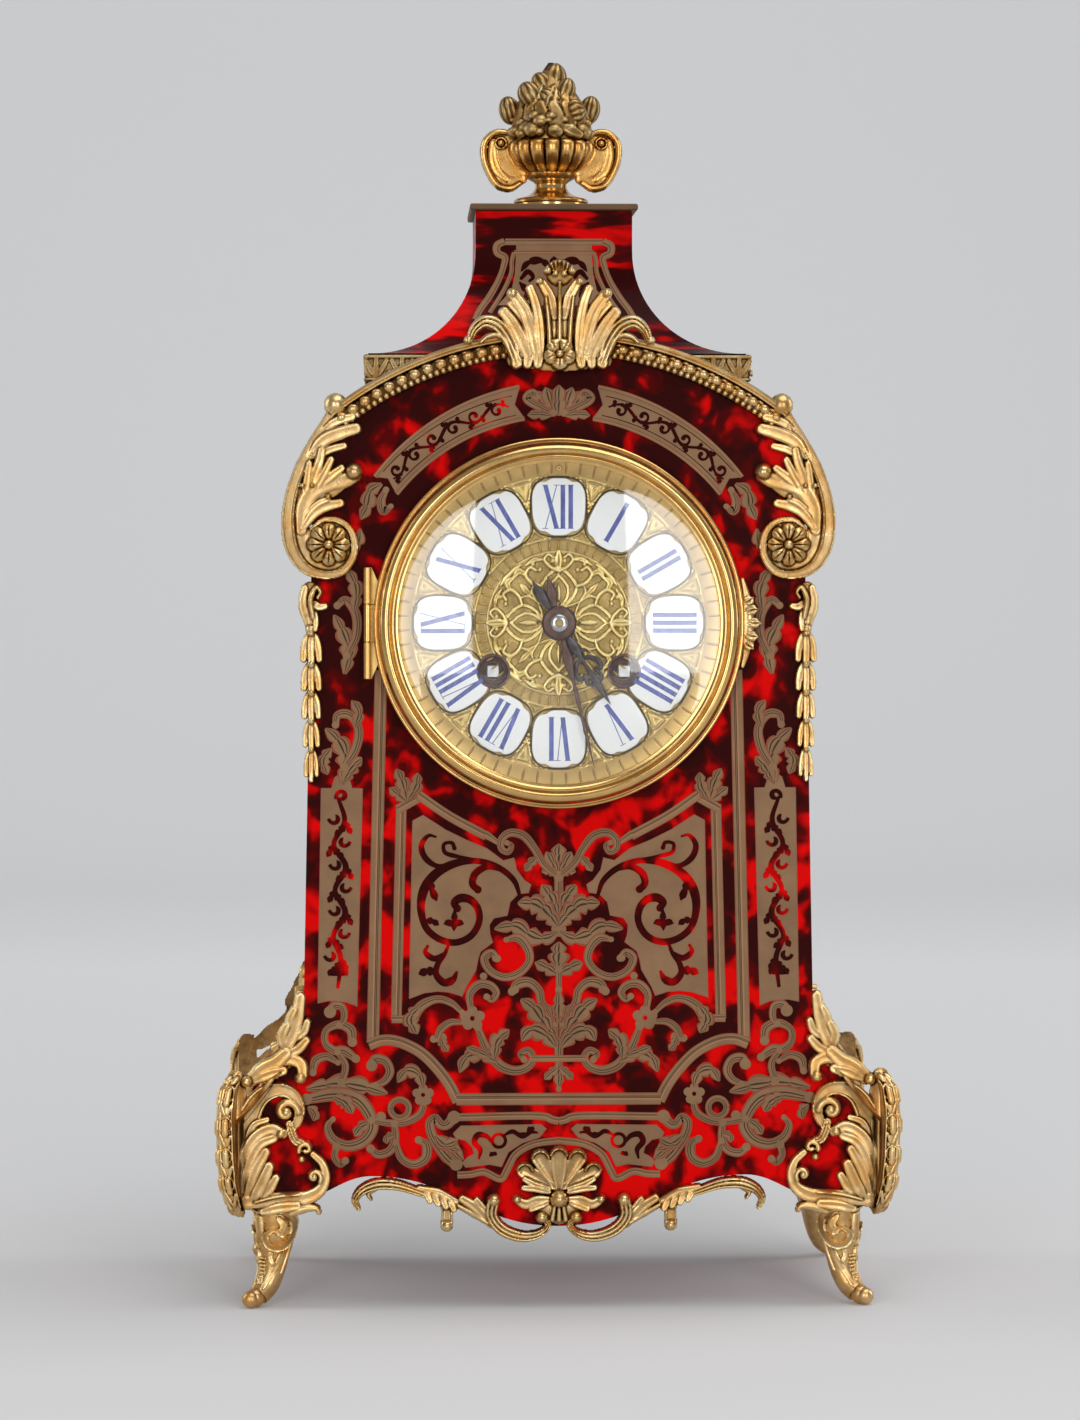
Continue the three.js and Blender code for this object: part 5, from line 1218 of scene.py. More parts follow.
def build_plaques():
    edge = plaque_edge(96)
    shares = (1, 0.985, 0.94, 0.8, 0.6, 0.4, 0.2)
    for hour in range(1, 13):
        outline = []
        for x, z in edge:
            px, pz = to_hour(x, z + PLAQUE_RADIUS, hour)
            for hx, hz in WINDING:
                gap = math.hypot(px - hx, pz - hz)
                keep = WINDING_HOLE + 0.9
                if gap < keep:
                    px, pz = hx + (px - hx) * keep / gap, hz + (pz - hz) * keep / gap
            outline.append((px, pz))
        middle = to_hour(0.0, PLAQUE_RADIUS, hour)
        vertices = [about_dial(x, z, DIAL_FRONT - 0.25) for x, z in outline]
        for level, share in enumerate(shares):
            for (x, z), (ex, ez) in zip(outline, edge):
                depth = plaque_rise(ex * share, ez * share) + (0.25 if level == 0 else 0)
                vertices.append(about_dial(middle[0] + (x - middle[0]) * share,
                                           middle[1] + (z - middle[1]) * share, depth))
        vertices.append(about_dial(*middle, PLAQUE_FRONT))
        count = len(edge)
        faces = band_faces(len(shares) + 1, count)
        base = len(shares) * count
        faces += [[base + k, base + (k + 1) % count, base + count] for k in range(count)]
        rim_faces = 2 * count
        enamel_faces = len(faces)
        for x0, z0, x1, z1, half in numeral_strokes(NUMERALS[hour - 1]):
            start, end = np.array((x0, z0)), np.array((x1, z1))
            way = (end - start) / np.linalg.norm(end - start)
            side = np.array((way[1], -way[0])) * half
            if abs(z1 - z0) > 1:
                side = np.array((math.copysign(half, z1 - z0), 0))
            first = len(vertices)
            pieces = 8
            for i in range(pieces + 1):
                centre = start + (end - start) * i / pieces
                for sign in (-1, 1):
                    x, z = centre + side * sign
                    px, pz = to_hour(x, z + PLAQUE_RADIUS, hour)
                    vertices.append(about_dial(px, pz, plaque_rise(x, z) - PAINT_LIFT))
            for i in range(pieces):
                a = first + 2 * i
                faces.append([a, a + 1, a + 3, a + 2])
        name = f"plaque_{hour:02d}"
        piece = add_piece(name, vertices, faces, "enamel", "case", "enamel_plaques",
                          [f"numeral_{hour:02d}"], smooth=60)
        piece.data.materials.append(materials["rim"])
        piece.data.materials.append(materials["blue"])
        index = np.zeros(len(faces), np.int32)
        # The skirt faces round the plaque take the near-black finish: painted shadow.
        index[:rim_faces - count] = 1
        index[enamel_faces:] = 2
        piece.data.polygons.foreach_set("material_index", index)


def dial_height(x, z):
    """Rise of the stamped dial outside its centre: plaque frames and small triangles between them."""
    radius = np.hypot(x, z)
    angle = np.degrees(np.arctan2(x, z))
    hour = np.round(angle / 30.0)
    turn = np.radians(30 * hour)
    lx, lz = x * np.cos(turn) - z * np.sin(turn), z * np.cos(turn) + x * np.sin(turn) - PLAQUE_RADIUS
    size = (np.abs(lx / PLAQUE_HALF[0]) ** 3 + np.abs(lz / PLAQUE_HALF[1]) ** 3) ** (1 / 3)
    frame_line = 0.85 * bell(size, 1.075, 0.035)
    gap = angle - 30 * np.floor(angle / 30.0) - 15
    across = np.abs(np.radians(gap) * radius)
    down = radius - 46.0
    inside = np.minimum(np.minimum(5.0 - np.abs(down - 0.5), (down + 4.4) * 0.42 - across), 4.0 - across)
    triangle = np.where(inside > 0, 0.55 * bell(inside, 0.55, 0.3) + 0.35 * bell(inside, 1.9, 0.5), 0)
    ring = 0.5 * bell(radius, 29.6, 0.4) + 0.5 * bell(radius, 25.0, 0.35)
    edge = 0.5 * bell(radius, 51.6, 0.5)
    return np.maximum.reduce([frame_line, triangle, ring, edge, np.zeros_like(x)])


MATTED_RISE = 0.66


def build_dial():
    radii = np.linspace(24.8, DIAL_RADIUS, 84)
    angles = np.linspace(0, 2 * np.pi, 720, endpoint=False)
    r, a = np.meshgrid(radii, angles)
    x, z = r * np.sin(a), r * np.cos(a)
    rise = dial_height(x, z)
    keep = np.ones(x.shape, bool)
    for hx, hz in WINDING:
        gap = np.hypot(x - hx, z - hz)
        keep &= gap > WINDING_HOLE
    vertices = np.stack([x, at_depth(DIAL_FRONT) - rise, z + DIAL_Z], axis=-1).reshape(-1, 3)
    rows, cols = x.shape
    faces = []
    for i in range(rows):
        j = (i + 1) % rows
        for k in range(cols - 1):
            if keep[i, k] and keep[j, k] and keep[i, k + 1] and keep[j, k + 1]:
                faces.append([i * cols + k, j * cols + k, j * cols + k + 1, i * cols + k + 1])
    shade = np.clip(0.62 - 0.55 * rise, 0, 1).ravel()
    add_piece("dial_stamped_ring", vertices, faces, "dial", "case", "gilt_dial", cavity=shade, smooth=60)
    vertices, faces, shade = dial_centre()
    matted = at_depth(DIAL_BACK) - vertices[:, 1] < MATTED_RISE
    shade = np.where(matted, np.maximum(shade, 0.66), shade * 0.8)
    add_piece("dial_centre", vertices, faces, "dial", "case", "gilt_dial", ["dial_plate"], cavity=shade,
              smooth=60)
    lip = ((-0.1, 5.6), (-0.1, 0.6), (0.3, 0.25), (1, 0.35), (1.2, 0.9), (1.2, 2.6), (0.3, 2.8), (0.3, 6.2))
    collar = [(WINDING_HOLE + out, depth) for out, depth in lip] + [(3.2, 6.2), (3.2, 5.6)]
    parts = []
    for hx, hz in WINDING:
        parts.append(lathe(collar, 48, lambda p, q, d, hx=hx, hz=hz: about_dial(hx + p, hz + q, d)))
    vertices, faces, _ = join_parts(parts)
    add_piece("winding_collars", vertices, faces, "hand_brown", "case", "gilt_dial", smooth=40)
    for body, (hx, hz) in zip(KEY_NODES, WINDING):
        rim = circle((hx, DIAL_Z + hz), KEY_WASHER, 32)
        hole = [(hx + KEY_HALF * sx, DIAL_Z + hz + KEY_HALF * sz)
                for sx, sz in ((1, 1), (-1, 1), (-1, -1), (1, -1))]
        add_piece(f"{body}_washer", *slab([rim, hole], 6.25, 6.55), "hand_brown", body, "blued_steel",
                  smooth=40)
    holes = [circle((hx, DIAL_Z + hz), WINDING_HOLE + 0.1, 32) for hx, hz in WINDING]
    rounds = [circle((0, DIAL_Z), DIAL_RADIUS, 96), *holes, circle((0, DIAL_Z), HAND_HOLE, 32)]
    add_piece("dial_backing", *slab(rounds, DIAL_BACK, 2.65), "brass", "case", "gilt_dial", smooth=40)


def dial_centre():
    """Strapwork relief inside the ribbed ring, drawn once and turned to four quarters."""
    field = Relief((-25.4, -25.4), (25.4, 25.4), 0.26)
    radius = np.hypot(field.gx, field.gz)
    wave_x = np.sin(field.gx * 5.1 + 1.3 * np.sin(field.gz * 4.3))
    wave_z = np.sin(field.gz * 5.7 + np.sin(field.gx * 3.9))
    field.h = np.where((radius < 25.2) & (radius > 4.6), 0.12 + 0.08 * wave_x * wave_z, -1.0)

    def quarters(path, width, height, section=round_section):
        line = catmull(path)
        for mirror in (1, -1):
            for c, s in ((1, 0), (0, 1), (-1, 0), (0, -1)):
                x, z = line[:, 0] * mirror, line[:, 1]
                field.stroke(np.stack([x * c - z * s, x * s + z * c], axis=1), width, height, section,
                             raw=True)

    quarters([(0, 5), (2.9, 9), (3.1, 12.6), (0, 16.8)], 0.55, 0.75, band_section)
    quarters([(0.6, 5), (4.8, 8.8), (6.2, 12.8), (3.8, 16.6), (0.4, 19.4)], 0.65, 0.85, band_section)
    quarters([(0, 8), (0, 13.8)], [0.5, 1, 0.2], 0.7)
    quarters([(1.4, 5.2), (4.4, 6.2), (7.4, 7.4)], [0.3, 0.6, 0.3], 0.65)
    quarters([(0, 18.2), (2.9, 19.6), (5, 22.4), (3.6, 24), (1.9, 23)], [0.9, 0.8, 0.7, 0.6], 0.95)
    quarters([(0, 19.4), (0, 25)], [1.3, 1.8, 0.9], 0.95, leaf_section)
    quarters([(6.2, 12.8), (9.4, 14), (11.6, 17), (10, 19.4), (8, 18.4)], [0.7, 0.9, 0.8, 0.7], 0.9)
    quarters([(5, 22.4), (8.8, 22), (11.8, 20.2)], [0.7, 1, 0.4], 0.85, leaf_section)
    quarters([(11.6, 17), (14, 18), (15.8, 15.8)], [0.9, 1.4, 0.6], 0.95, leaf_section)
    quarters([(13.2, 20.4), (15.8, 18.6), (17.2, 17.2)], [0.5, 1.1, 0.9], 0.9)
    quarters([(10, 10), (13.8, 13.8)], [0.8, 1.3, 0.3], 0.85, leaf_section)
    quarters([(7.4, 7.4), (9.4, 11), (8.6, 13.4)], [0.4, 0.6, 0.4], 0.75)
    for c, s in ((1, 0), (0, 1), (-1, 0), (0, -1)):
        for px, pz in ((2.1, 21.8), (-2.1, 21.8), (9, 20.6), (-9, 20.6), (6.6, 18.6), (-6.6, 18.6)):
            field.dome((px * c - pz * s, px * s + pz * c), 0.85, 0.9)
    for hx, hz in WINDING:
        field.h[np.hypot(field.gx - hx, field.gz - hz) < WINDING_HOLE] = -1.0
    return field.solid(lambda x, z, rise: (x, at_depth(DIAL_BACK) - rise, z + DIAL_Z), 0.35)


def build_hands():
    hour = Relief((-7, -19), (7, 36), 0.16)
    hour.dome((0, 0), 5.2, 0.45, 0.3)
    hour.stroke([(0, 4), (0, 15.5)], [0.9, 1.9, 0.8], 0.45)
    for side in (1, -1):
        hour.stroke([(0, 14.6), (side * 2.6, 15.8), (side * 4.6, 18.4), (side * 4, 21), (side * 2.2, 20.4)],
                    [0.6, 0.9, 0.9, 0.7], 0.42)
        hour.stroke([(side * 2, 20.6), (side * 2.8, 23.6), (0, 25.4)], [0.7, 0.8, 0.5], 0.4)
        hour.stroke([(0, 12.4), (side * 2.4, 12.6), (side * 3.6, 14.6)], [0.4, 0.6, 0.3], 0.36)
    hour.stroke([(0, 15), (0, 34)], [0.7, 0.8, 1.7, 0.9, 0.12], 0.45)
    hour.stroke([(0, -4), (0, -17.5)], [0.8, 1.1, 2.2, 1.3, 0.15], 0.45)
    minute = Relief((-6, -19), (6, 54), 0.16)
    minute.dome((0, 0), 4.8, 0.45, 0.3)
    minute.stroke([(0, 4), (0, 22)], [0.8, 1, 1.9, 1.3, 0.5], 0.45)
    minute.stroke([(0, 20), (0, 52)], [0.6, 0.85, 0.6, 0.75, 0.5, 0.12], 0.4)
    minute.stroke([(0, -4), (0, -17)], [0.7, 1, 2, 1.2, 0.15], 0.45)
    for field, hole, angle, back, name, finish, body, node in (
            (hour, 3.7, 147.6, -1.7, "hour_hand_steel", "hand", "hour_hand", "hour_hand"),
            (minute, 1.5, 166.3, -3.2, "minute_hand_steel", "hand_brown", "minute_hand", "minute_hand")):
        field.h[np.hypot(field.gx, field.gz) < hole] = -1.0
        turn = math.radians(angle)

        def place(x, z, rise, turn=turn, back=back):
            return about_dial(x * math.cos(turn) + z * math.sin(turn),
                              z * math.cos(turn) - x * math.sin(turn), back - rise)

        part = field.solid(place, 0.35)
        add_piece(name, *part[:2], finish, body, "blued_steel", [node], smooth=50)
    ring = [(1.5, -4.25), (6, -4.25), (6.1, -4.6), (5.9, -4.95), (5.2, -5.15), (4.2, -5.2), (3.5, -5.3),
            (1.5, -5.3)]
    add_piece("hand_collet_ring", *lathe(ring, 48, about_dial), "hand_brown", "minute_hand", "blued_steel",
              ["hand_collet"])
    cap = [(1.3, -5.2), (3.3, -5.2), (3.2, -5.7), (2.6, -6.15), (1.6, -6.35), (1.3, -6.35)]
    add_piece("hand_collet_cap", *lathe(cap, 40, about_dial), "steel", "minute_hand", "blued_steel")


# Back: ring, door and the finish of the movement


BACK_HINGE_X = 64.4
KNOB_X = -53.0


def behind(profile, depth):
    """A turned profile of (radius, distance behind a depth)."""
    return [(radius, depth + along) for radius, along in profile]


def build_back():
    far = CASE_DEPTH + 0.25
    ring = [(62, 0), (62, 1.7), (61.4, 2.2), (53.6, 2.2), (53, 1.8), (53, 0)]
    ring = lathe(behind(ring, far), ROUND_STEPS, about_dial)
    door_depth = far + 2.45
    hinge_depth = door_depth + 0.9
    parts = [ring]
    for low, high in ((-13.5, -4.75), (4.75, 13.5)):
        parts.append(hinge_barrel(BACK_HINGE_X, hinge_depth, 1.8, low, high))
        parts.append(slab([dial_block(59.0, BACK_HINGE_X, low, high)], far, far + 2.2))
    parts.append(hinge_barrel(BACK_HINGE_X, hinge_depth, 0.9, -13.0, 13.0, 12))
    vertices, faces, _ = join_parts(parts)
    add_piece("back_ring_brass", vertices, faces, "brass", "case", "movement_brass", ["back_ring"],
              smooth=38)
    swell = [(0.01, 0), (60, 0), (60, 1.5), (59.5, 2.3), (57.4, 2.8), (55, 2.4), (52.4, 1.8), (30, 2.2),
             (14, 2.6), (12, 3.3), (9, 3.7), (0.01, 4)]
    door = lathe(behind(swell, door_depth), ROUND_STEPS, about_dial, closed=False)
    knob = [(0.01, 1), (2, 1.5), (1.8, 3.6), (3, 4.8), (2.6, 6.1), (0.01, 6.5)]
    knob = lathe(behind(knob, door_depth), 32, lambda a, b, d: about_dial(a + KNOB_X, b, d), closed=False)
    web = slab([dial_block(58.0, BACK_HINGE_X, -4.5, 4.5)], door_depth, door_depth + 1.8)
    knuckle = hinge_barrel(BACK_HINGE_X, hinge_depth, 1.8, -4.5, 4.5)
    vertices, faces, _ = join_parts([door, knob, web, knuckle])
    add_piece("back_door_brass", vertices, faces, "brass", "back_door", "movement_brass", ["back_door"],
              smooth=38)


STEEL_NODES = ("cannon_pinion", "pallet_anchor", "hammer", "regulator_arbor")


def finish_cad_nodes():
    """Gives every CAD node that is still shown a finish of its own."""
    for name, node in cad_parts.items():
        if node.hide_render:
            continue
        finish = "key_steel" if name in KEY_NODES else "steel" if name in STEEL_NODES else "brass"
        finish = "bell" if name == "bell" else finish
        node.data.materials.clear()
        node.data.materials.append(materials[finish])


# Marquetry: brass sheets and dark veins a hair above the veneer, drawn for one half and mirrored

GROUND_LIFT = 0.04
BRASS_LIFT = 0.07
VEIN_LIFT = 0.15
LAYER = 0.0006
LEAF_WEIGHT = 1.42
VEIN_WEIGHT = 1.2
PLAIN_UV = 0.62
WEIGHTS = {"leafage": LEAF_WEIGHT, "vein": VEIN_WEIGHT}


def on_face(x, z, rise):
    return (x, FACE_Y - rise, z)


class Inlay:
    """Sheets of the marquetry, gathered by finish; place maps (x, z, lift) to the world."""

    def __init__(self, place):
        self.place = place
        self.parts = {}
        self.count = 0

    def lift(self, finish):
        """A height of its own for each sheet, so that none share a plane."""
        self.count += 1
        base = {"ground": GROUND_LIFT, "vein": VEIN_LIFT}.get(finish, BRASS_LIFT)
        return base + LAYER * (self.count % 100)

    def add(self, points, faces, uv, finish, sides):
        lift = self.lift(finish)
        for side in sides:
            vertices = np.array([self.place(side * x, z, lift + (LAYER / 2 if side < 0 else 0))
                                 for x, z in points])
            turned = [list(reversed(face)) for face in faces] if side < 0 else faces
            self.parts.setdefault(finish, []).append((vertices, turned, uv))

    def ribbon(self, path, width, finish="leafage", lobes=0, lobe_depth=0.4, steps=8, raw=False,
               sides=(1, -1)):
        """A flat strip along a line; width is the half width, as one value or a list along the line."""
        line = np.asarray(path, float) if raw else catmull(path, steps)
        ends = np.concatenate([[0], np.cumsum(np.linalg.norm(np.diff(line, axis=0), axis=1))])
        if lobes:
            even = np.linspace(0, ends[-1], max(len(line), lobes * 12 + 1))
            line = np.stack([np.interp(even, ends, line[:, k]) for k in (0, 1)], axis=1)
            ends = even
        share = ends / ends[-1]
        way = np.gradient(line, axis=0)
        way /= np.linalg.norm(way, axis=1)[:, None] + 1e-12
        off = np.stack([-way[:, 1], way[:, 0]], axis=1)
        widths = np.atleast_1d(np.asarray(width, float)) * WEIGHTS.get(finish, 1.0)
        half = np.interp(share, np.linspace(0, 1, len(widths)), widths)
        if lobes:
            lobe = np.sin(np.pi * (share * lobes % 1) ** 1.5) ** 0.6
            half = half * (1 - lobe_depth * (1 - lobe))
        count = len(line)
        points = np.vstack([line - off * half[:, None], line + off * half[:, None]])
        faces = [[i, i + 1, count + i + 1, count + i] for i in range(count - 1)]
        uv = np.stack([np.tile(share, 2), np.repeat([0, 1], count)], axis=1)
        self.add(points, faces, uv, finish, sides)
        if finish in ("leafage", "vein") and not lobes and not raw:
            for end, size in ((line[0], half[0]), (line[-1], half[-1])):
                self.disc(end, 1.15 * size, finish, sides)
        return self

    def leaf(self, path, width, lobes=3, finish="leafage", sides=(1, -1)):
        """A lobed leaf from its base to its tip."""
        return self.ribbon(path, np.array([0.4, 0.85, 1.15, 1.1, 0.9, 0.2]) * width, finish, lobes, 0.45,
                           sides=sides)

    def disc(self, centre, radius, finish="leafage", sides=(1, -1)):
        points = circle(centre, radius, 20)
        self.add(points, [list(range(20))], np.full((20, 2), PLAIN_UV), finish, sides)
        return self

    def ring(self, centre, radius, width, finish="leafage", steps=28):
        return self.ribbon(arc(centre, radius, 0, 360, steps), width, finish, raw=True)

    def flower(self, centre, radius, petals=5):
        for k in range(petals):
            turn = 2 * math.pi * k / petals + 0.3
            self.disc((centre[0] + 0.62 * radius * math.cos(turn),
                       centre[1] + 0.62 * radius * math.sin(turn)), 0.42 * radius)
        self.disc(centre, 0.5 * radius)
        return self.disc(centre, 0.2 * radius, "vein")

    def ground(self, outline):
        """A brass field with a dark engraved line inside its edge."""
        outline = [tuple(p) for p in outline]
        vertices, faces = slab([outline], 0.0, 0.0)
        flat = vertices[:len(vertices) // 2]
        front = [face for face in faces if max(face) < len(flat)]
        self.add([(x, z) for x, _, z in flat], front, np.full((len(flat), 2), PLAIN_UV), "ground", (1, -1))
        edge = np.array(outline)
        return self.ribbon(np.vstack([edge, edge[:1]]), 0.16, "edge", raw=True)

    def finish(self, name):
        for finish, parts in self.parts.items():
            vertices, faces, uv = join_parts(parts)
            add_piece(f"{name}_{finish}", vertices, faces, finish, "case", "tortoiseshell_case", uv=uv)


def draw_borders(inlay):
    """Double-line strips that frame the lower front."""
    inlay.ribbon([(62.3, 224), (65.2, 93.4)], 2.2, "strip")
    inlay.ribbon([(66.6, 92.6), (62, 94.2), (56.6, 93.8), (48.6, 90), (42.6, 84.2), (38.2, 78.2),
                  (35.4, 72.6)], 2.0, "strip")
    inlay.ribbon([(35.9, 73.4), (0, 73.4)], 2.15, "strip")
    inlay.ribbon([(55.2, 176.6), (57, 101.4)], 1.9, "strip")
    inlay.ribbon([(58.6, 101.6), (53.2, 101.6)], 1.4, "strip")
    inlay.ribbon([(56.4, 175.2), (48.2, 179.8)], 1.7, "strip")
    inlay.ribbon([(49.4, 180.4), (39, 173.2), (30, 168.2), (25.4, 165.8)], 1.7, "strip")
    inlay.ribbon([(25.8, 166.4), (23, 164.6), (20.4, 162.6)], [1.5, 1.1, 0.7], "strip")
    inlay.ribbon([(36.8, 67.1), (4.4, 67.1), (2.6, 66.2), (0, 65.6)], 1.4, "strip")
    inlay.ribbon([(36.8, 67.1), (39.4, 64.4), (41.2, 64.4), (43.4, 66.8), (45.2, 65.2), (44.2, 60.4),
                  (40.2, 55), (36, 50.6)], [1.4, 1.2, 1.1, 1.2, 1.3, 1.6, 1.9, 1.4])
    inlay.ribbon([(35.6, 46.8), (31, 47), (26.4, 47.8), (20.2, 45.4), (18.2, 48.4), (15.2, 53.8),
                  (9.2, 57.4), (0, 58.8)], 1.3, "strip")
    for tip in ((33.4, 52.2), (34.4, 55.6), (35.4, 59.2)):
        inlay.leaf([(43.6, 60.6), (39.6, 57.6), tip], 1.7, 2)


def draw_cartouche(inlay):
    """The two brass fields under the dial with their dark spirals."""
    inlay.ground([(51.2, 171.2), (47.6, 173.1), (39.6, 167.9), (32.1, 164.2), (25.1, 161.3), (19.5, 157.1),
                  (15.7, 158.1), (14.8, 153.8), (12, 150.1), (9.8, 148.7), (10.6, 145.9), (14.3, 145.4),
                  (17.1, 142.6), (18.1, 137.9), (22.8, 137), (24.4, 134.6), (24.2, 131.3), (23.2, 128.5),
                  (27.5, 125.2), (28.4, 122.5), (29.1, 118.7), (32.7, 112.6), (33.9, 109.6), (38.2, 111),
                  (42.4, 111.4), (47.2, 110.8), (52.4, 108.7)])
    spiral_line = [(13.6, 144.6), (15.6, 150), (20.9, 154.6), (27.5, 156.9), (34.5, 156.7), (41.5, 153.8),
                   (46.2, 149.1), (48.1, 144), (48.1, 138.4), (46.2, 133.2), (41.5, 129.5), (35.9, 128.5),
                   (30.7, 130.9), (27.9, 136), (28.6, 140.7), (31.2, 143.5), (34.5, 144), (36.6, 142.4),
                   (35.6, 140.4)]
    inlay.ribbon(spiral_line,
                 [0.5, 0.8, 0.9, 0.9, 0.9, 1.1, 1.3, 1.4, 1.4, 1.2, 1, 1, 1, 1, 1, 1, 1.1, 1.3, 1], "vein")
    inlay.ribbon([(20.4, 153.8), (25.1, 155), (29.3, 152.6), (30.2, 148.9), (28.4, 147)],
                 [0.4, 0.9, 1.1, 1.1, 1], "vein")
    inlay.disc((28.6, 147.2), 1.3, "vein")
    inlay.ribbon([(38, 155.8), (43, 155.4), (47.1, 158.6), (48.1, 162.7), (45.6, 166), (43.2, 165.6)],
                 [0.4, 0.7, 0.9, 0.9, 0.7, 0.3], "vein")
    inlay.ribbon([(30, 157.8), (35.4, 158.6), (40, 160.2), (40.2, 163), (37.4, 163.4), (36.6, 161.6)],
                 [0.3, 0.5, 0.7, 0.6, 0.5, 0.6], "vein")
    inlay.leaf([(46, 151), (44.4, 146.8), (42.8, 143)], 1.2, 2, "vein")
    inlay.leaf([(47, 136), (44.4, 136), (42, 134.6)], 1.0, 2, "vein")
    stem = 36.8
    inlay.leaf([(36.6, 140), (36.6, 136.6), (stem, 132.4)], 0.9, 2, "vein")
    for tilt in (-1, 1):
        inlay.leaf([(stem, 134.4), (stem + tilt * 1.8, 135.4), (stem + tilt * 3.4, 135)], 0.9, 0, "vein")
    inlay.ribbon([(38.4, 128.4), (40, 124.4), (42.4, 121), (43, 117.4), (40.2, 114.4), (37.2, 115.4),
                  (35.8, 118)], [0.4, 0.6, 0.8, 0.9, 1.1, 1.2, 0.4], "vein")
    inlay.ribbon([(39.8, 125), (43.6, 122.8), (46.8, 125.2), (46, 127.2)], [0.3, 0.9, 0.9, 0.4], "vein")
    inlay.leaf([(42.8, 118.2), (46.2, 118.4), (49.2, 117.4)], 1.3, 2, "vein")


def draw_candelabra(inlay):
    """Foliage on the middle line and the scrolls that spring from it."""
    middle = (1,)
    inlay.leaf([(0, 152), (0, 163)], 2.4, 3, sides=middle)
    inlay.leaf([(0.4, 152.6), (2.4, 156.4), (4.4, 160.2)], 1.7, 2)
    inlay.leaf([(0.6, 152), (3.4, 153.6), (6, 153.2)], 1.2, 2)
    inlay.disc((0, 151.6), 1.3, sides=middle)
    inlay.ribbon([(0, 151.6), (0, 133)], [1.1, 1.2, 1.6], sides=middle)
    inlay.ribbon([(0.6, 151.4), (5.6, 156.2), (8.6, 161.4), (12.6, 166), (17.4, 166.8), (20.2, 164.4),
                  (20, 161.2), (17.8, 160.2), (16.6, 162.4), (18.2, 163.4)],
                 [0.5, 0.9, 1, 1, 1.1, 1.1, 1, 0.9, 0.8, 0.6])
    inlay.leaf([(7.6, 158.4), (10, 156), (11.8, 153.4)], 1.2, 2)
    inlay.leaf([(0.4, 138), (2.6, 143.6), (6, 148.6)], 2.2, 3)
    inlay.leaf([(0.2, 134), (3.4, 138), (8, 141.6), (14.4, 142.2)], 2.6, 4)
    inlay.leaf([(0.2, 132), (4.4, 129.8), (9.4, 130.4), (15, 134), (22.6, 133.2)], 2.2, 4)
    inlay.ribbon([(18.4, 129.4), (14.4, 130), (11.2, 126.8), (10.2, 122.4), (13.4, 118), (18.9, 116.2),
                  (24.3, 118.7), (26.1, 122.9), (23.7, 124.8), (21.6, 122.8)],
                 [0.6, 1.2, 1.1, 1, 1, 1, 1, 1, 1.1, 0.8])
    inlay.disc((22.2, 122.8), 1.2)
    inlay.disc((26.4, 116.6), 1.3)
    inlay.leaf([(0, 117.4), (0, 128.6)], 2.5, 3, sides=middle)
    inlay.leaf([(0.2, 117.2), (4, 119.4), (8.4, 121.4)], 1.7, 2)
    inlay.ribbon([(0, 119), (0, 76.8)], [0.8, 0.7, 1, 1.3, 0.9, 0.6], sides=middle)
    inlay.disc((0, 111.8), 1.2, sides=middle)
    inlay.leaf([(0, 94), (0, 111)], 2.0, 4, sides=middle)
    inlay.leaf([(0.6, 98), (2.6, 102.4), (3.8, 106.6)], 1.4, 2)
    inlay.ribbon([(1.4, 99.4), (4.4, 104.6), (6.2, 107.8), (7, 111.4), (10.4, 114.4), (14.4, 113.8),
                  (16.4, 111.2)], [0.6, 0.9, 1, 1.1, 1.2, 1.4, 0.9])
    inlay.disc((15.4, 111.8), 1.4)
    inlay.leaf([(0.6, 93.6), (5, 99.6), (9.4, 105.6), (13.4, 108.4)], 2.5, 4)
    inlay.leaf([(0.8, 91.6), (5.4, 96.2), (10, 97.4), (13, 93.8)], 2.2, 3)
    inlay.ribbon([(9.6, 87.6), (0, 87.6)], 1.2, "strip")
    inlay.leaf([(0, 86.6), (0, 77.8)], 1.5, 2, sides=middle)
    inlay.leaf([(0.2, 84.4), (2.6, 82.6), (5, 80.2)], 1.2, 2)
    inlay.flower((30.3, 101.8), 4.3)
    inlay.ribbon([(30.8, 104.6), (31.2, 110.4), (27.9, 113.8), (23.9, 113.3), (21.9, 110.8), (23.5, 108.4),
                  (25.3, 109.4)], [0.8, 0.9, 1.1, 1.1, 1, 0.9, 0.7])
    inlay.ribbon([(34, 104), (37.6, 107.2), (42.4, 108.6), (48, 106.4), (51.4, 101.8)],
                 [0.6, 0.9, 1, 1.3, 1.4])
    inlay.leaf([(49, 106), (51.8, 101.6), (49.6, 96.4)], 2.0, 3)
    inlay.ribbon([(33.4, 100.4), (38, 100.4), (41.4, 98), (42.8, 94.8)], [0.6, 0.9, 1, 0.8])
    for x, z, radius in ((41, 95, 1.7), (43.9, 94.6, 1.3), (39.6, 91.4, 1.2)):
        inlay.disc((x, z), radius)
    inlay.leaf([(41.4, 95.2), (40.4, 92.4), (38.8, 90.2)], 1.2, 2)
    inlay.ribbon([(28.4, 98.6), (26.1, 92.7), (23.7, 88.5), (20.1, 84.9), (15.3, 83.4), (11, 84.7),
                  (9, 87.8), (10.8, 90.4), (13.4, 89.2), (12.2, 87.2)],
                 [0.8, 1, 1.2, 1.3, 1.3, 1.2, 1.1, 1, 0.9, 0.7])
    inlay.leaf([(21.4, 86.4), (27.4, 89.2), (32.2, 88), (34.8, 82.8)], 1.9, 3)
    inlay.leaf([(24, 88.2), (28.4, 90), (32.4, 91.6)], 1.3, 2)
    inlay.leaf([(22.6, 87.8), (21.6, 94), (17.4, 97.8)], 1.9, 3)


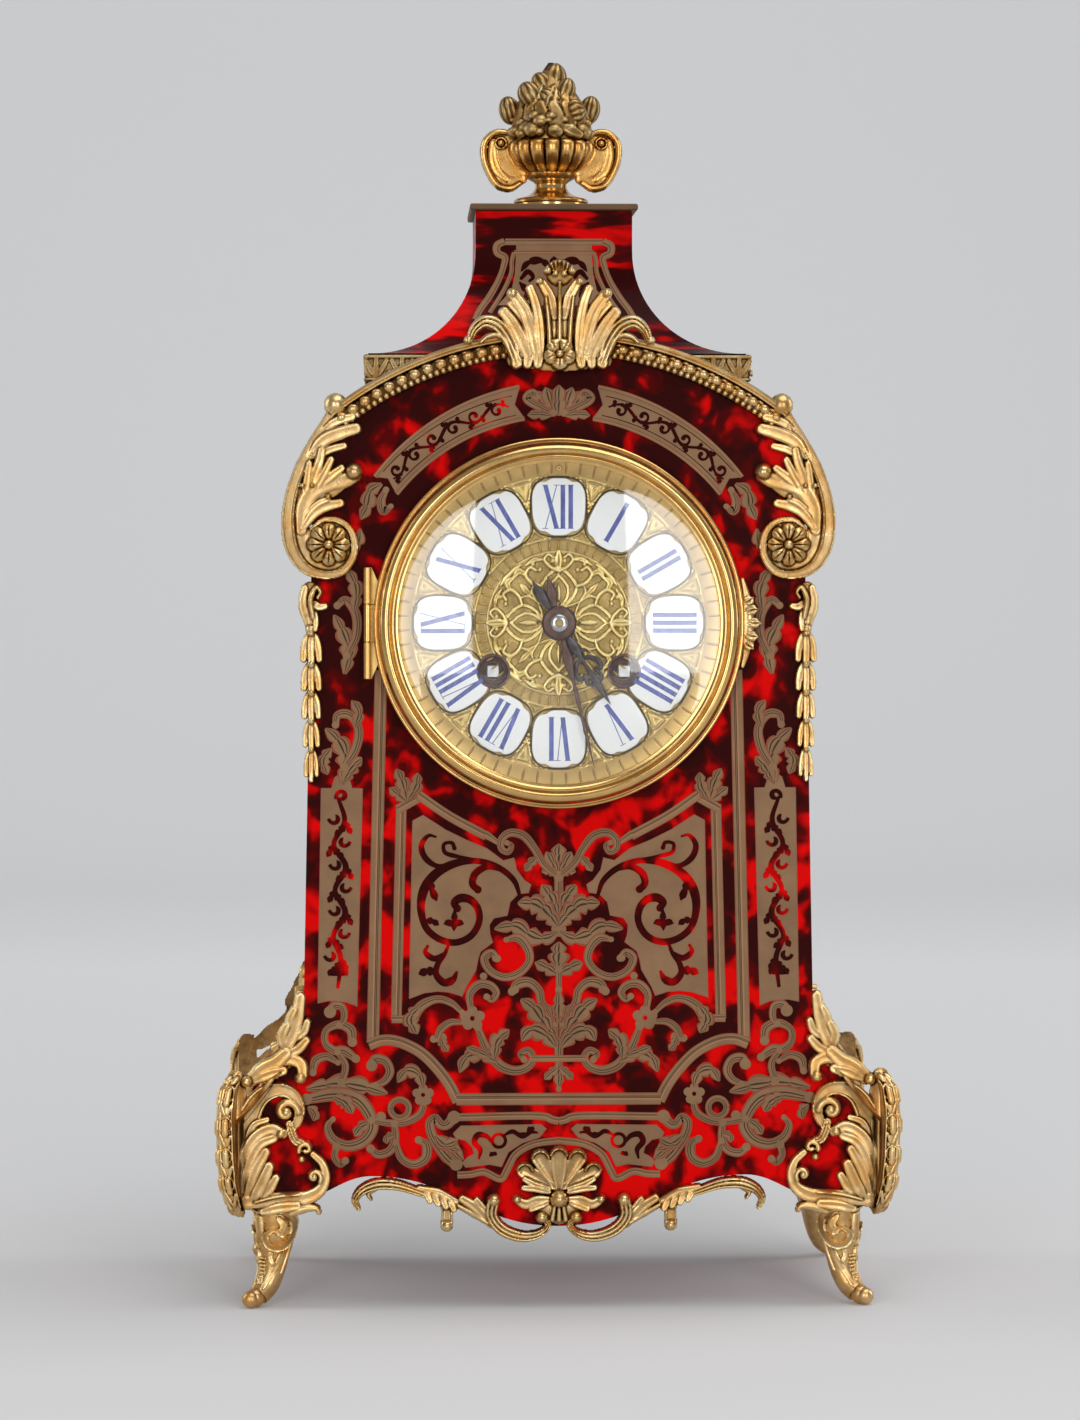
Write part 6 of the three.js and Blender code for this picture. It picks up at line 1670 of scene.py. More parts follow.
def draw_panel_vine(inlay):
    """Dark vine of a side panel, with a curl and a leaf pair at each bend."""
    bends = ((77.2, 179), (75, 171), (78.8, 163), (74.6, 155), (78.4, 147), (74.8, 139), (79, 131),
             (76.4, 123), (77.4, 113))
    inlay.ribbon(bends, [0.5, 0.8, 0.7, 0.9, 0.7, 0.9, 0.7, 0.8, 0.5], "vein")
    inlay.ribbon(spiral((76, 180), 2.2, 0.6, -30, 330), [0.6, 0.6, 0.9], "vein", raw=True)
    panel_middle = 76.8
    for x, z in bends[1:-1]:
        turn = 1 if x > panel_middle else -1
        middle = (x - turn * 3.4, z + 1)
        inlay.ribbon(spiral(middle, 2.3, 0.5, 90 + 90 * turn, 250 * turn), [0.5, 0.6, 0.8], "vein",
                     raw=True)
        inlay.leaf([(x, z), (x + turn * 1.2, z - 2.2), (x + turn * 2.4, z - 4.4)], 1.0, 2, "vein")
        inlay.leaf([(x, z - 1), (x - turn * 1.6, z - 3.4), (x - turn * 3.6, z - 4.6)], 1.1, 2, "vein")
    stem = 77.4
    for tilt in (-1, 1):
        inlay.leaf([(stem, 117), (stem + tilt * 2, 118.4), (stem + tilt * 3.4, 117)], 1.1, 2, "vein")


def draw_corners(inlay):
    """Foliage in the flared lower corners, side panels and the sprays above them."""
    inlay.leaf([(88.4, 77.2), (78.6, 79), (70, 78.4), (60, 75.6)], 2.3, 4)
    inlay.ribbon([(88.4, 73.6), (78.5, 75.4), (70.7, 73.6), (66.5, 68.6), (65.3, 63.6), (68.3, 59),
                  (74.3, 57.2), (79.6, 60), (81, 64.4), (79.2, 66.6)],
                 [1.2, 1.7, 1.9, 1.8, 1.6, 1.5, 1.5, 1.3, 1.1, 0.6])
    inlay.leaf([(79, 74.6), (74.6, 72.4), (72.2, 68.6)], 1.8, 3)
    inlay.leaf([(66.4, 65.4), (69.4, 63.6), (71.6, 60.6)], 1.5, 2)
    inlay.leaf([(88, 71), (85.4, 68.8), (86, 66)], 1.3, 2)
    inlay.ribbon([(77.9, 57), (78.6, 53.4), (76.6, 50.8), (74.8, 52)], [0.9, 0.9, 0.9, 0.8])
    inlay.ribbon([(72.4, 93.6), (73, 98), (77.3, 99.8), (81.6, 97.6), (81.8, 93.4), (78.9, 90.8),
                  (75.3, 90.6), (71.2, 87.8)], [1, 1.3, 1.1, 0.9, 0.9, 1.1, 1.3, 0.9])
    inlay.ribbon([(77.6, 90.2), (74.8, 85.4), (76.2, 79.4)], [0.7, 0.9, 0.9])
    inlay.ribbon([(77.4, 86.4), (81.4, 88.6), (85.2, 87.2), (86.2, 83)], [0.6, 1, 1.2, 0.8])
    inlay.ribbon([(80.2, 104.2), (78.6, 106.4), (75.8, 105.8), (75.4, 101.4), (77, 99.6)],
                 [1.3, 1.1, 0.9, 0.9, 0.7])
    inlay.ribbon([(65.6, 85.4), (64.4, 87.6), (60.9, 87), (59.2, 83.4), (60.8, 80.2), (64.4, 78.4)],
                 [1.2, 1.2, 1.1, 1.1, 1, 0.7])
    inlay.flower((47.6, 75), 3.7)
    inlay.leaf([(47.6, 77.4), (49.4, 82.2), (53.4, 83.4), (56.6, 79.4)], 1.7, 3)
    inlay.ribbon([(65.6, 66.2), (59.4, 65.2), (53.4, 65.6), (48.6, 68.4), (47.2, 72.6)],
                 [0.8, 0.9, 1, 1, 0.8])
    inlay.ring((55.8, 70.2), 3.2, 0.8)
    inlay.disc((62.3, 67.4), 1.7)
    inlay.ribbon([(57.6, 65), (57.4, 59.6), (59.3, 55.4), (63.5, 54.2), (66, 56.2)],
                 [0.8, 1, 1.1, 1.1, 0.9])
    inlay.ribbon([(57.2, 58.4), (55, 52.6), (50.8, 50.6), (46.8, 52.8), (46.6, 57.6), (49.2, 59.2)],
                 [0.7, 1, 1.1, 1.2, 1.3, 0.8])
    inlay.leaf([(57.4, 61), (60.2, 60.2), (60.4, 57.8)], 1.0, 2)
    inlay.ground([(83.2, 182.6), (79.6, 182.6), (78.4, 186.4), (76, 188), (73.6, 186.4), (72.4, 182.6),
                  (68.8, 182.6), (70.8, 106), (74.2, 107.6), (77.4, 108), (80.6, 108.2), (84.4, 107.2)])
    draw_panel_vine(inlay)
    inlay.leaf([(76, 184), (74.4, 192), (77.2, 199), (81.8, 203.6)], 2.4, 4)
    inlay.leaf([(75.4, 185), (72.2, 190.4), (69, 193.4)], 1.9, 3)
    inlay.ribbon([(75.2, 190), (71.2, 196.6), (70.2, 203.4), (73.4, 208.4), (77.4, 208.2), (78.2, 204.8)],
                 [0.9, 1.2, 1.2, 1.1, 1.2, 0.8])
    inlay.leaf([(71.4, 204), (70.2, 209.6), (72.6, 213.4)], 1.5, 2)
    inlay.leaf([(79.8, 196.6), (82.4, 192.4), (81, 187.4)], 1.6, 3)
    inlay.leaf([(75, 222.6), (73.6, 231), (76.2, 238.4), (78.8, 243.4)], 2.1, 4)
    inlay.ribbon([(74.4, 229), (71, 236), (71.2, 244), (74.8, 248.6), (77.6, 246.6)],
                 [0.8, 1.1, 1.2, 1.2, 0.8])
    inlay.leaf([(71.6, 244.6), (71, 252.4), (74, 259.6)], 1.8, 3)
    inlay.leaf([(53.4, 178), (56.6, 180.6), (59.4, 182.8)], 1.4, 2)
    inlay.leaf([(53.2, 178.4), (54.6, 184), (57, 189.4)], 1.8, 3)
    inlay.leaf([(52.8, 178.4), (50.2, 183.2), (49.4, 188)], 1.7, 3)


def dial_point(radius, turn):
    """A point by radius and clockwise degrees from twelve."""
    angle = math.radians(turn)
    return (radius * math.sin(angle), DIAL_Z + radius * math.cos(angle))


def draw_lambrequin(inlay):
    """The brass field over the apron shell with its vine."""
    inlay.ground([(37, 61.4), (34.4, 64), (6.2, 64.4), (4.4, 62.9), (6.8, 59.9), (12.8, 58), (17.7, 54.8),
                  (20.2, 49.6), (24.3, 50.5), (32.7, 49.5), (33.9, 51.1), (32.1, 52.9), (29.7, 54.2),
                  (30.3, 56.6), (32.7, 59), (36, 59.6)])
    inlay.ring((21, 58.8), 2.3, 0.5, "vein", 24)
    inlay.ribbon([(19.4, 60.6), (16.2, 62), (12.8, 60.2), (9.8, 61.8), (7.6, 61.6)],
                 [0.3, 0.7, 0.6, 0.7, 0.3], "vein")
    inlay.ribbon([(22.8, 57.4), (25.4, 60.4), (28.4, 60.8), (29.6, 58.4), (27.6, 55.6), (28, 52.6)],
                 [0.3, 0.7, 0.9, 0.9, 0.8, 0.3], "vein")
    for x, z in ((14.4, 60.2), (11.2, 62.2), (24.4, 53.4)):
        inlay.leaf([(x, z), (x - 1.4, z + 0.9), (x - 2.8, z + 0.5)], 0.7, 2, "vein")


BAND_MIDDLE = 77.8


def draw_arch_bands(inlay):
    """The brass bands that follow the bezel, the palmette between them and their tails."""
    low, high, start, end = 72.2, 83.8, 9.5, 51.5
    turns = np.linspace(start, end, 20)
    outer = [dial_point(high - 1.6 * (t - start) / (end - start), t) for t in turns]
    inner = [dial_point(low + 0.4, t) for t in turns[::-1]]
    notch = [dial_point(78.4, end - 1.8)]
    inlay.ground(outer + notch + inner + [dial_point(78.0, start + 2.0)])
    inlay.ribbon(outer, 0.8, "strip", raw=True)
    inlay.ribbon(inner, 0.8, "strip", raw=True)
    for radius in (low + 2.1, high - 2.6):
        inlay.ribbon([dial_point(radius, t) for t in turns[1:-1]], 0.12, "vein", raw=True)
    reach = math.degrees(1 / BAND_MIDDLE)

    def on_band(along, across):
        """A point on the band: distance along it from its upper end, and out from its middle."""
        return dial_point(BAND_MIDDLE + across, start + reach * along)

    stems = range(36)
    first, pitch = 5.0, 1.38
    vine = [on_band(first + pitch * k, 1.8 * math.sin(0.52 * k)) for k in stems]
    inlay.ribbon(vine, [0.25, 0.5, 0.4, 0.55, 0.4, 0.5, 0.25], "vein", steps=3)
    for k in stems[3::6]:
        way = 1 if k % 12 == 3 else -1
        root = first + pitch * k
        curl = [on_band(root + r * math.sin(t), way * (r * math.cos(t) - 0.4))
                for r, t in zip(np.linspace(2.2, 0.7, 14), np.linspace(0, 4.8, 14))]
        inlay.ribbon(curl, [0.5, 0.35, 0.6], "vein", steps=2)
        inlay.leaf([on_band(root + 0.6, way * 1.5), on_band(root + 3.4, way * 3.0)], 0.8, 2, "vein")
        inlay.leaf([on_band(root - 2.4, way * 0.2), on_band(root - 2.8, way * 2.9)], 0.7, 2, "vein")
    for turn in (4.2, 2.1, 0.001):
        tip = dial_point(83.4 - 0.35 * turn, turn * 1.55)
        inlay.leaf([dial_point(72.6, turn * 0.5), dial_point(78.4, turn * 1.2), tip], 2.0, 2,
                   sides=(1, -1) if turn > 1 else (1,))

    def round_dial(points):
        return [dial_point(radius, turn) for radius, turn in points]

    inlay.ribbon(round_dial([(73.6, 1.5), (76.2, 5.4), (79.6, 8.2), (81.4, 6.4), (79.6, 5.2)]),
                 [0.8, 1, 1.1, 1, 0.6])
    inlay.leaf(round_dial([(72.6, 2), (73.4, 5.4), (73.6, 8.6)]), 1.3, 2)
    inlay.leaf(round_dial([(78.8, 51.8), (80.4, 55), (78.6, 58.4), (78.2, 62.4)]), 1.9, 3)
    inlay.ribbon(round_dial([(76.4, 52.4), (75.4, 55.6), (72.8, 57.4), (71.6, 55.2)]), [0.7, 1.1, 1.2, 0.6])
    inlay.leaf(round_dial([(77, 64.6), (75.6, 68), (77.4, 72)]), 1.4, 2)


def draw_roof(inlay):
    """Framed field on the front of the roof."""
    inlay.ribbon([(0, 354), (0, 376.4)], [20.4, 15.4, 14.2, 13.8, 13.6], "ground", sides=(1,), steps=16)
    inlay.ribbon([(17.6, 377.2), (0, 377.2)], 1.2, "strip")
    inlay.ribbon([(14.4, 373.4), (0, 373.4)], 0.8, "strip")
    inlay.ribbon([(17.8, 377.4), (20.6, 375.8), (20.4, 373.2), (17.8, 371.6), (18.2, 368.4), (20, 363.4),
                  (23.4, 357.2), (27, 352), (28.6, 348.6)], [1.3, 1.4, 1.3, 1.1, 1.1, 1.2, 1.2, 1.2, 1.2],
                 "strip")
    inlay.ribbon([(14.4, 373.4), (15.2, 370.4), (15.4, 366.4), (17.2, 361.6), (20.4, 355.8), (23.4, 351.2)],
                 0.8, "strip")
    inlay.leaf([(0, 366), (0, 372)], 1.4, 2, "vein", (1,))
    inlay.leaf([(0.6, 367), (4.6, 370.4), (9.4, 369.6), (12, 366.4)], 1.1, 3, "vein")
    inlay.leaf([(12.6, 362.6), (9.8, 358.8), (10.8, 355)], 1.0, 2, "vein")
    inlay.ribbon([(11.8, 364), (9.4, 366.4), (7.6, 364.4), (8.8, 363)], [0.5, 0.8, 0.7, 0.4], "vein")


def build_marquetry():
    front = Inlay(on_face)
    for draw in (draw_borders, draw_cartouche, draw_candelabra, draw_corners, draw_lambrequin,
                 draw_arch_bands):
        draw(front)
    front.finish("inlay_front")
    roof = Inlay(on_roof)
    draw_roof(roof)
    roof.finish("inlay_roof")


# Gilt mounts

MOUNT_BACK = -0.25
VOLUTE = (80.5, 268)


def add_mount(name, part, node, finish="gilt", smooth=70):
    """A gilt mount of the case from its vertices, faces and cavity, in place of a CAD node."""
    vertices, faces, cavity = part
    add_piece(name, vertices, faces, finish, "case", "gilt_mounts", [node], cavity=cavity, smooth=smooth)


def add_pair(name, part_of, node):
    """A right-hand and a left-hand piece from one drawing; part_of(side) gives the part."""
    for side, word in ((1, "right"), (-1, "left")):
        part = part_of(side)
        if side < 0:
            part = flipped(part)
        add_mount(f"{name}_{word}", part, f"{node}_{word}")


def build_volutes(step):
    field = Relief((VOLUTE[0] - 16, VOLUTE[1] - 15), (VOLUTE[0] + 19, VOLUTE[1] + 55), step, VOLUTE)
    channel = [(6.4, 33), (9.6, 24), (10.6, 14), (10.2, 4), (7.6, -4), (1, -7.6), (-4.6, -6)]
    field.stroke(channel, [2.4, 3.4, 4, 3.8, 3.4, 3, 2], [0.7, 0.8, 1, 1, 0.9, 0.9, 0.8])
    field.stroke([(9.4, 8), (7.4, 14), (3, 19), (-3, 21.6), (-7, 23)], [2.4, 4.6, 5.6, 4.4, 2.6],
                 [1.2, 1.8, 2, 2.2, 2.6], finger_section)
    field.stroke([(6, 18), (4.4, 24), (2.4, 29.4)], [2.8, 3.8, 2.6], 1.7, finger_section)
    field.stroke([(5, 32), (0.4, 37.4), (-4.6, 40.6)], [2.6, 4.6, 3.4], [1.6, 2, 2.2], finger_section)
    band = [(-2.4, 48.2), (0.8, 42.8), (5.6, 35), (10.2, 26), (13.4, 16), (14.2, 6), (12.4, -2.6),
            (8, -8.4), (1.4, -10.6), (-4.6, -9.4), (-8.4, -4.5), (-9, 0.6), (-7, 5.8), (-2.8, 8.6),
            (2, 8.6), (6.2, 5.4)]
    field.stroke(band, [1.8, 1.9, 2, 2.1, 2.1, 2.2, 2.4, 2.5, 2.3, 1.9, 1.6, 1.5, 1.4, 1.2, 1, 0.6],
                 [2.6, 2.4, 2.4, 2.4, 2.6, 2.8, 3, 3.1, 3, 2.8, 2.7, 2.6, 2.5, 2.4, 2.2, 1.6], band_section)
    field.dome((0, 0), 8.4, 0.7, 0.1)
    field.dome((-2.4, 48.8), 4.1, 4.6)
    field.fingers(
        ([(9.6, 5), (8.6, 13), (5, 19), (-1, 21.6), (-6, 22.6), (-9, 24.4)], 3.5, 2.6),
        ([(4, 20), (-0.5, 23.6), (-4.4, 26.6)], 1.9, 3.1),
        ([(8.8, 6), (5, 11), (0.5, 13.4), (-4, 14.4)], 2.1, 2.8),
        ([(7.5, 11), (3.5, 14.4), (0.2, 15.8)], 1.4, 3.1),
        ([(7.2, 15), (5, 24), (3.2, 29), (2.4, 33)], 2, 3),
        ([(8.8, 15), (7.6, 22), (6.8, 28.2)], 1.6, 2.8),
        ([(5.4, 18), (1.2, 25.6), (-0.8, 29.6)], 1.7, 3.2),
        ([(6.4, 31), (1.6, 36.4), (-3.6, 38.8), (-9.4, 40.4)], 2.8, 3.4),
        ([(4.4, 30.6), (-0.6, 33.2), (-5.4, 34.4)], 1.6, 3.2),
        ([(1.6, 40.4), (-3.6, 43.4), (-8.2, 44.6)], 1.9, 3.6))
    field.dome((-8.8, 25.4), 3.2, 4.7)
    for place, size, rise in (((9.2, 20.6), 1.2, 3.2), ((0.2, 16.6), 1.2, 3.8), ((5.8, 20.6), 0.9, 3.6)):
        field.dome(place, size, rise)
    field.rosette((0, 0), 7.6, 1.4, 3.0, 8)
    add_pair("gilt_volute", lambda side: field.solid(on_front(MOUNT_BACK, side), 1.2), "volute")


ARCH_SPAN = 38.4


def build_arch(sizes):
    profile = [(129.8, 8), (129.8, -4.4), (129.5, -5), (128.9, -5.25), (128.4, -5.1), (128.1, -4.7),
               (127.8, -4.9), (127.4, -4.8), (127.1, -4.2), (126.9, -3.2), (126.3, -2.6), (122.9, -2.5),
               (122.5, -3.2), (122.1, -3.4), (121.7, -3.2), (121.5, -2.6), (121.5, -0.25), (126.25, -0.25),
               (126.25, 8)]
    steps = 72
    angles = np.radians(np.linspace(90 - ARCH_SPAN, 90 + ARCH_SPAN, steps + 1))
    vertices = [(r * math.cos(a), at_depth(d), ARCH_Z + r * math.sin(a)) for a in angles
                for r, d in profile]
    rows = len(profile)
    faces = band_faces(steps + 1, rows, turned=True)
    faces.append(list(range(rows)))
    faces.append([steps * rows + k for k in reversed(range(rows))])
    # Front and outer faces lighter, the recessed faces dark on the gilt ramp: patina and painted shade.
    hollow = np.tile([0.36 if d < -4.5 or r > 129 else 0.85 for r, d in profile], steps + 1)
    add_mount("gilt_arch_moulding", (vertices, faces, hollow), "arch_moulding", smooth=35)
    count = sizes.bead_count
    start, sweep = 90 - ARCH_SPAN + 1.0, 2 * ARCH_SPAN - 2.0
    half = 0.5 * sweep / (count - 1)
    rows = (("berries", -3.1, count, 125.2, 0, (1.9, 2.2, 1.8)),
            ("buds", -3, count, 124.4, half, (1.5, 1.15, 1.6)),
            ("husks", -3, count, 126.4, half, (0.7, 1.5, 1.5)),
            ("petals", -2.8, 2 * count - 1, 122.7, 0, (1.3, 1.05, 1.1)))
    for word, depth, number, radius, shift, bead in rows:
        bead_ring(f"gilt_arch_{word}", ARCH_Z, depth, number, radius, start + shift, sweep - shift, bead,
                  0.0, "gilt", "case", "gilt_mounts")


CREST_LOW = 328.3
CREST_BACK = -5.5


def build_crest(step):
    field = Relief((-36, CREST_LOW - 2), (36, CREST_LOW + 41), step, (0, CREST_LOW))
    field.stroke([(2, 5), (12, 4.4), (16, 3.8)], [5, 4, 2.4], 1.0)
    field.stroke([(2.2, 8), (2.4, 24)], [2.4, 2.4], 1.2)
    palm = [(14.6, 3), (17.4, 10.6), (21.4, 16), (26, 17.4), (29.6, 14.8), (31.4, 10.6)]
    field.stroke(palm, [2, 2.4, 2.7, 2.6, 2, 1.2], [2.4, 2.6, 2.8, 3, 3.4, 3.4], reed_section)
    field.stroke([(13.6, 4), (18, 10.4), (22, 12.8), (25.4, 12), (27.4, 10.2)], [1, 1.3, 1.3, 1.1, 0.8],
                 2.4)
    field.dome((31.7, 10.8), 1.7, 3.8)
    field.finger([(10.6, 4), (13.4, 11), (16.8, 17.2), (19.2, 20.4)], 2.8, 3.3)
    field.finger([(8, 5), (9.8, 14), (12.4, 21.4), (15.8, 26.4)], 2.9, 3.5)
    field.finger([(11, 15), (13.6, 19.4), (17.2, 23.4)], 1.5, 3.4)
    field.dome((16.4, 27.2), 2.0, 4.3)
    field.finger([(6.4, 6), (7.2, 17), (8.6, 24.4), (10.2, 28.8)], 2.0, 3.8)
    field.stroke([(3.4, 9), (3.9, 18), (4.8, 26)], [1.1, 1, 0.9], 3.7)
    field.finger([(1.8, 19), (3.4, 26), (6, 30.6)], 2.2, 3.7)
    field.dome((6.8, 31.3), 1.6, 4.3)
    for x in (15, 11, 7.4):
        field.finger([(x - 0.4, 8), (x, 4.4), (x + 0.2, 2.6)], 2.2, 2.5)
    field.mirror()
    field.stroke([(0, 8), (0, 31)], [1.5, 1, 0.8], [3, 3.7, 4.1])
    field.dome((0, 34.4), 4.9, 3.4)
    for x in np.linspace(-4.0, 4.0, 7):
        field.stroke([(x * 0.8, 34.6), (x * 1.05, 38.4 - 0.12 * x * x)], 0.55, [4, 3.6])
    for x, z, size in ((-4, 35, 1.6), (4, 35, 1.6), (-1.5, 34, 1.5), (1.5, 34, 1.5)):
        field.dome((x, z), size, 4.9)
    field.rosette((0, 6.2), 5.7, 2.2, 2.2, 5, math.radians(90))
    add_mount("gilt_crest", field.solid(on_front(CREST_BACK), 0.9), "crest_mount")


PENDANT_X = 86.6
PENDANT_TOP = 254.6


def build_pendants(step):
    low, high = (PENDANT_X - 7, PENDANT_TOP - 72), (PENDANT_X + 6.5, PENDANT_TOP + 2)
    field = Relief(low, high, step, (PENDANT_X, PENDANT_TOP))
    field.stroke([(0.4, -14), (1.4, -7), (0.4, -2)], [2.2, 2.8, 2.6], 1.6)
    field.finger([(1.6, -14), (3, -7), (2.2, -1.8)], 1.7, 2.6)
    field.stroke([(-0.6, -12), (0.2, -5.6), (-1.8, -1.6), (-3.2, -3.2), (-2.2, -5.2)],
                 [1.3, 1.4, 1.3, 1.1, 0.8], [2.6, 3, 3.6, 3.2, 2.6])
    field.finger([(-0.4, -6.6), (-2.6, -8.4), (-4.8, -8.2)], 1.5, 3.2)
    field.finger([(-0.8, -9), (-1.6, -13), (-1.4, -16.2)], 1.2, 2.8)
    field.dome((0.2, -16.2), 1.9, 3.0)
    husks = ((-17, 11.6, 4.3), (-27.6, 11, 4.1), (-37.6, 10.8, 3.8), (-47.6, 10.8, 3.4), (-57.6, 11.4, 2.9))
    for top, drop, size in husks:
        field.stroke([(0, top), (0, top - drop * 0.6)], [0.28 * size, 0.5 * size], 1.2)
        for lean in (-1, 1):
            field.finger([(lean * 0.1 * size, top), (lean * 0.5 * size, top - drop * 0.4),
                          (lean * 0.64 * size, top - drop * 0.84)], size * 0.36, 2.5)
        field.finger([(0, top - 0.5), (0.05 * size, top - drop * 0.5), (0, top - drop)], size * 0.36, 3.2)
        field.dome((0, top - 0.6), size * 0.36, 3.2)
    add_pair("gilt_pendant", lambda side: field.solid(on_front(MOUNT_BACK, side), 0.9), "pendant")


def build_apron(step):
    field = Relief((-75, 22), (75, 58), step)
    arm = [(70.2, 35.4), (71.4, 38.2), (69.4, 41.6), (64.2, 43.9), (57, 43.7), (49.6, 41.4), (44, 39.2)]
    field.stroke(arm, [0.9, 1.7, 2.2, 2.2, 1.9, 1.6, 1.3], [2.4, 3.2, 3.4, 3.2, 3, 2.8, 2.6], reed_section)
    field.stroke([(65.8, 38.6), (66.8, 40.6), (64, 42.4)], [0.6, 1, 0.8], 2.4)
    for x, z in ((48, 41.2), (45.2, 40.2), (42.4, 39.2), (39.6, 38.2)):
        field.finger([(x + 0.6, z + 0.6), (x - 1.6, z - 0.6), (x - 2.8, z - 3)], 1.5, 3.5)
    field.stroke([(49, 42.4), (43, 40.8), (36, 37.6)], [1.4, 2.2, 1.6], 2.4)
    field.stroke([(39.4, 37), (39.2, 32), (39.4, 29.4)], [2.1, 2.1, 2.2], [2.2, 2.6, 3.4], band_section)
    field.dome((39.3, 29.4), 2.3, 4.0)
    field.finger([(23.8, 29.4), (27.2, 33.6), (30.4, 36.6), (33.8, 38.8)], 2.0, 3.0)
    field.finger([(24.6, 31.4), (26.6, 35), (28.8, 38.4)], 1.6, 2.8)
    field.stroke([(25, 30.2), (29.6, 33.2), (35.2, 36.4)], [1, 1.4, 1.2], 2.2)
    scroll = [(23, 38), (23.6, 33), (20.2, 28.2), (13, 25.4), (7, 26.4), (3.8, 29.6), (5.8, 32.2)]
    field.stroke(scroll, [2.4, 2.3, 2.3, 2.2, 1.9, 1.4, 1.2], [3.6, 3, 2.8, 2.7, 2.8, 3, 3.4], reed_section)
    field.dome((22.8, 38.2), 2.6, 4.2)
    field.dome((6, 32.2), 2.3, 4.3)
    field.finger([(3.6, 38.4), (8, 38), (11.6, 36.8), (14.6, 38.4)], 2.0, 3.0)
    field.dome((14.8, 38.6), 1.7, 3.8)
    field.finger([(4, 37), (7.4, 36), (9.8, 35)], 1.3, 3.0)
    for low, tip in ((41, (12.4, 42.6)), (42.2, (12, 45.6))):
        field.finger([(3.4, low), (8, low + 1.2), tip], 1.4, 3.2)
    for tip, width in (((12, 48.6), 3), ((6.5, 52.8), 3.3)):
        field.stroke([(1.4, 42.6), (tip[0] * 0.55, 42.6 + (tip[1] - 42.6) * 0.5), tip],
                     [1, width * 0.8, width], [1.6, 2.2, 3], scallop_section)
        field.stroke(arc(tip, width * 0.9, 10, 170, 8) - np.array([0, 0.2]), 0.6, 3.8, raw=True)
    field.mirror()
    field.stroke([(-5, 34.6), (0, 33.4), (5, 34.6)], [3, 4, 3], 1.4)
    for x in (-2.4, 0, 2.4):
        field.stroke([(x * 0.6, 36.4), (x, 31.4)], [0.9, 1.2], [2.8, 2.4])
    field.stroke([(0, 42), (0, 49), (0, 54)], [1.2, 2.6, 3.3], [1.8, 2.4, 3.2], scallop_section)
    field.stroke(arc((0, 53.6), 2.9, 10, 170, 8), 0.6, 4.0, raw=True)
    field.dome((0, 38.6), 3.3, 5.4)
    add_mount("gilt_apron", field.solid(on_front(MOUNT_BACK), 1.0), "apron_mount")


# Corner feet

CORNER_X = 112.7
CORNER_Y = FACE_Y - 2.7
HALF_ROOT = math.sqrt(0.5)


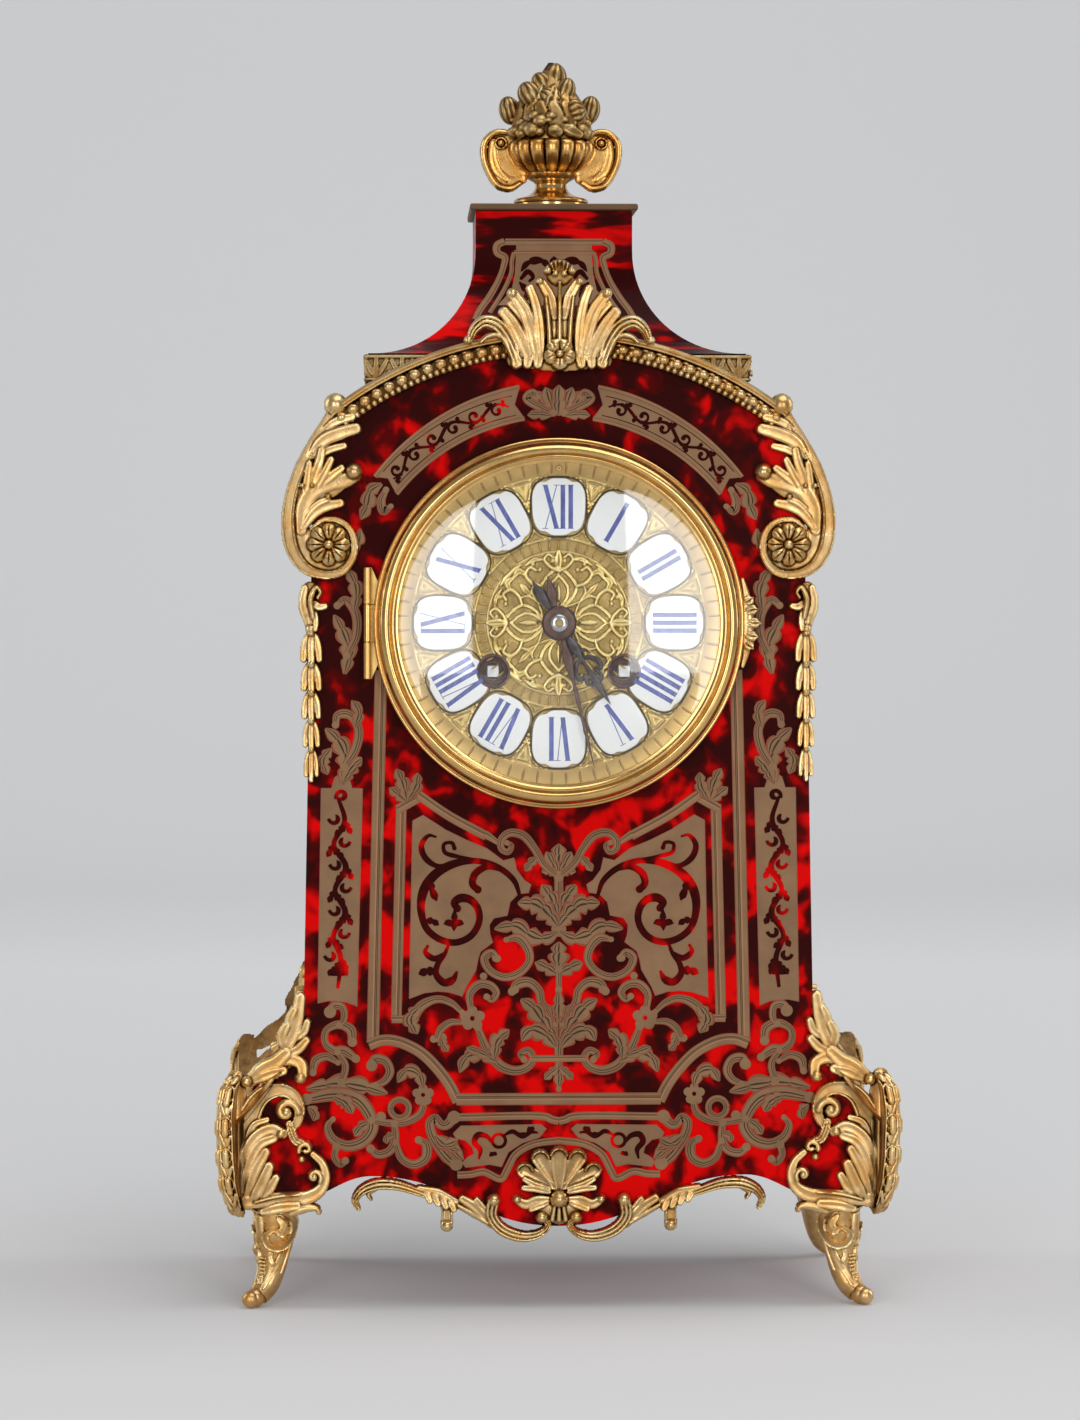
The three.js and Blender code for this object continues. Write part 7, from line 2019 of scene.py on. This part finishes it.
def foot_wing(step):
    """The pierced wing of a foot: distance in from the corner, and height."""
    field = Relief((-3.5, 32.5), (35, 112), step)
    plain = [(2.2, 50), (3, 60), (4.8, 69), (8.8, 75), (14.2, 77.2), (19.4, 75.8), (21.8, 71), (21.2, 66.4),
             (18.8, 63.4)]
    field.stroke(plain, [3.4, 4.2, 4.8, 4.2, 3.4, 2.8, 2.3, 2, 1.6],
                 [1.2, 1.3, 1.5, 1.7, 1.9, 2.2, 2.6, 2.8, 2.8], band_section)
    field.stroke([(-0.4, 81), (-0.4, 66), (-0.4, 52), (-0.4, 36)], [3.2, 5.4, 5.4, 3.2], [2, 2.6, 2.5, 2],
                 cove_section)
    field.stroke(spiral((17.3, 69.6), 4.2, 1.0, 0, 330), [1.6, 1.8, 1.7, 1.3], [2.8, 3, 3.4, 3.8], raw=True)
    field.dome((17.2, 69.6), 2.1, 4.2)
    field.stroke([(1.4, 38), (2.8, 46), (5.4, 54), (9.6, 59.6)], [3, 4.8, 4.6, 2.6], 1.6, finger_section)
    field.stroke([(4, 38), (8, 43), (10.4, 48.4)], [3, 3, 1.8], 1.7, finger_section)
    strands = ([(1.6, 47), (3, 55), (7, 61.2), (12, 63.6), (16, 62)],
               [(2, 42), (4.4, 51.5), (8.4, 58.4), (12.8, 60.4)], [(3, 39), (6.4, 48.6), (10, 55.6)],
               [(5, 38), (8.4, 44), (11.2, 50.4)], [(7, 38.6), (11, 42.2), (13.6, 46.4)],
               [(2.4, 56), (6, 65), (10.4, 66.8)])
    field.fingers(*zip(strands, (2.5, 2.2, 2.2, 2.5, 2, 1.5), (3.1, 2.9, 2.8, 3.2, 2.7, 2.2)))
    field.dome((15.4, 62), 2.0, 4.0)
    lower = [(3, 38), (10, 38.6), (18, 38.6), (25, 39.6), (29.4, 42.6), (31, 47), (29.8, 51.4),
             (26.6, 54.6)]
    field.stroke(lower, [2.6, 3, 3, 3, 2.7, 2, 1.5, 1.2], [2, 2.2, 2.3, 2.5, 2.8, 3, 2.9, 2.7],
                 finger_section)
    field.stroke([(6, 38), (14, 40), (22, 40.6)], [0.6, 0.8, 0.5], 2.9)
    field.stroke(spiral((27, 46.8), 2.7, 0.7, -40, 320), [1.1, 1.3, 1], 3.1, raw=True)
    field.dome((27, 46.8), 1.5, 3.6)
    field.stroke(spiral((24, 56.6), 2.5, 0.7, 200, -320), [1.2, 1.3, 1], 3.2, raw=True)
    field.stroke([(23, 58.4), (20.6, 59.4), (19.2, 62.2), (18.4, 65.4)], [1.6, 1.9, 1.9, 1.6],
                 [2.6, 2.9, 3, 2.8], reed_section)
    field.dome((22.6, 53), 1.5, 3.4)
    field.stroke([(4.6, 80.6), (10, 84.2), (16, 88), (19.6, 95), (21, 102), (22.2, 109)],
                 [2.6, 3.6, 4.4, 3.8, 2.8, 1.2], 1.5, finger_section)
    crown = ([(4.6, 81), (9.4, 84.6), (13.6, 86.8), (17, 90)], [(6.4, 80.6), (11.4, 82.8), (16.2, 84)],
             [(12.6, 85.6), (18.4, 88), (22.4, 86.2), (23, 82.6)],
             [(14.6, 87.6), (18, 93), (20.4, 98.6), (21.4, 104), (22.2, 109.6)],
             [(16.4, 89.6), (21.2, 91.4), (24.2, 94.6)], [(16.8, 91.4), (15.8, 96), (17.4, 99.8)],
             [(18.8, 96.4), (18.4, 101.4), (20, 105.4)], [(19.6, 94.6), (23.2, 97.4), (24.6, 101)])
    widths = (3.1, 2.2, 2.4, 2.5, 2, 1.9, 1.7, 1.7)
    field.fingers(*zip(crown, widths, (3, 3.2, 3.1, 2.9, 3.2, 3.2, 3.3, 3.1)))
    field.dome((22.2, 81.4), 2.3, 4.1)
    field.dome((3.4, 80.2), 2.1, 4.2)
    field.finger([(9, 34.6), (15, 36), (21, 36.6)], 2.2, 3.4)
    field.stroke([(19, 34), (24, 35.8), (28, 35.6), (28.6, 34.2)], [1.4, 1.9, 1.6, 1], [2.6, 3.2, 3.2, 2.6])
    return field


RIDGE = ((33.5, 2.6), (38, 5.2), (45, 7.4), (54, 8.6), (64, 9), (72, 8.6), (78, 7), (82.5, 3))
LEG = ((36, 13.6, 7.6), (30, 13.4, 7.4), (24, 12.9, 6.6), (18, 12.8, 5.2), (12, 12, 4.4), (7, 10.2, 4),
       (3.8, 7.4, 3.5))
LEG_MIDDLE = 6.0
RIDGE_WRAP = 5.6


def foot_ridge(step):
    """Egg strips wrapped on the corner, one facing each side: distance round it, and height."""
    field = Relief((-7.6, 33.5), (7.6, 82.5), step)
    field.stroke([(0, 34), (0, 82)], [5.4, 7.4, 7.4, 7.4, 5], 0.8, band_section)
    middle = 2.7
    field.stroke([(5.6, 37), (5.8, 60), (5.2, 80)], 0.6, 2.0)
    field.stroke([(0, 36), (0, 81)], 0.5, 1.9)
    eggs = ((75.4, 2.4), (64.8, 2.5), (54, 2.4), (44.2, 2.2))
    for z, size in eggs:
        field.stroke([(middle, z - 1.8), (middle, z + 1.9)], size * 0.76, 2.5)
        field.stroke(arc((middle, z + 1), size * 1.12, -50, 230, 18), 0.42, 1.8, raw=True)
        for side in (-1, 1):
            field.finger([(middle, z - 7), (middle + side * 1.3, z - 5.2), (middle + side * 2.3, z - 2.8)],
                         0.8, 2.1)
    field.dome((middle, 81), 1.8, 2.4)
    return field.mirror()


def foot_leg(step):
    """Ornament wrapped round the leg: distance round it from the outward corner, and height."""
    field = Relief((-13, 6.5), (13, 36), step)
    field.stroke([(0.8, 34.6), (5.4, 34.2), (9.8, 30.6), (10.4, 25), (7.2, 20.8), (3.2, 21.4), (2.2, 25.2),
                  (4.8, 27.2), (6.6, 25.2)], [1.4, 1.7, 1.8, 1.7, 1.6, 1.5, 1.3, 1.1, 0.9],
                 [1.6, 2, 2.2, 2.2, 2.2, 2, 2, 2.2, 2.4], band_section)
    field.finger([(5.4, 31.4), (7, 28.4), (5.8, 26)], 1.3, 1.9)
    field.finger([(8, 20.2), (6.6, 15.4), (4.4, 11.4), (3.2, 7.4)], 1.7, 1.7)
    field.finger([(4, 20), (3.4, 17.4), (4.6, 15.4)], 1.1, 1.9)
    field.stroke([(11.6, 33), (12.2, 22), (9.6, 12)], [1.2, 1.3, 1], 1.0)
    field.mirror()
    field.finger([(0, 22), (0, 26), (0, 31.6)], 1.6, 2.2)
    for row in range(7):
        for k in range(-1, 2):
            field.dome((k * 1.25 + 0.6 * (row % 2), 9.4 + 1.25 * row), 0.62, 1.2)
    field.finger([(0, 10.4), (0, 8.8), (0, 7.4)], 2.0, 1.2)
    return field


def foot_parts(side, rear, step):
    """Wing on each face, egg ridge on the corner and a cabriole leg, for one corner of the case."""
    inward = -1 if rear else 1
    middle = (FACE_Y + BACK_Y) / 2
    corner_y = 2 * middle - CORNER_Y if rear else CORNER_Y
    flat_y = BACK_Y - MOUNT_BACK if rear else at_depth(MOUNT_BACK)
    ridge_z, ridge_reach = np.array(RIDGE).T
    leg_z, leg_in, leg_radius = np.array(LEG).T[:, ::-1]

    def on_wing(u, z, rise):
        return (side * (CORNER_X - u), flat_y - inward * rise, z)

    def on_flank(u, z, rise):
        return (side * (case_side(z) + 0.25 + rise), corner_y + inward * u, z)

    def on_corner(reach, across, z):
        """Out along the corner diagonal and across it."""
        return (side * (CORNER_X + (reach + across) * HALF_ROOT),
                corner_y + inward * (across - reach) * HALF_ROOT, z)

    def on_ridge(across, z, rise):
        turn, reach = across / RIDGE_WRAP, RIDGE_WRAP - 3.2 + rise
        axis = np.interp(z, ridge_z, ridge_reach) - RIDGE_WRAP
        return on_corner(axis + reach * math.cos(turn), reach * math.sin(turn), z)

    def on_leg(across, z, rise):
        turn = across / LEG_MIDDLE
        reach = np.interp(z, leg_z, leg_radius) - 0.5 + rise
        axis = -np.interp(z, leg_z, leg_in) / HALF_ROOT
        return on_corner(axis + reach * math.cos(turn), reach * math.sin(turn), z)

    mirrored = (side < 0) != rear

    def faced(part, turned):
        return flipped(part) if turned else part

    wing = foot_wing(step)
    parts = [faced(wing.solid(on_wing, 0.9), not mirrored), faced(wing.solid(on_flank, 0.9), mirrored)]
    parts.append(faced(foot_ridge(step).solid(on_ridge, 0.6), mirrored))
    parts.append(faced(foot_leg(step).solid(on_leg, 0.2), mirrored))
    core = catmull([on_corner(reach - 4.6, 0.0, z) for z, reach in RIDGE], 5)
    parts.append(tube(core, [1.6, 2.4, 2.9, 3.1, 3.1, 3, 2.4, 1], 12))
    bones = catmull([on_corner(-u / HALF_ROOT, 0.0, z) for z, u, _ in ((40, 14.4, 0), *LEG)], 6)
    parts.append(tube(bones, [8.4, *(radius for _, _, radius in LEG)], 24))
    for place, size in (((6.2, 3.6), 3.5), ((4.6, 3.2), 3.1)):
        parts.append(ball(on_corner(-place[0] / HALF_ROOT, 0.0, place[1]), (size, size, size), 10, 16))
    for wide, deep in ((25, 13), (13, 25)):
        outline = [(side * (CORNER_X - u), z)
                   for u, z in ((wide, 35.4), (1, 35.4), (1, 39.7), (wide, 39.7))]
        depths = sorted(corner_y + inward * d - FACE_Y for d in (1, deep))
        parts.append(slab([outline], *depths))
    return join_parts(parts)


def build_feet(sizes):
    for rear, word, step in ((False, "front", sizes.foot_step), (True, "rear", sizes.rear_step)):
        for side, hand in ((1, "right"), (-1, "left")):
            vertices, faces, cavity = foot_parts(side, rear, step)
            vertices[:, 2] = np.maximum(vertices[:, 2], 0.0)
            part = vertices, faces, cavity
            # The feet take the lighter copy of the gilding: painted light.
            add_mount(f"gilt_foot_{word}_{hand}", part, f"foot_{word}_{hand}", "gilt_foot_painted_light")


# Cornice and finial


def build_cornice(step):
    low, high = mm_box("cornice")
    inset = 1.5
    height = high[2] - low[2]
    parts = [rounded_block(low + (inset, inset, 0), high - (inset, inset, 0), 0.6)]

    def strip(length, place):
        field = Relief((0, 0), (length, height), step)
        field.stroke([(0.9, height - 1), (length - 0.9, height - 1)], 0.85, 1.1)
        field.stroke([(0.9, 0.9), (length - 0.9, 0.9)], 0.7, 0.9)
        count = int(length // 9.0)
        pitch = length / count
        for k in range(count):
            x = (k + 0.5) * pitch
            for tilt in (-1, 1):
                field.finger([(x, 1.6), (x + tilt * 2, 4.4), (x + tilt * 3.6, 7.4)], 1.2, 1.0)
            field.finger([(x, 1.6), (x, 8)], 1.2, 1.15)
            field.dome((x + pitch / 2, 3.2), 1.3, 0.9)
        return field.solid(place, 0.35)

    wide, deep = high[0] - low[0], high[1] - low[1]
    parts.append(strip(wide, lambda u, v, rise: (low[0] + u, low[1] + inset - rise, low[2] + v)))
    parts.append(strip(deep, lambda u, v, rise: (high[0] - inset + rise, low[1] + u, low[2] + v)))
    parts.append(flipped(strip(deep, lambda u, v, rise: (low[0] + inset - rise, low[1] + u, low[2] + v))))
    add_mount("gilt_cornice", join_parts(parts), "cornice", "gilt_brown", 60)


FINIAL_Y = float(np.mean([mm_box("finial_foot")[0][1], mm_box("finial_foot")[1][1]]))
FINIAL_Z = mm_box("roof_cap")[1][2] + 0.25


def on_finial(x, y, z):
    return (x, FINIAL_Y + y, FINIAL_Z + z)


def build_finial(sizes):
    foot = [(0.01, -3), (2.2, -3), (2.2, 0), (12.6, 0), (12.6, 2), (13.7, 2.4), (13.8, 3), (13.2, 3.7),
            (10.8, 4.3), (8.4, 5.1), (6.8, 6.3), (5.8, 7.8), (5.7, 9.2), (6.6, 10), (8.6, 11), (0.01, 11)]
    add_piece("gilt_finial_foot", *lathe(foot, 64, on_finial, closed=False), "bezel", "case", "gilt_mounts",
              ["finial_foot"], smooth=38)
    parts = [gadrooned_bowl(sizes.bowl_lobes)]
    ear = Relief((6, 4), (27.5, 31), sizes.relief_step)
    ear.stroke([(12, 14.4), (16.2, 16.2), (18.6, 20.6), (17, 24)], [4, 4.6, 4.4, 3.6], 0.9)
    ear.stroke([(13.4, 17), (15, 21.4), (15.4, 25.6)], [3, 3.6, 3], 0.9)
    ear.stroke([(11, 11.6), (14.6, 10.2), (18.6, 11.6)], [2.4, 3, 3.2], 0.9)
    rim = [(13, 26), (16.4, 28.2), (20.6, 28.2), (24.2, 25), (24.8, 19.6), (22.8, 13.2), (19.2, 8.4),
           (15, 7.6), (11.4, 9.6)]
    ear.stroke(rim, [1, 1.1, 1.2, 1.3, 1.3, 1.3, 1.3, 1.2, 0.9],
               [2, 2.3, 2.4, 2.4, 2.4, 2.4, 2.4, 2.3, 1.8])
    ear.stroke([(21.2, 24.6), (21.4, 19.4), (19.6, 14), (16.4, 11)], [1.8, 2.4, 2.6, 1.8], 1.2)
    ear.stroke(arc((18.5, 24.2), 2.0, 0, 360, 20), 0.6, 1.7, raw=True)
    ear.dome((18, 25), 4.6, 0.5, 0.1)
    ear.dome((18.5, 24.2), 1.4, 2.9)
    for side in (1, -1):
        for face in (1, -1):
            part = ear.solid(lambda x, z, rise, side=side, face=face: on_finial(side * x, -face * rise, z),
                             0.9)
            parts.append(part if side * face > 0 else flipped(part))
    add_mount("gilt_finial_urn", join_parts(parts), "finial_urn", "gilt_urn", 60)
    build_fruit(sizes.relief_step)


def gadrooned_bowl(lobes):
    profile = [(9.4, 11.3), (9.8, 12), (9.2, 12.8), (9.4, 13.4), (11.6, 14.6), (14, 16.8), (15.8, 19.4),
               (16.5, 21.8), (16.3, 23.8), (15, 25)]
    depth = [0, 0, 0, 0.03, 0.09, 0.12, 0.13, 0.13, 0.1, 0.06]
    sides = lobes * 10
    vertices, shade = [], []
    for (radius, z), groove in zip(profile, depth):
        for k in range(sides):
            angle = 2 * math.pi * k / sides
            wave = abs(math.cos(lobes * angle / 2)) ** 0.55
            reach = radius * (1 - groove + groove * wave)
            vertices.append(on_finial(reach * math.cos(angle), reach * math.sin(angle), z))
            shade.append(0.95 - 0.66 * wave if groove else 0.42)
    return np.array(vertices), capped_bands(len(profile), sides), np.array(shade)


HEAP = ((25, 13.6), (29, 14), (33, 13.4), (37, 11.8), (41, 9.4), (44, 7.4), (47, 5.6), (50, 4.2), (54, 1.4))
HEAP_MIDDLE = 12.0
GOURDS = (((-15.2, 0.5, 36.4), (3.9, 4.4, 5.4), 11, -14), ((14.2, 0.5, 36.6), (3.8, 4.4, 5.4), 11, 12),
          ((8.6, -8.2, 35.2), (5.2, 4.2, 3.7), 13, 72), ((-8, -5.6, 41.6), (4.2, 4.4, 5.2), 10, -28),
          ((-1.6, -6.6, 40.2), (4.4, 3.8, 4), 11, -50), ((5, -4.6, 42.8), (3.6, 3.8, 5.4), 10, 18),
          ((1.2, -0.6, 47.6), (4.4, 4.4, 6.2), 9, 10), ((-3.4, -2.2, 46), (3.8, 4, 4.6), 9, -30),
          ((1.9, -0.4, 51.6), (2.1, 2.1, 2.3), 10, 0), ((-9, 6.6, 37), (4.6, 4.4, 4.6), 11, -20),
          ((8.6, 7, 37), (4.6, 4.4, 4.6), 11, 20), ((0, 7.4, 41.6), (4.6, 4, 4.8), 10, 0))


def build_fruit(step):
    """A heap of berries and leaves chased round a cone, with ribbed gourds set into it."""
    heap_z, heap_radius = np.array(HEAP).T
    front = math.pi * HEAP_MIDDLE
    field = Relief((0, 25.2), (2 * front, 53.6), step * 1.2)
    field.stroke([(0, 39), (2 * front, 39)], 15.2, 0.4, lambda across, along: np.ones_like(across))

    def at(shift, z):
        return (front + shift, z)

    for k in range(15):
        turn = -front + (k + 0.5) * 2 * front / 15
        field.finger([at(turn, 28), at(turn + 1.6, 33), at(turn + 0.4, 37.5)], 2.5,
                     2.0 + 0.5 * math.sin(2.1 * k))
        field.dome(at(turn + 1.0, 28.2 + 1.1 * math.sin(1.7 * k)), 2.2 + 0.5 * math.sin(2.9 * k), 3.0)
        field.dome(at(turn - 1.2, 32.4 + 1.3 * math.sin(2.3 * k)), 1.6 + 0.4 * math.sin(1.3 * k), 2.8)
    for k in range(9):
        turn = -front + (k + 0.3) * 2 * front / 9
        field.leaf([at(turn, 36), at(turn + 1.5, 40.5), at(turn + 4.0, 45.0)], 4.4, 2.2, 4, 0.25)
    berries = ((-6.6, 28.4, 3), (-3.8, 31.6, 2.5), (0.6, 28.2, 2.2), (12, 27.4, 2.8), (-15.6, 28, 2.3),
               (-10.4, 27.2, 2.1), (-0.4, 33.4, 1.7))
    for shift, z, size in berries:
        field.dome(at(shift, z), size, 3.7)
    field.finger([at(3.4, 29.6), at(5.6, 28.0), at(8.4, 26.6)], 2.0, 3.4)

    def around(across, z, rise):
        turn = (across - front) / HEAP_MIDDLE
        reach = np.interp(z, heap_z, heap_radius) - 0.8 + rise * np.interp(z, (25, 44, 54), (1, 0.85, 0.45))
        return on_finial(reach * math.sin(turn), -reach * math.cos(turn), z)

    parts = [field.solid(around, 0.3)]
    # The core behind the berries stores cavity 0.8, dark on the gilt ramp: patina and painted shade between
    # them.
    core = [(0.01, 25.2), *((radius - 0.4, z) for z, radius in HEAP[1:]), (0.01, 54)]
    vertices, faces = lathe(core, 40, on_finial, closed=False)
    parts.append((vertices, faces, np.full(len(vertices), 0.8)))
    sides, rings = 84, 22
    for middle, radii, ribs, tilt in GOURDS:
        part = ball(on_finial(*middle), radii, rings, sides, ribs=ribs, rib_depth=0.05, tilt=tilt)
        # Ribs store low cavity and grooves high: painted highlight on the ribs, patina and painted shade in
        # the grooves.
        groove = np.tile(0.46 - 0.3 * np.cos(ribs * 2 * np.pi * np.arange(sides) / sides), rings + 1)
        parts.append((*part, groove))
    vertices, faces, cavity = join_parts(parts)
    vertices[:, 2] = np.minimum(vertices[:, 2], FINIAL_Z + 54.0)
    add_mount("gilt_finial_fruit", (vertices, faces, cavity), "finial_fruit", "gilt_fruit")


# Studio


CAMERA_RISE = 0.045
VIEW_HEIGHT = 0.4975
CAMERA_SHIFT = -CAMERA_RISE / VIEW_HEIGHT
CAMERA_LENS = 108.6
CAMERA_PLACE = (-0.055, -1.555, 0.227 + CAMERA_RISE)
CAMERA_TARGET = (-0.0066, -0.055, 0.210 + CAMERA_RISE)
SKY = (0.95, 0.97, 1.0, 1.0)
SKY_STRENGTH = 0.34
LAMPS = (("softbox_left", (-0.50, -1.42, 0.40), (-0.02, 0.0, 0.24), (0.42, 0.95), 5.8),
         ("softbox_right", (0.52, -1.46, 0.40), (0.0, 0.0, 0.24), (0.38, 0.95), 5.8),
         ("overhead", (0.35, -0.35, 1.75), (0.0, 0.0, 0.2), (1.5, 1.2), 14.0),
         ("rim_left", (-1.5, 0.25, 0.7), (0.0, 0.0, 0.22), (0.5, 1.1), 5.0),
         ("rim_right", (1.5, 0.25, 0.7), (0.0, 0.0, 0.22), (0.5, 1.1), 5.0))


def aimed(place, target):
    """Rotation of a lamp or camera that looks from a place at a target."""
    return (Vector(target) - Vector(place)).to_track_quat("-Z", "Y").to_euler()


def build_stage(colours):
    """Paper sweep, sky, lamps and camera; lengths in metres."""
    near, run, rise, bend, half_width = -2.6, 2.4, 2.6, 0.7, 3.2
    profile = [(near, 0.0), (run - bend, 0.0)]
    for angle in np.linspace(0, math.pi / 2, 17)[1:]:
        profile.append((run - bend + bend * math.sin(angle), bend - bend * math.cos(angle)))
    profile.append((run, rise))
    vertices = [(x, y, z) for y, z in profile for x in (-half_width, half_width)]
    faces = [[2 * i, 2 * i + 1, 2 * i + 3, 2 * i + 2] for i in range(len(profile) - 1)]
    mesh = bpy.data.meshes.new("studio_sweep")
    mesh.from_pydata(vertices, [], faces)
    mesh.shade_smooth()
    paper = Shader("studio_paper")
    grey = tuple(colours.studio_grey)
    paper.set(base_color=grey, roughness=0.9, specular_ior_level=0.1)
    paper.set(emission_color=grey, emission_strength=paper.backdrop_glow())
    mesh.materials.append(paper.material)
    sweep = bpy.data.objects.new("studio_sweep", mesh)
    bpy.context.scene.collection.objects.link(sweep)
    world = bpy.data.worlds.new("studio_world")
    bpy.context.scene.world = world
    world.use_nodes = True
    sky = world.node_tree.nodes["Background"].inputs
    sky["Color"].default_value = SKY
    sky["Strength"].default_value = SKY_STRENGTH
    for lamp in LAMPS:
        softbox(*lamp)
    camera = bpy.data.cameras.new("photo_camera")
    camera.lens = CAMERA_LENS
    camera.sensor_width = 36.0
    camera.shift_y = CAMERA_SHIFT
    camera.dof.use_dof = False
    viewer = bpy.data.objects.new("photo_camera", camera)
    viewer.location = CAMERA_PLACE
    viewer.rotation_euler = aimed(CAMERA_PLACE, CAMERA_TARGET)
    bpy.context.scene.collection.objects.link(viewer)
    bpy.context.scene.camera = viewer
    bpy.context.scene.view_settings.view_transform = "Standard"


def softbox(name, place, target, size, power):
    """A soft rectangular lamp aimed at a point."""
    lamp = bpy.data.lights.new(name, "AREA")
    lamp.shape = "RECTANGLE"
    lamp.size, lamp.size_y = size
    lamp.energy = power
    holder = bpy.data.objects.new(name, lamp)
    holder.location = place
    holder.rotation_euler = aimed(place, target)
    bpy.context.scene.collection.objects.link(holder)


# Operators, panel and registration


class ClockOperator:
    """Shared settings of the operators that build one group of pieces."""

    bl_options = {"REGISTER", "UNDO"}

    def run(self, sizes, colours):
        raise NotImplementedError

    def execute(self, context):
        self.run(context.scene.clock_sizes, context.scene.clock_colours)
        return {"FINISHED"}


class CLOCK_OT_finishes(ClockOperator, bpy.types.Operator):
    """Makes the finishes of the clock"""

    bl_idname = "clock.finishes"
    bl_label = "Make finishes"

    def run(self, sizes, colours):
        make_materials(colours)


class CLOCK_OT_case(ClockOperator, bpy.types.Operator):
    """Builds the boards, walls and roof"""

    bl_idname = "clock.case"
    bl_label = "Build case"

    def run(self, sizes, colours):
        build_case()
        build_roof()


class CLOCK_OT_marquetry(ClockOperator, bpy.types.Operator):
    """Lays the brass marquetry on the front and roof"""

    bl_idname = "clock.marquetry"
    bl_label = "Lay marquetry"

    def run(self, sizes, colours):
        build_marquetry()


class CLOCK_OT_dial(ClockOperator, bpy.types.Operator):
    """Builds the bezel, glass, dial, plaques and hands"""

    bl_idname = "clock.dial"
    bl_label = "Build dial"

    def run(self, sizes, colours):
        build_bezel()
        build_dial_ring(sizes)
        build_dial()
        build_plaques()
        build_hands()


class CLOCK_OT_mounts(ClockOperator, bpy.types.Operator):
    """Builds the gilt mounts, feet, cornice and finial"""

    bl_idname = "clock.mounts"
    bl_label = "Build gilt mounts"

    def run(self, sizes, colours):
        build_volutes(sizes.relief_step)
        build_arch(sizes)
        build_crest(sizes.relief_step)
        build_pendants(sizes.relief_step)
        build_apron(sizes.relief_step)
        build_feet(sizes)
        build_cornice(sizes.relief_step)
        build_finial(sizes)


class CLOCK_OT_back(ClockOperator, bpy.types.Operator):
    """Builds the back ring and door and finishes the movement"""

    bl_idname = "clock.back"
    bl_label = "Build back and movement"

    def run(self, sizes, colours):
        build_back()
        finish_cad_nodes()


class CLOCK_OT_stage(ClockOperator, bpy.types.Operator):
    """Sets the floor, lamps and camera"""

    bl_idname = "clock.stage"
    bl_label = "Set studio"

    def run(self, sizes, colours):
        build_stage(colours)


class CLOCK_PT_panel(bpy.types.Panel):
    """Sizes, colours and build steps of the clock"""

    bl_idname = "CLOCK_PT_panel"
    bl_label = "Boulle clock"
    bl_space_type = "VIEW_3D"
    bl_region_type = "UI"
    bl_category = "Clock"

    def draw(self, context):
        for group in (context.scene.clock_sizes, context.scene.clock_colours):
            for key in group.__annotations__:
                self.layout.prop(group, key)
        for step in STEPS:
            self.layout.operator(step.bl_idname)


STEPS = (CLOCK_OT_finishes, CLOCK_OT_case, CLOCK_OT_marquetry, CLOCK_OT_mounts, CLOCK_OT_dial,
         CLOCK_OT_back, CLOCK_OT_stage)
CLASSES = (ClockSizes, ClockColours, *STEPS, CLOCK_PT_panel)


def register():
    for item in CLASSES:
        bpy.utils.register_class(item)
    bpy.types.Scene.clock_sizes = bpy.props.PointerProperty(type=ClockSizes)
    bpy.types.Scene.clock_colours = bpy.props.PointerProperty(type=ClockColours)


def unregister():
    del bpy.types.Scene.clock_colours
    del bpy.types.Scene.clock_sizes
    for item in reversed(CLASSES):
        bpy.utils.unregister_class(item)


def main():
    register()
    for step in STEPS:
        group, name = step.bl_idname.split(".")
        getattr(getattr(bpy.ops, group), name)()


if __name__ == "__main__":
    main()
